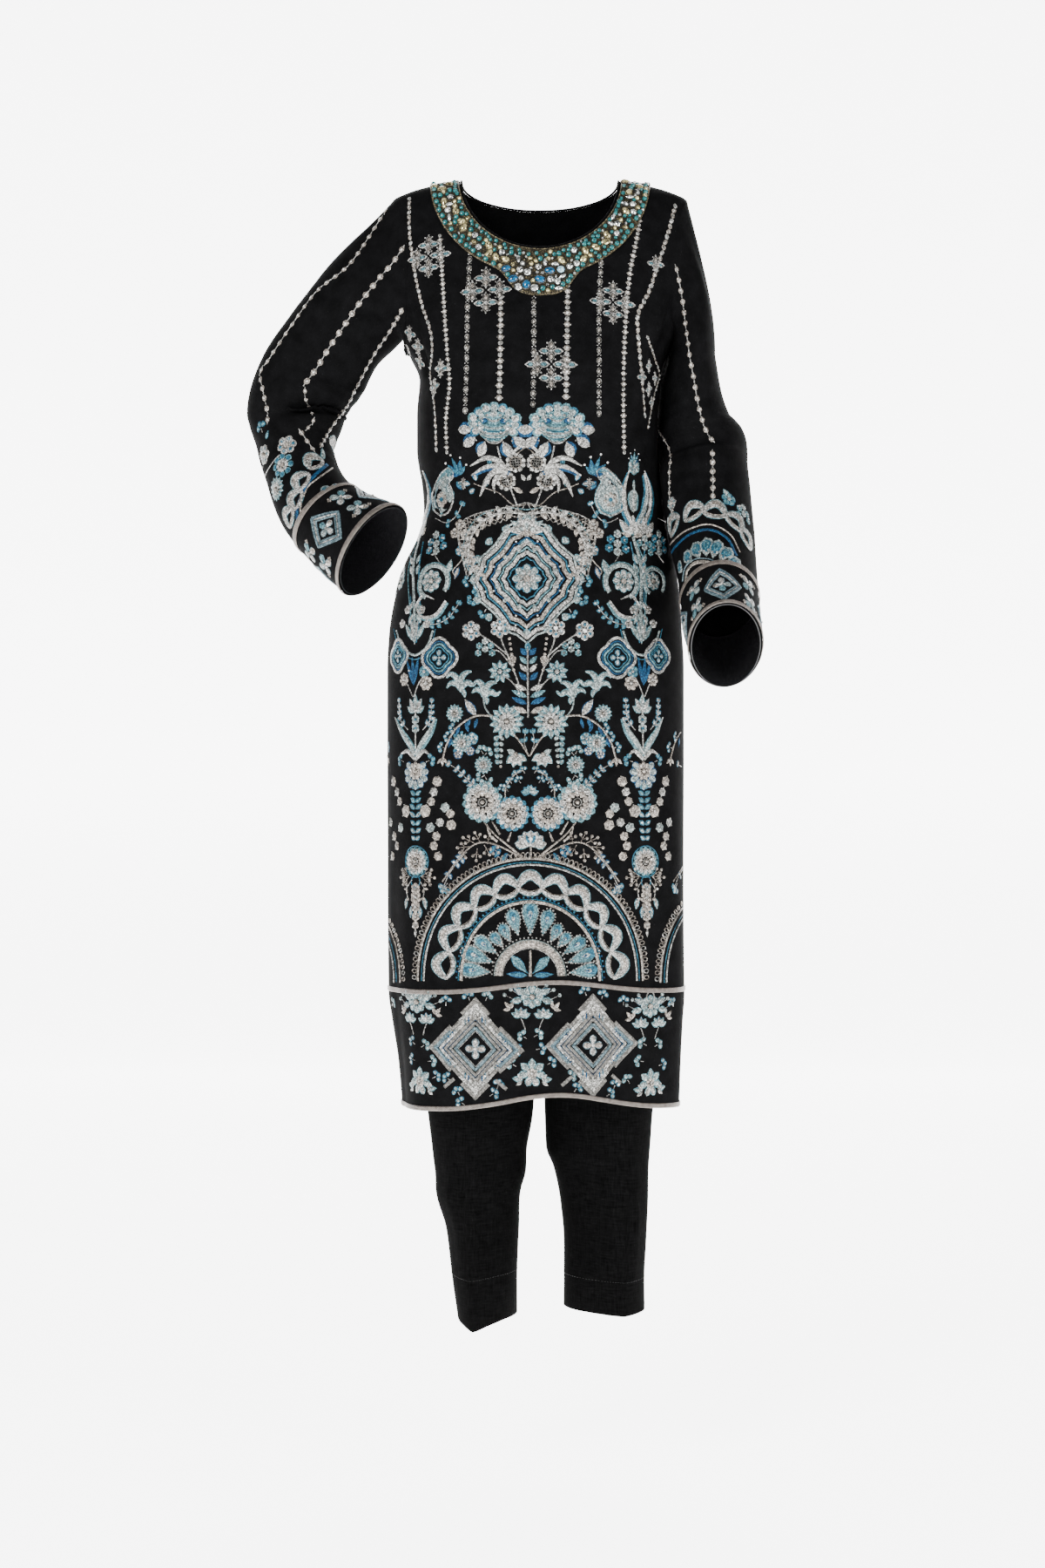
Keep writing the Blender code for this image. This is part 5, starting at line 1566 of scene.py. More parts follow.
def peony(pen):
    """A large flower seen from the side: ruffled petals in rows, two dark eyes, and leaves under it."""
    for x, y, turn, length in (
        (25, 3, 98, 19), (21, 12, 126, 20), (10, 17, 152, 21), (-25, 3, -98, 19), (-21, 12, -126, 20),
        (-10, 17, -156, 20),
    ):
        at = pen.moved(x, y, turn)
        pad(at.moved(1.2, 1.6), blade(length + 1.5, 16.5, 0.5, 0.8), "navy", 0.4)
        pad(at, blade(length, 12.5, 0.52, 0.75), "silver", 1.0)
        line(at, [(0, -4), (0, 1.5 - length)], 1.0, "champagne", 1.6, (1.0, 0.4))
    pad(pen, oval(36, 50, 16, 0, 0), "blue", 0.25, 0.2)
    pad(pen, oval(33, 47, 16, 0, -1), "aqua", 0.5, 0.15)
    for k in range(11):
        a = math.radians(-115 + 23 * k)
        reach = 26 + 1.5 * math.cos(5 * a)
        x, y = reach * math.sin(a), -2 - 19.5 * math.cos(a)
        pad(pen.moved(x, y), oval(12.6, 13.4, 9), "blue" if k % 3 == 0 else "aqua", 0.5)
        pad(pen.moved(x * 0.96, y * 0.96), oval(9.4, 10.4, 9), "pale" if k % 2 else "silver", 1.0)
    for k in range(9):
        a = math.radians(-108 + 27 * k)
        x, y = 16.5 * math.sin(a), -1.5 - 12.0 * math.cos(a)
        pad(pen.moved(x, y), oval(9.0, 10.0, 8), "aqua" if k % 2 else "pale", 1.2)
        pad(pen.moved(x, y + 0.4), oval(5.2, 6.4, 7), "silver", 1.5)
    for y, half, width, colour in (
        (-7.0, 9, 3.2, "silver"), (-2.4, 14, 2.4, "aqua"), (0.8, 17, 3.4, "pale"), (4.4, 20, 2.0, "blue"),
        (7.0, 21, 3.4, "silver"), (10.6, 19, 3.2, "pale"), (14.0, 15, 3.2, "aqua"), (17.0, 10, 3.0, "silver"),
    ):
        bow = [
            (-half, y - half * 0.26), (-half * 0.5, y + 0.8), (0, y + 1.8), (half * 0.5, y + 0.8),
            (half, y - half * 0.26),
        ]
        line(pen, bow, width, colour, 1.6, (0.7, 0.7), 0.3)
    for side in (-1, 1):
        pad(pen, oval(8.4, 8.8, 9, 11 * side, -6), "navy", 1.55)
        ring(pen.moved(11 * side, -6), 4.5, 1.5, "aqua", 1.9)
        pad(pen, oval(4.2, 3.4, 6, 11.8 * side, -6.4), "blue", 2.0)
        bead(pen, 12.6 * side, -5.6, 1.3, "sequin", height=2.2)
        for k in range(5):
            a = math.radians(150 + 24 * k)
            bead(pen, side * (25 * math.sin(a) + 8), 4 - 14 * math.cos(a), 1.1, "silver", height=1.8)
    knots(pen, [(-4, -12), (3, -13), (-20, -2), (20, -3), (-9, 6), (8, 7), (0, 12)], 1.2, "sequin")


def roundel(pen, radius):
    """A round seed head: scalloped petals about a small lattice."""
    petals(pen, 10, radius * 0.58, radius * 0.52, radius * 0.56, "silver", 0, 360, None, **ROUND, height=1.0)
    ring(pen, radius * 0.60, 1.7, "champagne", 1.2)
    for k in range(-1, 2):
        half = radius * (0.56 if k == 0 else 0.48)
        line(pen, [(k * 2.9 - 0.8, -half), (k * 2.9 + 0.8, half)], 0.9, "silver", 0.9)
        line(pen, [(-half, k * 2.9 + 0.8), (half, k * 2.9 - 0.8)], 0.9, "silver", 0.9)


def plume(side, points, width, colour="silver", barbs=6.0, shade=None):
    """A curved feather-like leaf: a tapering band with a ridge, and short barbs along its outer edge."""
    if shade:
        side.line([(x + 1.2, y + 1.4) for x, y in points], width * 1.25, shade, 0.3, (0.9, 0.3), 0.5)
    side.line(points, width, colour, 0.9, (0.7, 0.2), 0.5)
    side.line([(x - 0.4, y - 0.7) for x, y in points], width * 0.24, "sequin", 1.5, (1.0, 0.4))
    if barbs:
        path = through(points, 3.6)
        for (x0, y0), (x, y) in zip(path, path[1:]):
            along = math.degrees(math.atan2(x - x0, y0 - y))
            side.leaf(x, y, along - 42, barbs, 2.4, colour)


def paisley(side, x, y, size=1.0):
    """A curled teardrop with a flower in it and beads round it."""

    def motif(pen):
        outline = [
            (0, 17), (-9, 13), (-12, 4), (-9, -6), (-2, -14), (6, -19), (11, -16), (9, -11), (6, -9),
            (10, -2), (11, 6), (7, 14), (0, 17),
        ]
        pad(pen, [(a * 1.16, b * 1.12) for a, b in outline], "aqua", 0.35, 0.1)
        pad(pen, [(a * 0.98, b * 0.96) for a, b in outline], "pale", 0.7, 0.15)
        line(pen, outline, 2.4, "silver", 1.2)
        line(pen, [(a * 0.62, b * 0.66 + 1) for a, b in outline[:-3]], 1.3, "slate", 1.4)
        flower(pen.moved(0, 5), 7, 6.4, "champagne", "blue", height=1.5, **ROUND)
        knots(pen, [(-3, -4), (1, -8), (5, -12)], 1.5, "silver")

    side.draw(motif, x, y, size=size)


def spray_of_blades(pen, colour="blue"):
    """Five narrow leaves fanned from one foot, with beads at their tips."""
    for k, (turn, length) in enumerate(((-70, 15), (-38, 20), (-8, 23), (22, 19), (52, 14))):
        leaf(pen, 0, 0, turn, length, 5.6, "navy" if k == 0 else colour, "navy" if k % 2 else None)
        bead(pen, *away(turn, length + 2), 1.5, "sequin")


def floret_bunch(pen, count=7, colour="blue"):
    """A rounded bunch of little flowers."""
    places = [(0, 0), (-9, -5), (9, -5), (0, -12), (-11, 6), (11, 6), (0, 10)][:count]
    for k, (x, y) in enumerate(places):
        flower(pen.moved(x, y), 6, 5.6, "pale" if k % 3 == 0 else colour, "silver")


def front_middle(ground):
    """From the peonies at the waist down to the flowers under the centre medallion."""
    for side in all_sides(ground):
        side.draw(peony, 567, 489)
        side.line([(604, 612), (598, 592), (588, 565), (577, 535), (571, 512)], 2.0, "silver")
        side.leaf(583, 519, -30, 9, 5, "silver")
        side.leaf(583, 519, 35, 8, 4.6, "silver")
        side.draw(roundel, 592, 531, 10.5)
        side.draw(roundel, 581, 552, 10.5)
        side.line([(604, 508), (596, 513), (588, 521), (584, 524)], 5.0, "silver", 1.0, (1.0, 0.5))
        side.line([(604, 513), (597, 518), (592, 523)], 1.4, "champagne", 1.4)
        side.leaf(601, 566, -62, 14, 6, "champagne")
        side.leaf(603, 552, -30, 9, 5, "silver")
        for points, width in (
            (((583, 541), (572, 529), (557, 526), (540, 535)), 6.4),
            (((583, 543), (571, 535), (556, 537), (541, 546)), 6.0),
            (((582, 545), (569, 541), (559, 551), (551, 570)), 6.6),
            (((581, 547), (572, 546), (567, 555), (568, 566)), 5.4),
            (((578, 540), (570, 538), (564, 544), (561, 556)), 3.6),
        ):
            plume(side, points, width, "silver", 0, "navy" if width == 6.0 else None)
        side.line([(604, 579), (590, 580), (573, 566), (556, 560), (544, 555)], 1.4, "champagne")
        for x, y, turn in ((540, 556, -80), (547, 552, -20), (545, 561, -130)):
            side.leaf(x, y, turn, 8, 5, "silver", "blue", **ROUND)
        for x, y in ((562, 530), (558, 555)):
            side.draw(eye, x, y, 0, 0, 6, 5, "blue", 0, "aqua")
        side.draw(spray_of_blades, 527, 546, "blue", turn=-12)
        side.leaf(524, 552, 150, 12, 6, "blue", "navy")
        side.draw(cross_flower, 532, 555, 0.5)
        paisley(side, 508, 566, 1.5)
        side.fern([(500, 595), (513, 600), (524, 592), (530, 580)], 7, 7, 4, "aqua", "blue")
        side.leaf(482, 594, -4, 44, 14, "pale", "aqua")
        side.leaf(482, 590, -4, 30, 6.5, "silver", height=1.3)
        plume(side, [(484, 602), (491, 584), (492, 562), (486, 541)], 7.0, "silver", 0, "blue")
        plume(side, [(478, 602), (469, 584), (466, 564), (469, 544)], 7.0, "pale", 0, "blue")
        side.draw(flower, 480, 536, 6, 9, "pale", "silver", "aqua")
        side.draw(spray_of_blades, 480, 532, "aqua", turn=4, size=0.6)
        side.draw(petals, 484, 616, 3, 1, 25, 10.5, "silver", 0, 84, "aqua", turn=0)
        side.draw(petals, 484, 616, 2, 1, 13, 6, "champagne", 0, 150, None, turn=0)
        side.draw(floret_bunch, 501, 624, 7, "blue", size=0.92)
        side.draw(floret_bunch, 470, 628, 5, "aqua", size=0.8)
        side.fern([(505, 646), (499, 636), (500, 626)], 6, 6, 3.4, "silver")
        side.line([(483, 616), (475, 650), (476, 700), (477, 735)], 3.8, "pale", 1.0)
        side.line([(486, 622), (481, 655), (482, 700), (478, 738)], 2.0, "blue")
        side.line([(479, 622), (469, 655), (471, 700), (476, 738)], 2.0, "aqua")
        for y, turn in ((648, 28), (660, 24), (690, 150), (704, 152)):
            for flip in (-1, 1):
                side.leaf(476 + 2 * flip, y, turn * flip, 15, 6.4, "pale" if flip > 0 else "silver", "aqua")
        medallion(side)
        if not side.folded:
            scroll_column(side)
            quatrefoil_group(side)


def scroll_column(side):
    """Two scrolls with rosettes in them on either side of a stem, over a pointed cup."""
    for x, hand, size in ((497, 1, 1.0), (459, -1, 0.8)):
        side.draw(
            ring, x, 668, 19 * size, 5.6 * size, "pale", 0.9, 1.0, 2.5,
            (-150, 130) if hand > 0 else (-130, 150),
        )
        side.draw(
            ring, x, 668, 22.5 * size, 1.5, "aqua", 0.5, 1.0, 2.5, (-140, 120) if hand > 0 else (-120, 140),
        )
        side.draw(flower, x - 2 * hand, 667, 8, 13.5 * size, "silver", "champagne", "aqua")
        side.draw(ring, x - 2 * hand, 667, 6.4 * size, 1.4, "pale", 1.3)
    side.leaf(513, 660, 18, 19, 8, "pale", "aqua")
    plume(side, [(512, 690), (500, 706), (484, 708), (477, 694)], 5.0, "silver", 0, "aqua")
    plume(side, [(478, 696), (486, 684), (499, 688)], 3.6, "silver", 0)
    side.fern([(486, 716), (502, 716), (516, 708), (526, 694)], 7.5, 7.5, 4.2, "aqua", "blue")
    for turn in (-34, -12, 12, 34):
        side.leaf(476, 738, turn, 30, 6.5, "pale" if abs(turn) > 20 else "silver", "aqua")
    side.leaf(476, 742, 0, 40, 6, "silver")
    side.line([(455, 724), (462, 742), (476, 752), (490, 742), (497, 724)], 3.0, "pale", 0.9)
    side.line([(452, 722), (459, 746), (476, 757), (493, 746), (500, 722)], 1.5, "blue", 0.5)
    for x, y in ((462, 716), (490, 716), (468, 700), (484, 700)):
        side.draw(flower, x, y, 5, 5.4, "silver", "champagne")


def frames(pen, rows, reach, wide=1.0, tall=1.0):
    """Closed frames one in another, as (radius, width, colour, height). Reach shapes them by the turn."""
    turns = [2 * math.pi * k / 32 for k in range(33)]
    for radius, width, colour, height in rows:
        places = [
            (radius * reach(a) * wide * math.sin(a), -radius * reach(a) * tall * math.cos(a)) for a in turns
        ]
        cord(pen.ground, [pen.spot(*p) for p in places], width, colour, height)


def diamond(pen, radius, width, colour, height=0.8, tall=1.0):
    """A square frame standing on its corner."""
    corners = [(0, -radius * tall), (radius, 0), (0, radius * tall), (-radius, 0), (0, -radius * tall)]
    spots = []
    for (x0, y0), (x1, y1) in zip(corners, corners[1:]):
        count = max(int(radius / 3.0), 2)
        spots += [(x0 + (x1 - x0) * k / count, y0 + (y1 - y0) * k / count) for k in range(count)]
    cord(pen.ground, [pen.spot(*s) for s in [*spots, corners[0]]], width, colour, height)


def net(side, *feet):
    """A band of crossed threads between an inner and an outer edge, given as pairs of feet along it."""
    inner, outer = through(feet[::2], 5.5), through(feet[1::2], 5.5)
    count = 17
    a, b = ([edge[round(i * (len(edge) - 1) / count)] for i in range(count + 1)] for edge in (inner, outer))
    for i in range(count - 1):
        side.line([a[i], b[i + 2]], 1.2, "champagne", 0.7, step=3.0)
        side.line([b[i], a[i + 2]], 1.2, "silver", 0.8, step=3.0)
    side.line(b, 1.6, "silver", 0.9)


def medallion(side):
    """Half of the centre piece: a garland of paired leaves over a pointed round medallion of petals."""
    side.line([(605, 590), (580, 588), (556, 597), (541, 616), (538, 640), (549, 660)], 3.4, "silver", 0.9)
    side.line([(605, 585), (577, 583), (550, 593), (535, 615), (532, 642), (545, 664)], 1.5, "aqua", 0.5)
    net(side, (605, 590), (604, 577), (541, 616), (530, 600), (548, 660), (536, 664))
    path = through([(600, 590), (577, 589), (556, 598), (542, 616), (539, 640), (549, 659)], 8.0)
    for (x0, y0), (x, y) in zip(path, path[1:]):
        along = math.degrees(math.atan2(x - x0, y0 - y))
        side.leaf(x, y, along + 46, 11.5, 6.4, "silver")
        side.leaf(x, y, along - 46, 10.5, 6.0, "champagne")
    for x, y, turn in ((528, 602, -30), (534, 613, -55), (522, 612, -60), (529, 632, -80), (541, 644, -110)):
        side.draw(flower, x, y, 5, 6.2, "champagne", "silver", "blue" if y > 620 else None)
    side.line([(541, 598), (530, 606), (527, 620), (531, 640), (520, 655), (524, 662)], 1.6, "champagne")
    side.leaf(527, 650, 200, 16, 5, "champagne", "navy")
    for x, y, turn in ((538, 667, -90), (543, 688, -125), (556, 703, -150), (549, 678, -100)):
        side.draw(sprig, x, y, 0.95, "aqua", "blue", turn=turn)
    if not side.left or side.folded:
        return
    centre, wide, tall = side.pen(605, 664), 0.93, 1.05
    rows = (
        (60, 3.0, "pale", 0.6), (55, 5.0, "silver", 0.9), (49.5, 2.4, "blue", 0.6),
        (45, 5.0, "champagne", 0.9), (39, 2.2, "navy", 0.5), (34.5, 5.0, "silver", 1.0),
        (29.5, 2.4, "aqua", 0.7), (25, 4.6, "silver", 1.0), (20, 2.0, "blue", 0.6),
    )
    frames(centre, rows, lambda a: 1 + 0.13 * math.cos(4 * a) ** 3 + 0.025 * math.cos(16 * a), wide, tall)
    petals(centre, 16, 56, 9, 9, "pale", 0, 360, "aqua", **ROUND)
    flower(centre, 8, 17, "pale", "champagne", "blue")
    petals(centre, 8, 3, 8.5, 4.6, "silver", 22.5, 360, None, height=1.4)
    petals(centre, 12, 29.0, 8.4, 5.6, "pale", 15, 360, None, **ROUND, height=1.3)
    for radius, count in ((41.8, 20), (52, 24)):
        for k in range(count):
            a = 2 * math.pi * k / count
            bead(centre, radius * wide * math.sin(a), -radius * tall * math.cos(a), 1.3, "sequin", height=1.4)
    crown = side.pen(605, 612)
    for turn in (-78, -52, -26, 0, 26, 52, 78):
        leaf(crown, 0, 0, turn, 24, 8.5, "silver" if turn % 52 else "pale", "blue" if turn % 52 else "aqua")
    bead(crown, 0, 1, 4.0, "champagne")
    for turn in (-40, 40):
        leaf(crown, 0, 6, 180 + turn, 16, 7, "aqua", "blue")


def quatrefoil(pen, size=1.0):
    """Nested four-lobed frames round a cross of petals."""
    at = pen.moved(0, 0, 0, size)
    rows = (
        (21, 3.6, "silver", 0.9), (17.4, 2.0, "navy", 0.5), (14.6, 2.6, "aqua", 0.7),
        (11.4, 1.8, "blue", 0.5),
    )
    frames(at, rows, lambda a: 0.86 + 0.20 * abs(math.cos(2 * a)) ** 1.5)
    petals(at, 4, 1.4, 7.6, 5.6, "pale", 0, 360, "blue", **ROUND)
    bead(at, 0, 0, 1.6, "silver")


def quatrefoil_group(side):
    """Quatrefoils, five-petalled flowers on stalks, and the leaf and daisies under them."""
    side.draw(quatrefoil, 504, 755)
    side.draw(quatrefoil, 457, 753, 0.85)
    side.draw(flower, 487, 771, 6, 7, "aqua", "silver", "blue")
    side.draw(flower, 489, 784, 7, 9, "champagne", "silver")
    side.draw(flower, 464, 780, 7, 8, "champagne", "silver")
    for turn in (-20, -4, 12):
        side.leaf(475, 788, turn, 36, 5.6, "navy")
    # Stalks, and the flowers on them.
    for width, *points in (
        (1.6, (475, 800), (481, 784), (490, 772)),
        (1.6, (474, 800), (468, 786), (462, 774)),
        (1.9, (600, 800), (592, 775), (583, 752), (577, 738), (575, 728)),
        (1.8, (583, 752), (566, 738), (551, 728)),
        (1.5, (590, 768), (575, 749), (565, 746)),
        (1.6, (600, 800), (588, 783), (577, 775)),
    ):
        side.line(points, width, "silver")
    for x, y in ((541, 724), (574, 721)):
        side.draw(flower, x, y, 6, 11.5, "silver", "sequin")
        side.draw(petals, x, y, 6, 3.6, 6.2, 5.0, "blue", 0, 360, None, **ROUND, height=1.1)
        side.draw(bead, x, y, 0, 0, 2.4, "sequin")
    side.draw(floret_bunch, 557, 745, 6, "aqua", size=0.72)
    side.draw(petals, 574, 771, 9, 3, 10, 4.4, "pale", 0, 360, "aqua")
    side.draw(bead, 574, 771, 0, 0, 3, "silver")
    for k in range(7):
        side.draw(bead, 585 + k * 0.8, 733 + 6 * k, 0, 0, 2.0, "champagne")
    side.draw(flower, 588, 757, 5, 5, "champagne", "silver")
    # The centre leaf: chevrons on a stalk.
    for y, length, width, colour in (
        (752, 12, 7, "navy"), (762, 13, 6, "aqua"), (771, 13, 6, "silver"), (781, 14, 7, "navy"),
        (792, 18, 6, "silver"), (800, 20, 7, "aqua"), (808, 20, 7, "navy"), (818, 18, 7, "champagne"),
    ):
        side.draw(leaf, 606, y, -0.6, 0, 0, length, width, colour, None, turn=-44 if y < 785 else -66)
    if side.left:
        side.line([(605.8, 742), (606, 780), (606.5, 824)], 2.2, "silver", 1.1)
        side.leaf(606, 748, 0, 12, 6, "blue", "aqua")


def lily(pen, size=1.0):
    """A lily seen from the side: four curling petals."""
    at = pen.moved(0, 0, 0, size)
    for points, width in (
        ([(0, 6), (-5, 0), (-13, 0), (-17, 6)], 5.5), ([(0, 6), (-6, -7), (-14, -11), (-19, -6)], 6.5),
        ([(0, 6), (0, -8), (5, -15), (11, -17)], 6.5), ([(0, 6), (7, -3), (15, -2), (19, -8)], 6.0),
        ([(0, 6), (5, 8), (7, 14)], 4.5),
    ):
        line(at, points, width + 1.6, "aqua", 0.35, (0.7, 0.3), 0.5)
        line(at, points, width, "pale", 0.9, (0.7, 0.2), 0.5)


def daisy(pen, radius):
    petals(pen, 14, radius * 0.45, radius * 0.62, radius * 0.30, "pale", 0, 360, "aqua")
    petals(pen, 11, radius * 0.15, radius * 0.50, radius * 0.28, "silver", 12, 360, None, height=1.3)
    bead(pen, 0, 0, radius * 0.16, "champagne", height=1.6)


def hexagon(pen, radius, colour="champagne"):
    """A six-sided patch quilted like a cube."""
    corners = [away(60 * k, radius) for k in range(6)]
    pad(pen, corners, colour, 0.8, 0.25)
    for k in (0, 2, 4):
        line(pen, [(0, 0), corners[k]], 0.9, "silver", 1.3)


def side_column(side):
    """The column at the side of the skirt: a bud, wings, a full flower and patches, down to pendants."""
    axis = COLUMN_AXIS
    side.line([(axis, 800), (axis, 860)], 2.2, "silver", 1.0)
    for turn, length, colour in (
        (-62, 15, "pale"), (-30, 19, "silver"), (0, 22, "pale"), (30, 19, "silver"), (62, 15, "pale"),
    ):
        side.leaf(axis, 818, turn, length, 7.5, colour, "aqua")
    for x in (-17, 17):
        side.fern(
            [(axis + x * 0.5, 838), (axis + x, 826), (axis + x * 1.1, 806)], 6, 7, 4.2, "silver", "blue", 40,
        )
    for y in (826, 836):
        side.draw(flower, axis, y, 6, 6, "pale", "blue")
    for flip in (-1, 1):
        plume(
            side, [(axis, 866), (axis + 8 * flip, 852), (axis + 17 * flip, 838), (axis + 23 * flip, 824)],
            7.0, "pale", 0, "aqua",
        )
        plume(side, [(axis, 872), (axis + 9 * flip, 862), (axis + 16 * flip, 866)], 6.0, "silver", 0)
        side.draw(sprig, axis + 16 * flip, 873, 1.0, "aqua", "blue", turn=70 * flip)
    side.draw(petals, axis, 888, 9, 6, 13, 8.5, "pale", 180, 260, "navy", **ROUND)
    side.draw(flower, axis, 885, 9, 11, "champagne", "champagne")
    for y, reach in ((905, 4), (913, 5), (921, 5), (929, 6), (938, 6), (947, 5), (956, 5), (964, 4)):
        for flip in (-1, 1):
            side.leaf(axis, y, 58 * flip, reach * 1.9, 4.4, "aqua" if y % 2 else "pale", "blue")
    for x, y, radius, colour in (
        (25, 897, 6.5, "champagne"), (21, 909, 5.5, "silver"), (18, 920, 5.5, "champagne"),
        (11, 931, 8.0, "champagne"), (34, 927, 6.0, "pale"), (40, 934, 5.5, "champagne"),
        (41, 947, 6.5, "champagne"), (28, 944, 5.5, "silver"), (17, 950, 6.0, "pale"),
        (24, 960, 5.5, "champagne"), (21, 971, 5.5, "champagne"), (26, 983, 5.5, "champagne"),
    ):
        for flip in (-1, 1):
            if x < 30 or flip > 0:
                side.draw(hexagon, axis + x * flip, y, radius, colour, turn=17 * flip)
    side.draw(peony_disc, axis, 989, 16)
    side.draw(ring, axis, 989, 17.5, 1.6, "blue", 0.5)
    for flip in (-1, 1):
        for turn, length in ((60, 13), (95, 15), (130, 13)):
            berry_twig(side, axis + 7 * flip, 1006, turn * flip, length)
        side.fern(
            [(axis + 4 * flip, 1010), (axis + 10 * flip, 1020), (axis + 9 * flip, 1030)], 6, 6, 3.6,
            "champagne",
        )
        side.leaf(axis + 10 * flip, 1030, 170 * flip, 14, 5, "silver", "aqua")
        side.leaf(axis + 5 * flip, 1040, 176 * flip, 14, 5, "pale", "blue")
    side.draw(ring, axis, 1012, 6.5, 1.6, "blue", 0.8)
    for y, size in ((1020, 7), (1030, 8), (1041, 7), (1052, 6), (1062, 5)):
        side.draw(flower, axis, y, 6, size, "champagne", "silver")
    side.leaf(axis, 1066, 180, 10, 4, "silver")


def berry_twig(side, x, y, turn, length):
    """A straight twig with a berry at its tip and one on each side."""

    def motif(pen):
        line(pen, [(0, 0), (0, -length)], 1.1, "champagne")
        for a, b in ((0, -length - 1.5), (-4.2, -length * 0.72), (4.2, -length * 0.72)):
            bead(pen, a, b, 2.1, "champagne")
            bead(pen, a, b, 0.9, "silver", height=2.4)
        line(pen, [(-4.0, -length * 0.72), (0, -length * 0.45), (4.0, -length * 0.72)], 0.9, "champagne")

    side.draw(motif, x, y, turn=turn)


def front_lower(ground):
    """Daisies, arching sprays, hanging florets, peony discs and berry sprays between the side columns."""
    for side in all_sides(ground):
        side.draw(lily, 529, 786, 0.95, turn=8)
        side.draw(lily, 557, 795, 0.85, turn=18)
        side.line([(555, 798), (557, 812), (566, 824), (575, 828)], 2.0, "pale")
        side.leaf(547, 822, -35, 24, 10, "silver", "navy")
        side.draw(daisy, 582, 828, 18.5)
        side.line([(566, 822), (546, 822), (526, 834), (514, 852), (508, 872)], 2.4, "champagne", 0.9)
        for x, y, turn in (
            (540, 824, 200), (528, 833, 205), (519, 846, 200), (548, 824, 195), (534, 829, 160),
        ):
            side.leaf(x, y, turn, 13, 4.6, "navy")
        for x, y in ((515, 846), (508, 858), (521, 836)):
            side.draw(sprig, x, y, 0.85, "pale", "blue", turn=-80)
        side.draw(petals, 508, 870, 3, 0, 10, 4.2, "champagne", 180, 90)
        side.draw(daisy, 522, 819, 9.5)
        side.draw(daisy, 530, 853, 10.5)
        side.draw(petals, 530, 853, 8, 9, 5, 4, "blue", 0, 360, None, **ROUND, height=0.5)
        side.draw(flower, 542, 848, 5, 7, "pale", "silver", "blue")
        side.draw(flower, 540, 862, 5, 5, "champagne", "silver", "navy")
        side.draw(flower, 526, 866, 5, 5, "champagne", "silver", "navy")
        for k, y in enumerate((845, 852, 859, 866, 873)):
            for flip, shade in ((-1, "aqua"), (1, None)):
                side.leaf(573, y, 180 - 52 * flip, 7.0 - k * 0.6, 4.6, "pale", shade, **ROUND)
        side.draw(bead, 575, 880, 0, 0, 1.8, "champagne")
        side.line([(607.6, 868), (598, 853), (590, 843)], 2.0, "champagne")
        side.fern([(605, 862), (602, 852), (603, 842)], 6, 7.5, 3.6, "aqua", "blue", 42)
        for turn in (-60, -25, 10, 45):
            side.leaf(592, 866, 180 + turn, 15, 8.5, "silver", "aqua")
        side.leaf(592, 866, -60, 11, 7, "pale", height=1.2)
        side.draw(bead, 592, 866, 0, 0, 3, "champagne", height=1.6)
        side.draw(daisy, 555, 878, 9.5)
        for y, turn in ((862, -30), (864, 40), (892, -120), (895, 150), (903, 180)):
            side.draw(sprig, 556 + (3 if turn > 0 else -3), y, 0.9, "pale", "aqua", turn=turn)
        side.fern([(548, 906), (538, 896), (526, 884), (517, 878)], 7, 8, 4.6, "champagne", "blue")
        side.line([(580, 917), (581, 904), (590, 890), (601, 884)], 1.7, "champagne")
        for x, y in ((601, 885), (593, 889), (586, 897), (582, 906), (596, 896), (577, 905)):
            side.draw(sprig, x, y, 0.72, "pale", "blue", turn=-30)
        side.draw(petals, 608.5, 912, 3, 1, 10, 5.4, "aqua" if side.left else "pale", -40, 60, "blue")
        side.draw(peony_disc, 554, 921, 22.5, "aqua")
        side.draw(peony_disc, 588, 934, 19.5, "blue")
        for points in (
            [(556, 944), (568, 958), (585, 972), (600, 984)], [(565, 943), (574, 958)],
            [(587, 955), (583, 966)], [(559, 946), (562, 958), (571, 966)],
        ):
            side.line(points, 3.0, "champagne", 0.9, (0.5, 1.0))
        side.line([(600, 985), (570, 970), (548, 968), (528, 984), (508, 1012)], 2.0, "champagne", 0.9)
        for x, y, turn, length in (
            (552, 968, -30, 12), (545, 968, -65, 13), (539, 972, -95, 12), (560, 969, 10, 11),
            (556, 970, 150, 11), (548, 974, 185, 12), (563, 972, 125, 10), (536, 976, -140, 10),
        ):
            berry_twig(side, x, y, turn, length)
        for x, y, turn in ((575, 974, 215), (583, 979, 215), (570, 970, 220)):
            side.leaf(x, y, turn, 13, 5, "blue", "navy")
        side.fern([(536, 978), (525, 990), (516, 1003), (510, 1016)], 8, 8.5, 4.8, "pale", "navy", 55)
        side.draw(sprig, 511, 1018, 1.1, "pale", "blue", turn=215)
        if not side.folded:
            side_column(side)
    side = Side(ground, 1)
    lotus = side.pen(609.5, 972)
    for k, turn in enumerate((-78, -50, -24, 0, 24, 50, 78)):
        leaf(lotus, 0, 0, turn, 19, 11, "silver", "blue" if k % 2 else "aqua", widest=0.6)
    for turn in (-26, 0, 26):
        leaf(lotus, 0, -2, turn, 14, 6.6, "blue" if turn else "silver", None, height=1.4)
    bead(lotus, 0, -9, 3, "sequin", height=1.4)
    side.line([(609.5, 972), (609.5, 986)], 2.2, "champagne")


# The arches at the foot of the skirt: half the width of each, and the way from one to the next.
ARCH_HALF_WIDTH = 131
ARCH_PITCH = 279


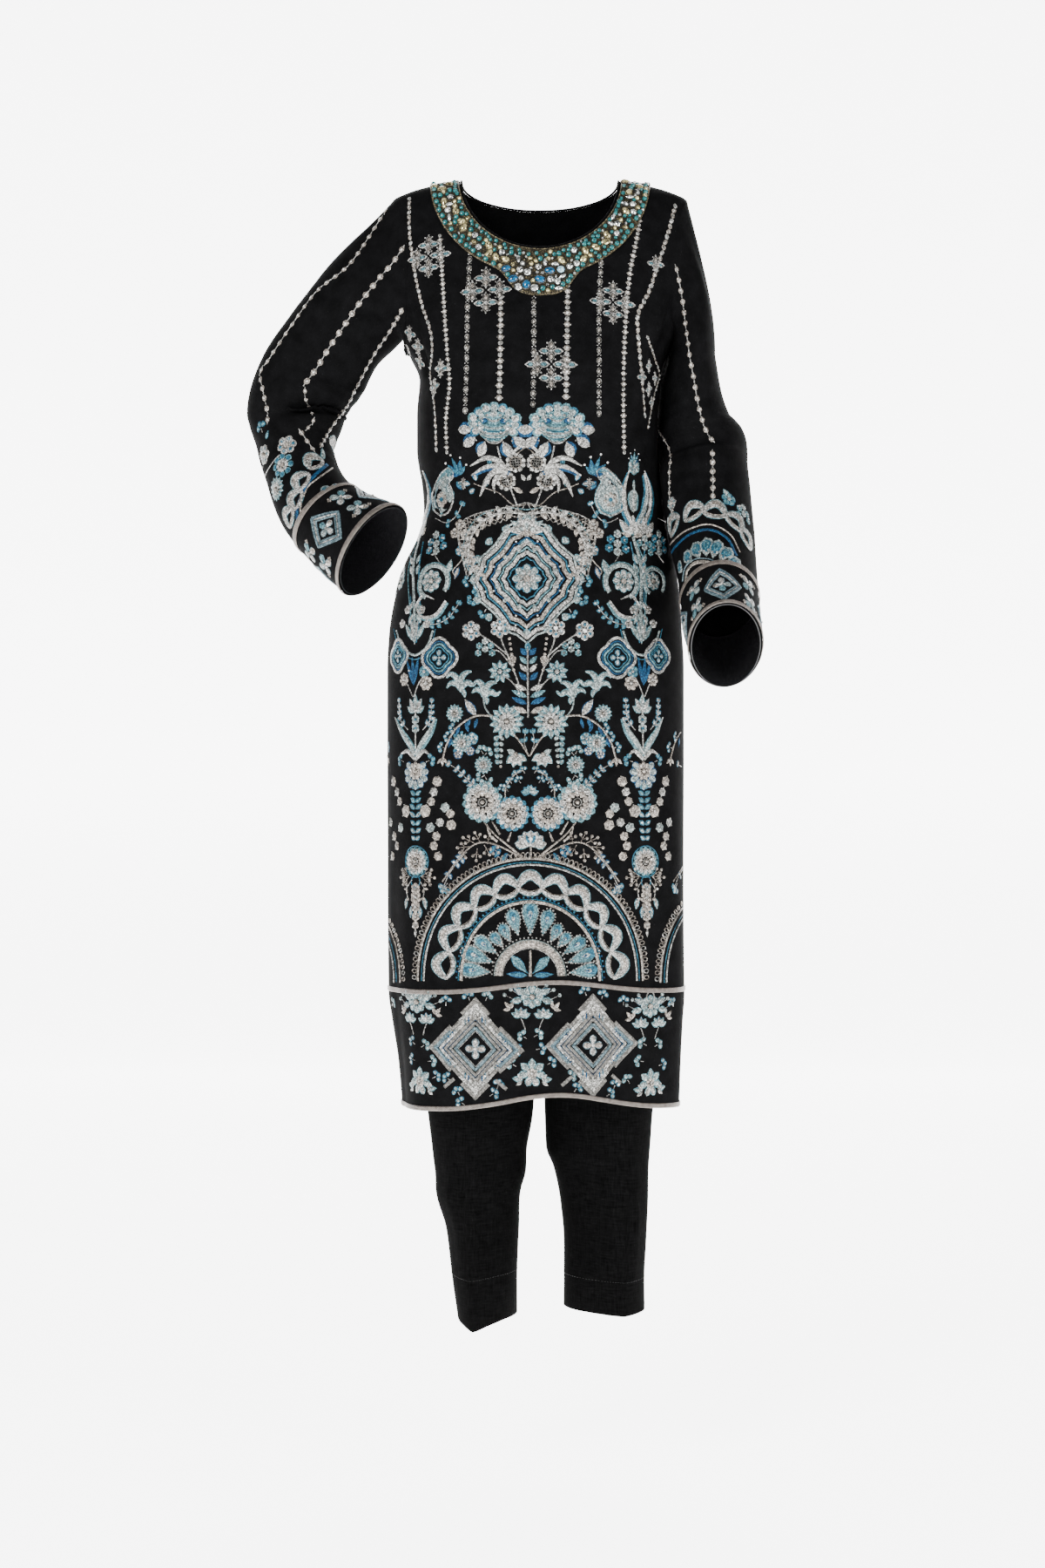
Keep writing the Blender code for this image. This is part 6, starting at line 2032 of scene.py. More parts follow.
def arch(ground, x0, base, half, tall):
    """A nest of arches: looped trim and piping, a band of interlaced lobes, and piping inside it."""

    def on(share, grow=0.0):
        """A point of the arch, from its left foot at 0 to its right one at 1, grown outwards."""
        a = math.pi * share
        return x0 - (half + grow) * math.cos(a), base - (tall + grow) * max(math.sin(a), 0) ** 0.92

    def rail(grow, width, colour, height):
        count = int((half + tall) * 1.3 / 2.4)
        cord(ground, [ground.seen(*on(k / count, grow)) for k in range(count + 1)], width, colour, height)

    def along(count, grow, motif):
        for k in range(count):
            share = (k + 0.5) / count
            (x, y), (xa, ya) = on(share, grow), on(share + 0.01, grow)
            found = ground.seen(x, y)
            if found:
                motif(Pen(ground, *found, math.degrees(math.atan2(ya - y, xa - x))), k)

    for piping in ((-1.6, 3.0, "champagne", 1.0), (-5.8, 1.4, "blue", 0.6), (-8.6, 2.4, "silver", 1.0)):
        rail(*piping)
    along(74, 2.4, lambda pen, k: ring(pen, 2.3, 1.3, "champagne" if k % 4 else "silver", 0.9, 1.35, 2.0))
    along(11, -33, lambda pen, k: lobes(pen))
    rail(-51.5, 3.6, "champagne", 0.9)
    rail(-48.4, 1.4, "blue", 0.6)
    along(52, -46.2, lambda pen, k: bead(pen, 0, 0, 1.3, "navy" if k % 2 else "blue"))


def lobes(pen):
    """One lobe of the interlaced band: a broad hood over a dark eye, and the band that runs under it."""
    hood = [(-14.8, 3), (-10.6, -4.5), (-5.2, -10.4), (0, -12.2), (5.2, -10.4), (10.6, -4.5), (14.8, 3)]
    line(pen, hood, 13.4, "aqua", 0.4, (0.34, 0.34), 0.66, 1.6)
    line(pen, hood, 11.6, "silver", 1.0, (0.34, 0.34), 0.66, 1.6)
    line(pen, [(-8.0, -8.0), (0, -12.8), (8.0, -8.0)], 5.2, "champagne", 1.4, (0.3, 0.3), 0.7)
    line(pen, [(-14.0, -1.0), (-11.0, -9.6), (0, -17.2), (11.0, -9.6), (14.0, -1.0)], 1.3, "pale", 1.3)
    line(pen, [(-14.8, 2), (-9, 6.8), (0, 8.6), (9, 6.8), (14.8, 2)], 5.2, "silver", 1.1, (0.75, 0.75), 0.2)
    line(pen, [(-13.5, 5.4), (-8, 9.8), (0, 11.4), (8, 9.8), (13.5, 5.4)], 1.4, "aqua", 0.6)
    line(pen, [(-11, 2.4), (-6, 4.6), (0, 5.8), (6, 4.6), (11, 2.4)], 1.0, "champagne", 1.3)


# The petals of the fan: (turn, foot, reach, width), from its middle to one side.
FAN_PETALS = (
    (0, 44, 85, 20), (16.5, 46, 79, 17), (30, 43, 68, 14), (43, 43, 66, 13.5), (56, 43, 77, 17),
    (70, 43, 84, 19), (84.5, 43, 82, 18),
)


def fan_petal(pen, long, width):
    """A drop edged with small knots, with three drops one in another inside it."""
    outline = blade(long, width, 0.70, 0.6)
    pad(pen, [(a * 1.14, b * 1.05 + 1) for a, b in outline], "pale", 0.35)
    pad(pen, outline, "aqua", 0.8)
    for x, y in through([*outline[1:6], *outline[6:]], 3.0):
        bead(pen, x * 0.97, y, 1.25, "silver", 5, 1.5)
    for share, back, colour, height in (
        (0.66, 0.28, "blue", 1.2), (0.42, 0.37, "pale", 1.5), (0.20, 0.46, "navy", 1.8),
    ):
        pad(pen, [(a * share, b * share - long * back) for a, b in outline], colour, height)
    knots(pen, [(0, -2.5), (-1.8, -6), (1.8, -6), (0, -9)], 1.4, "silver")


def fan(ground, x0, base):
    """A half ring of stitches with drop-shaped petals round it and leaves inside."""
    pen = Pen(ground, *ground.seen(x0, base))
    for radius, width, colour, height in (
        (36, 9.0, "champagne", 0.8), (31.2, 1.6, "silver", 1.3), (40.6, 1.6, "pale", 1.3),
    ):
        ring(pen, radius, width, colour, height, 1.0, 2.2, (-89, 89))
    for k in range(30):
        turn = -87 + 174 * k / 29
        bead(pen, *away(turn, 38.4), 1.0, "pale", 5, 1.9)
        bead(pen, *away(turn, 43.2), 1.1, "silver", 5, 1.2)
    for turn, foot, reach, width in FAN_PETALS:
        for side in (-1, 1) if turn else (1,):
            fan_petal(pen.moved(*away(turn * side, foot), turn * side), reach - foot, width)
    for side in (-1, 1):
        leaf(pen, 1.5 * side, -2, 44 * side, 30, 10.5, "aqua", "blue", widest=0.6)
        line(pen, [(3 * side, -4), (17 * side, -18)], 1.6, "blue", 1.5, (1.0, 0.4))
        leaf(pen, 2 * side, -1, 86 * side, 26, 6, "blue", "navy", widest=0.4)
    line(pen, [(0, 0), (0, -29)], 3.2, "champagne", 1.1, (1.0, 0.7))


def skirt_arches(ground):
    """The arch with a fan in it at the centre of the skirt's foot, and one arch on either side."""
    arch(ground, 609, 1126, ARCH_HALF_WIDTH, 142)
    fan(ground, 609, 1121)
    for x0 in (609 - ARCH_PITCH, 609 + ARCH_PITCH):
        arch(ground, x0, 1128, ARCH_HALF_WIDTH, 140)


def arm(pen, start, end, width, colour, height=0.9):
    """A flat straight band of stitches."""
    spots = [
        pen.spot(
            start[0] + (end[0] - start[0]) * t, start[1] + (end[1] - start[1]) * t,
        ) for t in np.linspace(0, 1, 9)
    ]
    cord(pen.ground, spots, width, colour, height)


def chevron(pen, turn, reach, arm_length, width, colour, height=0.9):
    """Two bands that meet at a right angle at this reach from the middle, pointing this way."""
    at = pen.moved(0, 0, turn)
    leg, over = arm_length * math.sqrt(0.5), width * 0.35
    for side in (-1, 1):
        arm(
            at, (-side * over, -reach - over + width * 0.7), (leg * side, leg - reach + width * 0.7), width,
            colour, height,
        )


# The half width a stepped diamond is drawn at, and its height as a share of its width.
DIAMOND_RADIUS = 57
DIAMOND_TALL = 1.05


def step_diamond(pen, radius):
    """A stepped diamond: broad frames one in another, corner caps, coloured bars and a cross flower."""
    at = pen.moved(0, 0, 0, radius / DIAMOND_RADIUS)
    for reach, width, colour, height in (
        (46.4, 4.6, "pewter", 0.7), (40.2, 4.6, "silver", 0.8), (34.0, 4.6, "pewter", 0.8),
        (28.2, 4.0, "pewter", 0.9), (22.6, 3.8, "slate", 1.0), (19.4, 1.4, "silver", 1.3),
        (31.2, 0.9, "navy", 0.9),
    ):
        diamond(at, reach, width, colour, height, DIAMOND_TALL)
    for turn in (90, 270):
        chevron(at, turn, 56, 35, 5.2, "pewter")
        chevron(at, turn, 50, 27, 4.6, "slate", 1.0)
        chevron(at, turn, 46.6, 24, 2.2, "navy", 1.1)
        chevron(at, turn, 38.6, 18, 1.2, "navy", 1.2)
    for turn, bars in ((0, "slate"), (180, "blue")):
        chevron(at, turn, 58, 22, 5.4, "pewter")
        chevron(at, turn, 51.6, 25, 5.2, "silver", 0.9)
        cap = at.moved(0, 0, turn)
        for k in range(-4, 5):
            colour = (bars, "pewter", "navy")[abs(k) % 3] if k else "silver"
            pad(cap.moved(3.9 * k, -38.0 + abs(k) * 2.6), oval(13.0 - abs(k), 2.7, 6), colour, 1.3)
    for turn in (45, 135, 225, 315):
        edge = at.moved(0, 0, turn)
        for k in (-2, -1, 0, 1, 2):
            colour = "navy" if k % 2 else "slate"
            pad(
                edge.moved(3.4 * k + (9 if turn > 90 else 14) * (1 if turn in (45, 225) else -1), -30.5),
                oval(5.4, 2.4, 6), colour, 1.25,
            )
    for side in (-1, 1):
        arm(at, (24 * side, 34), (36 * side, 44), 4.4, "pewter")
    for turn in (0, 90, 180, 270):
        leaf(at, 0, 0, turn, 12.0, 7.6, "champagne" if turn % 180 else "silver", "slate", **ROUND)
    bead(at, 0, 0, 2.0, "sequin", height=1.3)


def border_flower(pen, size=1.0):
    """The flower at the border's top: petals over a curl, with two cups and leaves under it."""
    at = pen.moved(0, 0, 0, size)
    ring(at, 5.5, 1.8, "silver", 0.9, 1.2, 2.0, (-150, 150))
    flower(at.moved(0, 10), 8, 13, "pale", "champagne", "aqua")
    for side in (-1, 1):
        leaf(at, 7 * side, 8, 62 * side, 16, 8, "pale", "blue")
        leaf(at, 10 * side, 13, 100 * side, 15, 7, "pale", "aqua")
        cup = at.moved(12.5 * side, 30)
        for turn in (-66, -34, 0, 34, 66):
            leaf(cup, 0, 3, turn, 12, 5.6, "pale" if turn else "silver", "aqua" if turn else "blue")
        line(cup, [(0, 4), (-3 * side, 11), (-5 * side, 17)], 1.3, "silver")
        for turn, length, width in ((40, 11, 5), (95, 9, 4.4), (-15, 10, 4.4)):
            leaf(at, 24 * side, 24, turn * side, length, width, "champagne")
        for x, y in ((16, -3), (24, 2), (31, 8)):
            bead(at, x * side, y, 2.5, "pale")
            line(at, [(x * side, y), (x * 0.6 * side, y + 6)], 1.0, "silver")


def border_foot_flower(pen, size=1.0):
    """The flower at the border's foot: seven petals and a leaf on either side."""
    at = pen.moved(0, 0, 0, size)
    petals(at, 5, 2, 15, 8.5, "pale", 0, 200, "aqua", widest=0.55)
    petals(at, 2, 2, 14, 8.0, "silver", 180, 44, "aqua", **ROUND)
    flower(at, 6, 6.5, "champagne", "silver")
    for side in (-1, 1):
        leaf(at, 11 * side, 8, 80 * side, 12, 5.4, "pale", "aqua")
        leaf(at, 11 * side, 8, 40 * side, 9, 4.6, "silver", None)
        leaf(at, 11 * side, 9, 125 * side, 9, 4.6, "silver", None)


def border_motifs(ground):
    """Stepped diamonds, flowers between them, and small sprigs in the corners."""
    whole = Side(ground, 1)
    for x, y in ((546, 1204), (681, 1200), (424, 1205), (803, 1203)):
        whole.draw(step_diamond, x, y, DIAMOND_RADIUS)
    for x, y in ((611, 1134), (478, 1140), (747, 1145)):
        whole.draw(border_flower, x, y)
    for x, y in ((611, 1232), (482, 1241), (747, 1243)):
        whole.draw(border_foot_flower, x, y)
    for x, y, turn in (
        (538, 1145, -20), (559, 1145, 20), (672, 1139, -20), (692, 1143, 20), (601, 1190, -60),
        (617, 1188, 60), (598, 1206, -80), (620, 1204, 80), (589, 1222, -60), (632, 1220, 60),
        (572, 1246, 20), (526, 1254, -30), (514, 1238, -60), (655, 1236, 60), (706, 1246, 20),
        (739, 1198, -60), (755, 1199, 60), (735, 1218, -80), (760, 1222, 80), (474, 1196, -60),
        (487, 1200, 60), (474, 1216, -80), (495, 1218, 80), (500, 1236, 60), (566, 1256, 60),
        (530, 1266, -60), (662, 1250, 40), (700, 1256, 60), (721, 1240, -30), (512, 1150, 0),
        (716, 1150, 0), (451, 1152, 30), (772, 1152, -30),
    ):
        whole.draw(sprig, x, y, 0.95, "pale", "aqua" if x % 2 else "blue", turn=turn)


INKS = {
    "silver": thread(
        "silver_thread", (0.018, 0.018, 0.017), (0.110, 0.108, 0.098), (0.570, 0.561, 0.534), 0.35, 0.36,
    ),
    "champagne": thread(
        "champagne_thread", (0.022, 0.018, 0.016), (0.109, 0.094, 0.078), (0.478, 0.432, 0.377), 0.35, 0.38,
    ),
    "pewter": thread(
        "pewter_thread", (0.017, 0.016, 0.014), (0.055, 0.052, 0.046), (0.193, 0.184, 0.166), 0.35, 0.42,
    ),
    "pale": thread(
        "pale_thread", (0.017, 0.027, 0.027), (0.079, 0.102, 0.100), (0.390, 0.445, 0.432), 0.25, 0.40, 0.40,
    ),
    "slate": thread(
        "slate_thread", (0.008, 0.019, 0.023), (0.031, 0.058, 0.068), (0.138, 0.200, 0.225), 0.20, 0.42, 0.30,
    ),
    "aqua": thread(
        "aqua_thread", (0.005, 0.025, 0.031), (0.020, 0.070, 0.084), (0.140, 0.280, 0.308), 0.15, 0.42, 0.30,
    ),
    "blue": thread(
        "blue_thread", (0.002, 0.016, 0.026), (0.004, 0.044, 0.072), (0.030, 0.150, 0.215), 0.10, 0.45, 0.20,
    ),
    "navy": thread(
        "navy_thread", (0.001, 0.008, 0.020), (0.003, 0.022, 0.056), (0.012, 0.075, 0.150), 0.0, 0.5, 0.10,
    ),
    "sequin": thread("sequins", (0.20, 0.20, 0.19), (0.50, 0.50, 0.48), (0.95, 0.95, 0.93), 0.60, 0.20),
}


def sew(ground):
    """Turns the embroidery of a ground into pieces, one for each colour."""
    names = []
    for colour, stitches in ground.work.items():
        name = f"{ground.name}_{colour}"
        piece(name, stitches.points, stitches.faces, INKS[colour], sharp=45.0)
        names.append(name)
    return names


FRONT = Ground("front_embroidery", SHEETS["front"])
front_top(FRONT)
front_middle(FRONT)
front_lower(FRONT)
skirt_arches(FRONT)
BORDER = Ground("border_embroidery", SHEETS["border"])
border_motifs(BORDER)
EMBROIDERY = {"front_cloth": sew(FRONT), "border_cloth": sew(BORDER)}


# ---- The beaded neck patch.


def lifted(sheet, height):
    """A sheet moved out along its normals."""
    made = Sheet()
    made.points = [Vector(p) + Vector(n).normalized() * height for p, n in zip(sheet.points, sheet.normals)]
    made.normals, made.quads, made.rows = sheet.normals, sheet.quads, sheet.rows
    return made


def neck_patch():
    """The backing of the beadwork, laid on the front round the neckline."""
    turns = np.linspace(-1, 1, PATCH_COLUMNS + 1)
    sheet = Sheet()
    for out in np.linspace(1, 0, PATCH_ROWS + 1):
        places = np.array([patch_place(turn, out) for turn in turns])
        sheet.add_row(*torso(places[:, 0], places[:, 1], "front"))
    shell("neck_patch_cloth", sheet, PATCH_GROUND, low=LAID_ON, rise=PATCH_BACKING)
    return sheet


# The flat table of a cut stone, and the height its girdle lies at, as shares of its size.
TABLE = 0.55
GIRDLE = 0.45


def gem(pen, outline, colour, height):
    """A cut stone: facets that slope up to a flat table."""
    rim = [pen.spot(x, y) for x, y in outline]
    centre = sum((p for p, _ in rim), Vector()) / len(rim)
    out = sum((normal for _, normal in rim), Vector()).normalized()
    facing = (rim[0][0] - centre).cross(rim[1][0] - centre)
    rim = rim[::-1] if facing.dot(out) < 0 else rim
    n, rise = len(rim), height / 1000
    points = [p + out * LOW for p, _ in rim]
    points += [p + out * rise * GIRDLE for p, _ in rim]
    points += [centre.lerp(p, TABLE) + out * rise for p, _ in rim]
    faces = [tuple(range(n - 1, -1, -1)), tuple(range(2 * n, 3 * n))]
    for i in range(n):
        j = (i + 1) % n
        faces += [(i, j, j + n, i + n), (i + n, j + n, j + 2 * n, i + 2 * n)]
    pen.ground.of(colour).add(points, faces)


def set_stone(pen, length, width, colour, height=2.0, setting="gold"):
    """A cut stone in a ring of metal thread."""
    gem(pen, oval(length, width, 8), colour, height)
    rim = oval(length + 1.3, width + 1.3, 10)
    cord(pen.ground, [pen.spot(*p) for p in [*rim, rim[0]]], 1.1, setting, 0.8)


# What the patch is packed with, largest first: (how many tries, radius, motif). Sizes are millimetres.
PACKING = (
    (110, 4.6, lambda pen: set_stone(pen, 10.4, 6.8, "topaz", 2.6, "gold")),
    (90, 4.0, lambda pen: set_stone(pen, 7.6, 7.4, "crystal", 2.8, "twist")),
    (90, 3.6, lambda pen: set_stone(pen, 9.4, 4.8, "crystal", 2.4, "twist")),
    (280, 3.1, lambda pen: bead(pen, 0, 0, 3.0, "pearl", 10, 1.15)),
    (420, 2.8, lambda pen: set_stone(pen, 5.2, 5.2, "topaz", 2.2, "gold")),
    (320, 2.3, lambda pen: bead(pen, 0, 0, 2.2, "pearl", 8, 1.15)),
    (420, 2.0, lambda pen: gem(pen, oval(4.2, 3.6, 6), "crystal", 2.0)),
    (120, 1.3, lambda pen: bead(pen, 0, 0, 1.1, "gold", 6, 1.1)),
)
# The stones of the drop under the neckline: (x, y, length, width, turn, colour) in pixels and millimetres.
DROP_STONES = (
    (581, 308.5, 9.5, 6.6, 80, "sapphire"), (589, 320, 10, 7.2, 70, "sapphire"),
    (604.5, 326.5, 9.5, 7.4, 15, "sapphire"), (620, 320.5, 10.5, 7.2, -70, "sapphire"),
    (631, 310.5, 10, 6.8, -85, "sapphire"), (595, 329.5, 8.0, 8.0, 0, "crystal"),
    (613.7, 330.5, 8.0, 8.0, 0, "crystal"), (597, 309.5, 6.6, 6.6, 0, "crystal"),
    (605.5, 312.5, 7.4, 7.4, 0, "crystal"), (618.5, 306.6, 6.6, 6.6, 0, "crystal"),
    (632.5, 320.5, 7.2, 7.2, 0, "crystal"), (598.5, 319, 5.4, 5.4, 0, "crystal"),
    (578.3, 317.5, 6.6, 6.6, 0, "crystal"), (612, 322, 4.6, 4.6, 0, "topaz"),
    (589, 303.5, 5.0, 4.0, 20, "topaz"), (610, 303, 5.4, 4.2, 70, "topaz"),
    (600, 302.5, 5.0, 5.0, 0, "crystal"), (644, 309.5, 7.6, 7.6, 0, "glacier"),
)


# How near two stones may come, as a share of their radii together.
PACKED = 0.93


def stud_patch(sheet):
    """Sets the stones: rows of pearls near both edges, the drop's stones, and the rest packed between."""
    ground = Ground("neck_patch", lifted(sheet, LAID_ON + PATCH_BACKING))
    dice, taken = random.Random(11), []

    def at(turn, out, spin=0.0):
        x, drop = patch_place(turn, out)
        (place,), _ = torso(np.array([x]), np.array([drop]), "front")
        return Pen(ground, *ground.near(Vector(place)), spin)

    def free(place, radius):
        return all((place - other).length * 1000 > (radius + size) * PACKED for other, size in taken)

    for x, y, length, width, turn, colour in DROP_STONES:
        found = ground.seen(x, y)
        if found:
            pen = Pen(ground, *found, turn)
            set_stone(
                pen, length * 1.12, width * 1.16, colour, 2.8, "pewter" if colour == "sapphire" else "twist",
            )
            taken.append((pen.place, (length + width) / 4 + 0.9))
    for out, pitch, radius in ((0.87, 0.050, 3.0), (0.13, 0.064, 2.4)):
        for turn in np.arange(-0.985, 0.99, pitch):
            pen = at(turn + dice.uniform(-0.006, 0.006), out + dice.uniform(-0.03, 0.03))
            if free(pen.place, radius):
                bead(pen, 0, 0, radius, "pearl", 9, 1.15)
                taken.append((pen.place, radius))
    for tries, radius, motif in PACKING:
        for _ in range(tries):
            pen = at(dice.uniform(-0.985, 0.985), dice.uniform(0.07, 0.94), dice.uniform(0, 180))
            if free(pen.place, radius):
                motif(pen)
                taken.append((pen.place, radius))
    for out, width in ((0.985, 1.2), (0.015, 1.1)):
        pens = [at(turn, out) for turn in np.linspace(-0.995, 0.995, 240)]
        cord(ground, [(pen.place, pen.down.cross(pen.right) * -1) for pen in pens], width, "gold", 1.3)
    for turn in np.arange(-0.99, 0.991, 0.0125):
        bead(at(turn, 0.955), 0, 0, 0.9, "gold", 5, 1.1)
    return ground


# ---- Embroidery of the sleeves and cuffs.


def drop_chain(ground, points, pitch=12.6, size=1.0):
    """Teardrop knots strung on a fine cord."""
    for pen in walk(ground, points, pitch):
        at = pen.moved(0, 0, 0, size)
        line(at, [(0, -pitch / 2 / size), (0, pitch / 2 / size)], 1.4, "silver", 0.6, step=4.0)
        pad(
            at,
            [
                (0, -4.4), (2.6, -1.8), (3.3, 0.8), (2.0, 3.4), (0, 4.4), (-2.0, 3.4), (-3.3, 0.8),
                (-2.6, -1.8),
            ],
            "champagne", 1.0,
        )
        pad(at, oval(4.6, 2.6, 6, 0, 0.3), "sequin", 1.5)


def lobes_along(ground, places, size):
    """Lobes of the interlaced band at these pixels, each facing out from the line through them."""
    for k, (x, y) in enumerate(places):
        (x0, y0), (x1, y1) = places[max(k - 1, 0)], places[min(k + 1, len(places) - 1)]
        found = ground.seen(x, y)
        if found:
            lobes(Pen(ground, *found, math.degrees(math.atan2(y1 - y0, x1 - x0)), size))


def petal_cross(pen, size=1.0):
    """Four fat petals set as an X, with a knot in the middle."""
    at = pen.moved(0, 0, 45, size * 1.12)
    for turn, colour in ((0, "aqua"), (90, "champagne"), (180, "silver"), (270, "pale")):
        leaf(at, 0, 0, turn, 12.5, 8.4, colour, "slate", **ROUND)
        leaf(at, 0, 0, turn, 8.5, 3.2, "sequin" if turn == 90 else colour, None, height=1.3)
    bead(at, 0, 0, 1.9, "silver", height=1.6)


def outlined_diamond(pen):
    for radius, width, colour, height in (
        (24.5, 3.9, "slate", 1.0), (20.7, 2.0, "silver", 1.3), (17.6, 3.2, "slate", 1.0),
        (22.7, 0.9, "navy", 1.1),
    ):
        diamond(pen, radius, width, colour, height)
    petal_cross(pen.moved(0, 0, -45), 0.82)


# How many outlined diamonds go round the cuff.
CUFF_DIAMONDS = 4


def cuff_band(ground, sheet, x, y):
    """Outlined diamonds evenly round the cuff, one of them at this pixel, and cross flowers between them."""
    row = sheet.rows[len(sheet.rows) // 2][:-1]
    places = [Vector(sheet.points[i]) for i in row]
    seen, _ = ground.seen(x, y)
    first = min(range(len(row)), key=lambda i: (places[i] - seen).length)
    for k in range(2 * CUFF_DIAMONDS):
        i = (first + k * len(row) // (2 * CUFF_DIAMONDS)) % len(row)
        along = (places[(i + 1) % len(row)] - places[i - 1]).normalized()
        pen = Pen(ground, *ground.near(places[i]), right=along)
        if k % 2 == 0:
            outlined_diamond(pen)
            continue
        for y in (-14.0, 14.0):
            petal_cross(pen.moved(0, y), 0.95)
            for x in (-12, 12):
                knots(pen.moved(x, y * 1.45), [(-1.6, 0), (1.6, 0), (0, -1.8), (0, 1.8)], 1.25, "champagne")


def ringed_flower(pen, radius, colour="blue"):
    """Six round petals, each a coloured middle in a silver ring."""
    for k in range(6):
        x, y = away(60 * k + 20, radius * 0.60)
        pad(pen, oval(radius * 0.86, radius * 0.80, 9, x, y), "silver", 0.7, 0.2)
        pad(pen, oval(radius * 0.50, radius * 0.46, 8, x * 1.06, y * 1.06), colour, 1.1)
    bead(pen, 0, 0, radius * 0.26, "champagne", 7, 1.3)


def right_sleeve(ground):
    """The arm on the viewer's left: three chains, flowers at the forearm, and half an arch over the cuff."""
    side = Side(ground, 1)
    drop_chain(
        ground,
        (
            (444, 240), (403, 301), (364, 334), (335, 373), (309.5, 411), (299, 428), (302, 450),
            (306.6, 472), (307, 490),
        ),
    )
    drop_chain(
        ground,
        ((468, 276), (452, 300), (434, 321), (412, 349), (395, 374), (378, 399), (364, 422), (349, 442)),
        13.2, 1.1,
    )
    drop_chain(ground, ((350, 444), (351, 458), (358, 474), (360, 483), (353, 492)), 10.5, 0.72)
    drop_chain(ground, ((343, 492), (352, 505), (362, 519)), 12.0, 0.95)
    drop_chain(
        ground,
        ((463, 353), (448, 380), (431, 405), (414, 436), (400, 464), (385, 485), (378, 495), (367, 515)),
        10.2, 0.95,
    )
    side.draw(sprig, 300, 492, 1.2, "aqua", "blue", turn=-30)
    side.leaf(305, 505, 20, 12, 5, "aqua", "blue")
    side.draw(ringed_flower, 329, 511, 12.5)
    side.draw(ringed_flower, 303, 522, 12.0, "slate")
    side.draw(petals, 324, 534, 8, 6, 9, 7, "blue", 0, 360, "aqua", **ROUND)
    side.draw(flower, 324, 534, 8, 9.5, "silver", "champagne")
    side.draw(daisy, 317, 561, 13.5)
    side.draw(daisy, 312, 590, 9.5)
    side.line([(304, 560), (305, 545), (313, 531), (321, 522)], 1.7, "silver")
    side.line([(304, 560), (300, 548), (302, 535)], 1.7, "silver")
    side.fern([(308, 610), (306, 590), (303, 568)], 9, 8, 4, "pale", "aqua")
    side.draw(floret_bunch, 318, 634, 5, "aqua", size=0.7)
    places = ((324, 640), (327, 617), (332, 594), (340.5, 573), (347, 552), (362, 531), (381, 513))
    lobes_along(ground, places, 0.80)
    side.line(
        [(350, 602), (345, 588), (346, 578), (350, 566), (355, 557), (368, 547), (382, 537)], 2.4,
        "champagne", 0.9,
    )
    side.line(
        [(347, 607), (342, 598), (341, 586), (345, 572), (352, 557), (362, 545), (376, 533)], 4.6, "navy",
        0.45,
    )
    side.leaf(371, 528, -8, 19, 6, "pale", "aqua")
    for x, y, turn, size in ((372.6, 563.6, -70, 1.0), (361, 575, -80, 1.0), (384, 558, -45, 0.7)):
        side.draw(cuff_petal, x, y, turn=turn + 90, size=size)


def cuff_petal(pen):
    """A drop of blue stitches with a bright tip, lying along its length about its middle."""
    long, width = 20.0, 11.0
    outline = [(a, b + long / 2) for a, b in blade(long, width, 0.66, 0.6)]
    pad(pen, [(a * 1.10, b * 1.04) for a, b in outline], "pale", 0.5, 0.15)
    pad(pen, outline, "blue", 0.9)
    pad(pen, [(a * 0.62, b * 0.66 - 1.5) for a, b in outline], "aqua", 1.3)
    pad(pen, [(a * 0.30, b * 0.50 - 1.0) for a, b in outline], "blue", 1.7)
    knots(pen, [(0, long * 0.30), (-1.6, long * 0.18), (1.6, long * 0.18)], 1.2, "silver")


def left_sleeve(ground):
    """The arm on the viewer's right: two chains and an arch with a fan over the cuff."""
    side = Side(ground, 1)
    points = (
        (771, 288), (775, 303), (779, 318), (784, 348), (788, 380), (792, 410), (797, 436), (802, 465),
        (810, 492), (820, 509),
    )
    drop_chain(ground, points, 12.6, 0.95)
    drop_chain(ground, ((818, 516), (818.6, 550), (818.6, 578)), 11.0, 1.05)
    drop_chain(ground, ((755, 492), (769, 518), (768.5, 542), (769, 574), (772, 588)), 12.0, 0.8)
    lobes_along(ground, ((757, 622), (773, 603), (796, 588), (821, 587), (844, 599), (857, 618)), 0.92)
    side.line([(762, 640), (772, 622), (790, 608), (815, 602), (838, 613), (850, 634)], 2.4, "champagne", 0.9)
    side.line([(767, 642), (776, 627), (793, 613), (815, 608), (835, 618), (846, 638)], 3.8, "navy", 0.5)
    for x, y, turn, size in (
        (781, 652, -52, 1.25), (790, 640, -34, 1.35), (800, 632, -17, 1.45), (811, 628, 0, 1.5),
        (822, 630, 15, 1.5), (833, 636, 32, 1.45), (842, 645, 50, 1.35), (848, 657, 70, 1.2),
    ):
        side.draw(cuff_petal, x, y, turn=turn, size=size)
    side.line([(787, 672), (789, 656), (797, 647), (808, 645), (818, 648), (823, 655)], 5.0, "champagne", 1.0)
    side.line([(784, 668), (787, 652), (796, 643), (808, 641), (820, 644), (827, 652)], 1.5, "slate", 1.2)
    for points in ([(796, 676), (803, 664), (810, 652)], [(796, 676), (792, 668), (789, 662)]):
        side.line(points, 3.2, "slate", 1.0, (1.0, 0.5))
    side.draw(flower, 837, 573, 5, 9, "aqua", "silver", "blue")
    side.leaf(838, 572, -35, 14, 7, "pale", "aqua")
    side.draw(floret_bunch, 854, 590, 6, "aqua", size=0.8)
    side.draw(ringed_flower, 771, 578, 8, "aqua")
    side.draw(floret_bunch, 757, 596, 5, "blue", size=0.8)


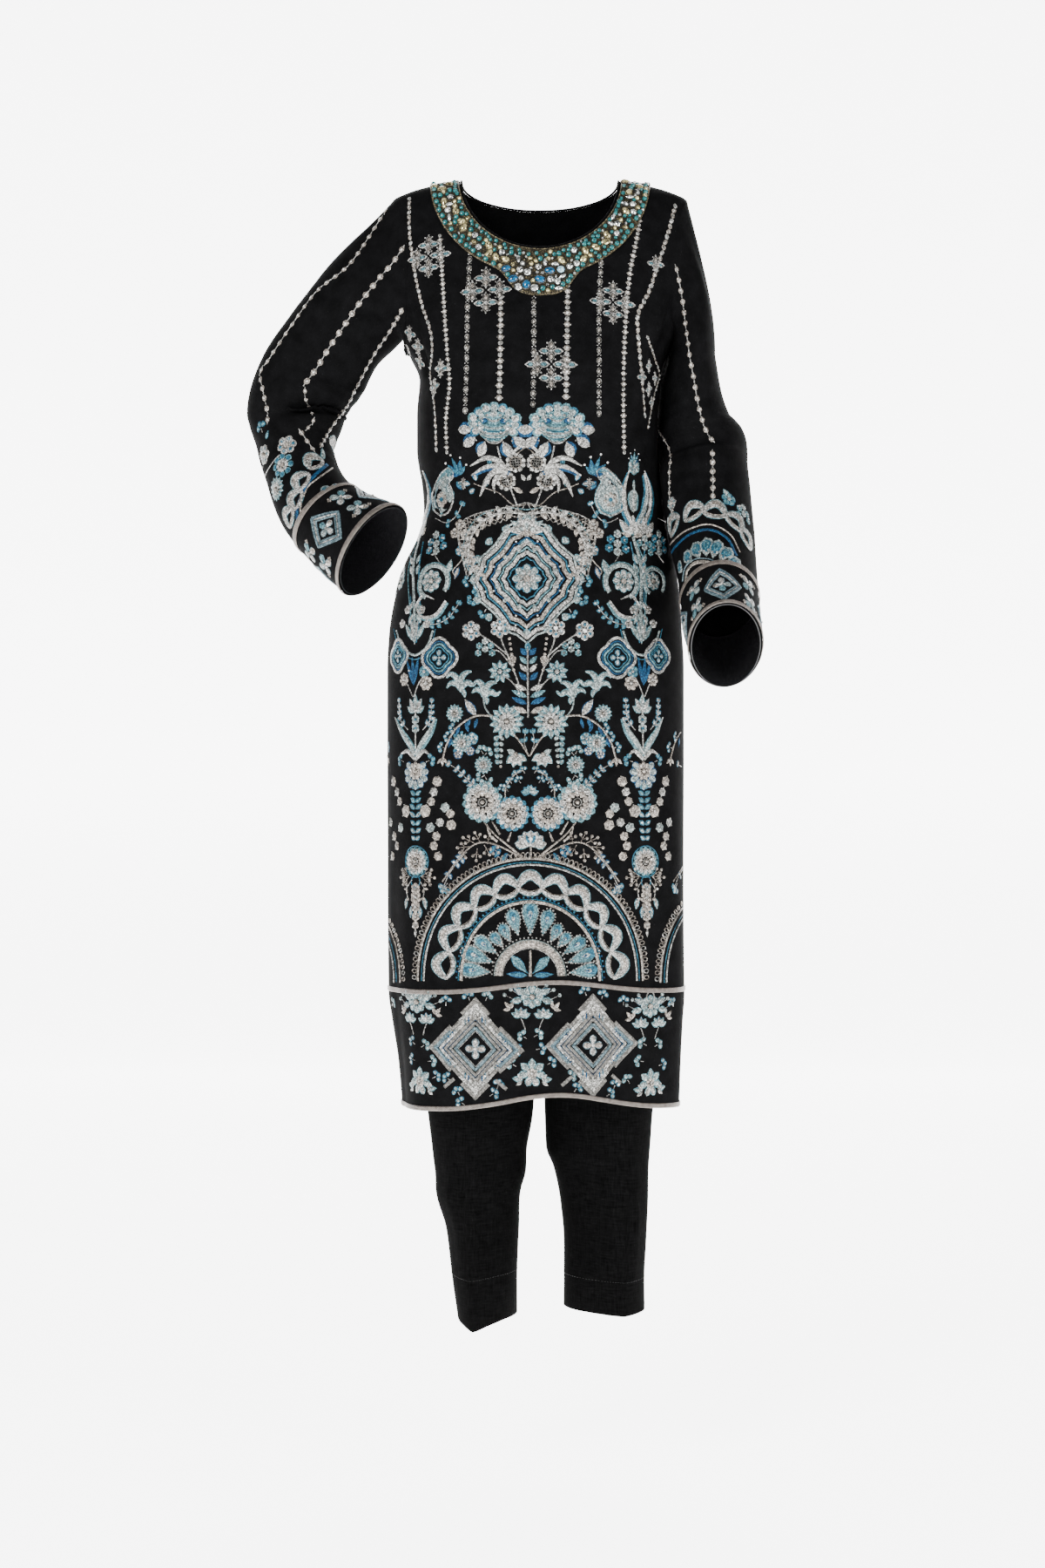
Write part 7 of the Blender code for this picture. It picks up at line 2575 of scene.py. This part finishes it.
def stitched_hem(ground, sheet, height):
    """Short stitches all round a trouser leg, where its hem is turned up."""
    heights = [np.mean([sheet.points[i][2] for i in row]) for row in sheet.rows]
    row = sheet.rows[int(np.argmin(np.abs(np.array(heights) - height)))]
    places = [ground.near(Vector(sheet.points[i])) for i in row]
    for (a, out), (b, _) in zip(places, places[1:]):
        cord(ground, [(a.lerp(b, 0.15), out), (a.lerp(b, 0.70), out)], 0.7, "twist", 0.35)


PATCH_GROUND = thread(
    "patch_backing", (0.002, 0.002, 0.0016), (0.008, 0.007, 0.004), (0.050, 0.040, 0.020), 0.0, 0.6, 0.10,
)
INKS["gold"] = thread(
    "gold_thread", (0.009, 0.007, 0.004), (0.044, 0.035, 0.018), (0.25, 0.205, 0.115), 0.45, 0.32,
)
INKS["twist"] = thread(
    "black_thread", (0.004, 0.004, 0.004), (0.010, 0.010, 0.010), (0.030, 0.030, 0.030), 0.0, 0.6, 0.20,
)
INKS["crystal"] = stone("clear_crystal", (0.020, 0.024, 0.022), (0.95, 0.97, 0.93), 0.06, 0.80)
INKS["topaz"] = stone("gold_glass", (0.055, 0.042, 0.012), (0.80, 0.70, 0.36), 0.08, 0.65)
INKS["pearl"] = stone("teal_pearl", (0.003, 0.045, 0.050), (0.014, 0.130, 0.130), 0.18, 0.10, 0.3)
INKS["sapphire"] = stone("blue_glass", (0.0, 0.013, 0.036), (0.0, 0.080, 0.180), 0.10, 0.0, 0.10)
INKS["glacier"] = stone("ice_glass", (0.03, 0.13, 0.20), (0.45, 0.68, 0.78), 0.08, 0.3)

SHEETS["patch"] = neck_patch()
EMBROIDERY["neck_patch_cloth"] = sew(stud_patch(SHEETS["patch"]))
for hand, work, x, y in (("right", right_sleeve, 378, 610), ("left", left_sleeve, 828, 675)):
    arm = Ground(f"sleeve_embroidery_{hand}", SHEETS[f"arm_{hand}"])
    work(arm)
    EMBROIDERY[f"sleeve_cloth_{hand}"] = sew(arm)
    cuff = Ground(f"cuff_embroidery_{hand}", SHEETS[f"cuff_{hand}"])
    cuff_band(cuff, SHEETS[f"cuff_{hand}"], x, y)
    EMBROIDERY[f"cuff_cloth_{hand}"] = sew(cuff)
    leg = Ground(f"hem_stitches_{hand}", SHEETS[f"leg_{hand}"])
    stitched_hem(leg, SHEETS[f"leg_{hand}"], HEM_STITCH_HEIGHT)
    EMBROIDERY[f"leg_cloth_{hand}"] = sew(leg)

REPLACED = {
    "front_cloth": ("kameez_front",),
    "back_cloth": ("kameez_back",),
    "border_cloth": ("front_border",),
    "neck_binding_cord": ("neck_binding",),
    "braid_border": ("border_braid",),
    "braid_hem_front": ("hem_braid_front",),
    "braid_hem_back": ("hem_braid_back",),
    "leg_cloth_right": ("trouser_leg_right",),
    "leg_cloth_left": ("trouser_leg_left",),
    "waistband_cloth": ("waistband",),
    "neck_patch_cloth": ("neck_patch",),
}
for hand in ("right", "left"):
    REPLACED[f"sleeve_cloth_{hand}"] = (f"sleeve_{hand}",)
    REPLACED[f"cuff_cloth_{hand}"] = (f"cuff_{hand}",)
    REPLACED[f"facing_satin_{hand}"] = (f"cuff_facing_{hand}",)
    REPLACED[f"braid_upper_{hand}"] = (f"cuff_braid_upper_{hand}",)
    REPLACED[f"braid_lower_{hand}"] = (f"cuff_braid_lower_{hand}",)
DECLARED = [
    ("front_cloth", "front", "hung", ["back_cloth"], ["braid_border", "neck_binding_cord"]),
    ("back_cloth", "back", "hung", [], ["braid_hem_back"]),
    ("border_cloth", "border", "hung", ["front_cloth"], ["braid_hem_front"]),
    ("neck_patch_cloth", "patch", "laid", ["front_cloth"], []),
    ("waistband_cloth", "waist", "gathered", [], []),
]
for hand in ("right", "left"):
    DECLARED += [
        (f"sleeve_cloth_{hand}", f"arm_{hand}", "draped", ["front_cloth", "back_cloth"], []),
        (f"cuff_cloth_{hand}", f"cuff_{hand}", "draped", [f"sleeve_cloth_{hand}"],
         [f"braid_upper_{hand}", f"braid_lower_{hand}"]),
        (f"facing_satin_{hand}", f"facing_{hand}", "draped", [f"cuff_cloth_{hand}"], []),
        (f"leg_cloth_{hand}", f"leg_{hand}", "hung", ["waistband_cloth"], []),
    ]
for new, old in REPLACED.items():
    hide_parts(*old)
for name, sheet, held, rests_on, with_pieces in DECLARED:
    cut = SHEETS[sheet]
    low, high = np.array(cut.points).min(axis=0), np.array(cut.points).max(axis=0)
    length = high[2] - low[2]
    cut.area() / length
stage()
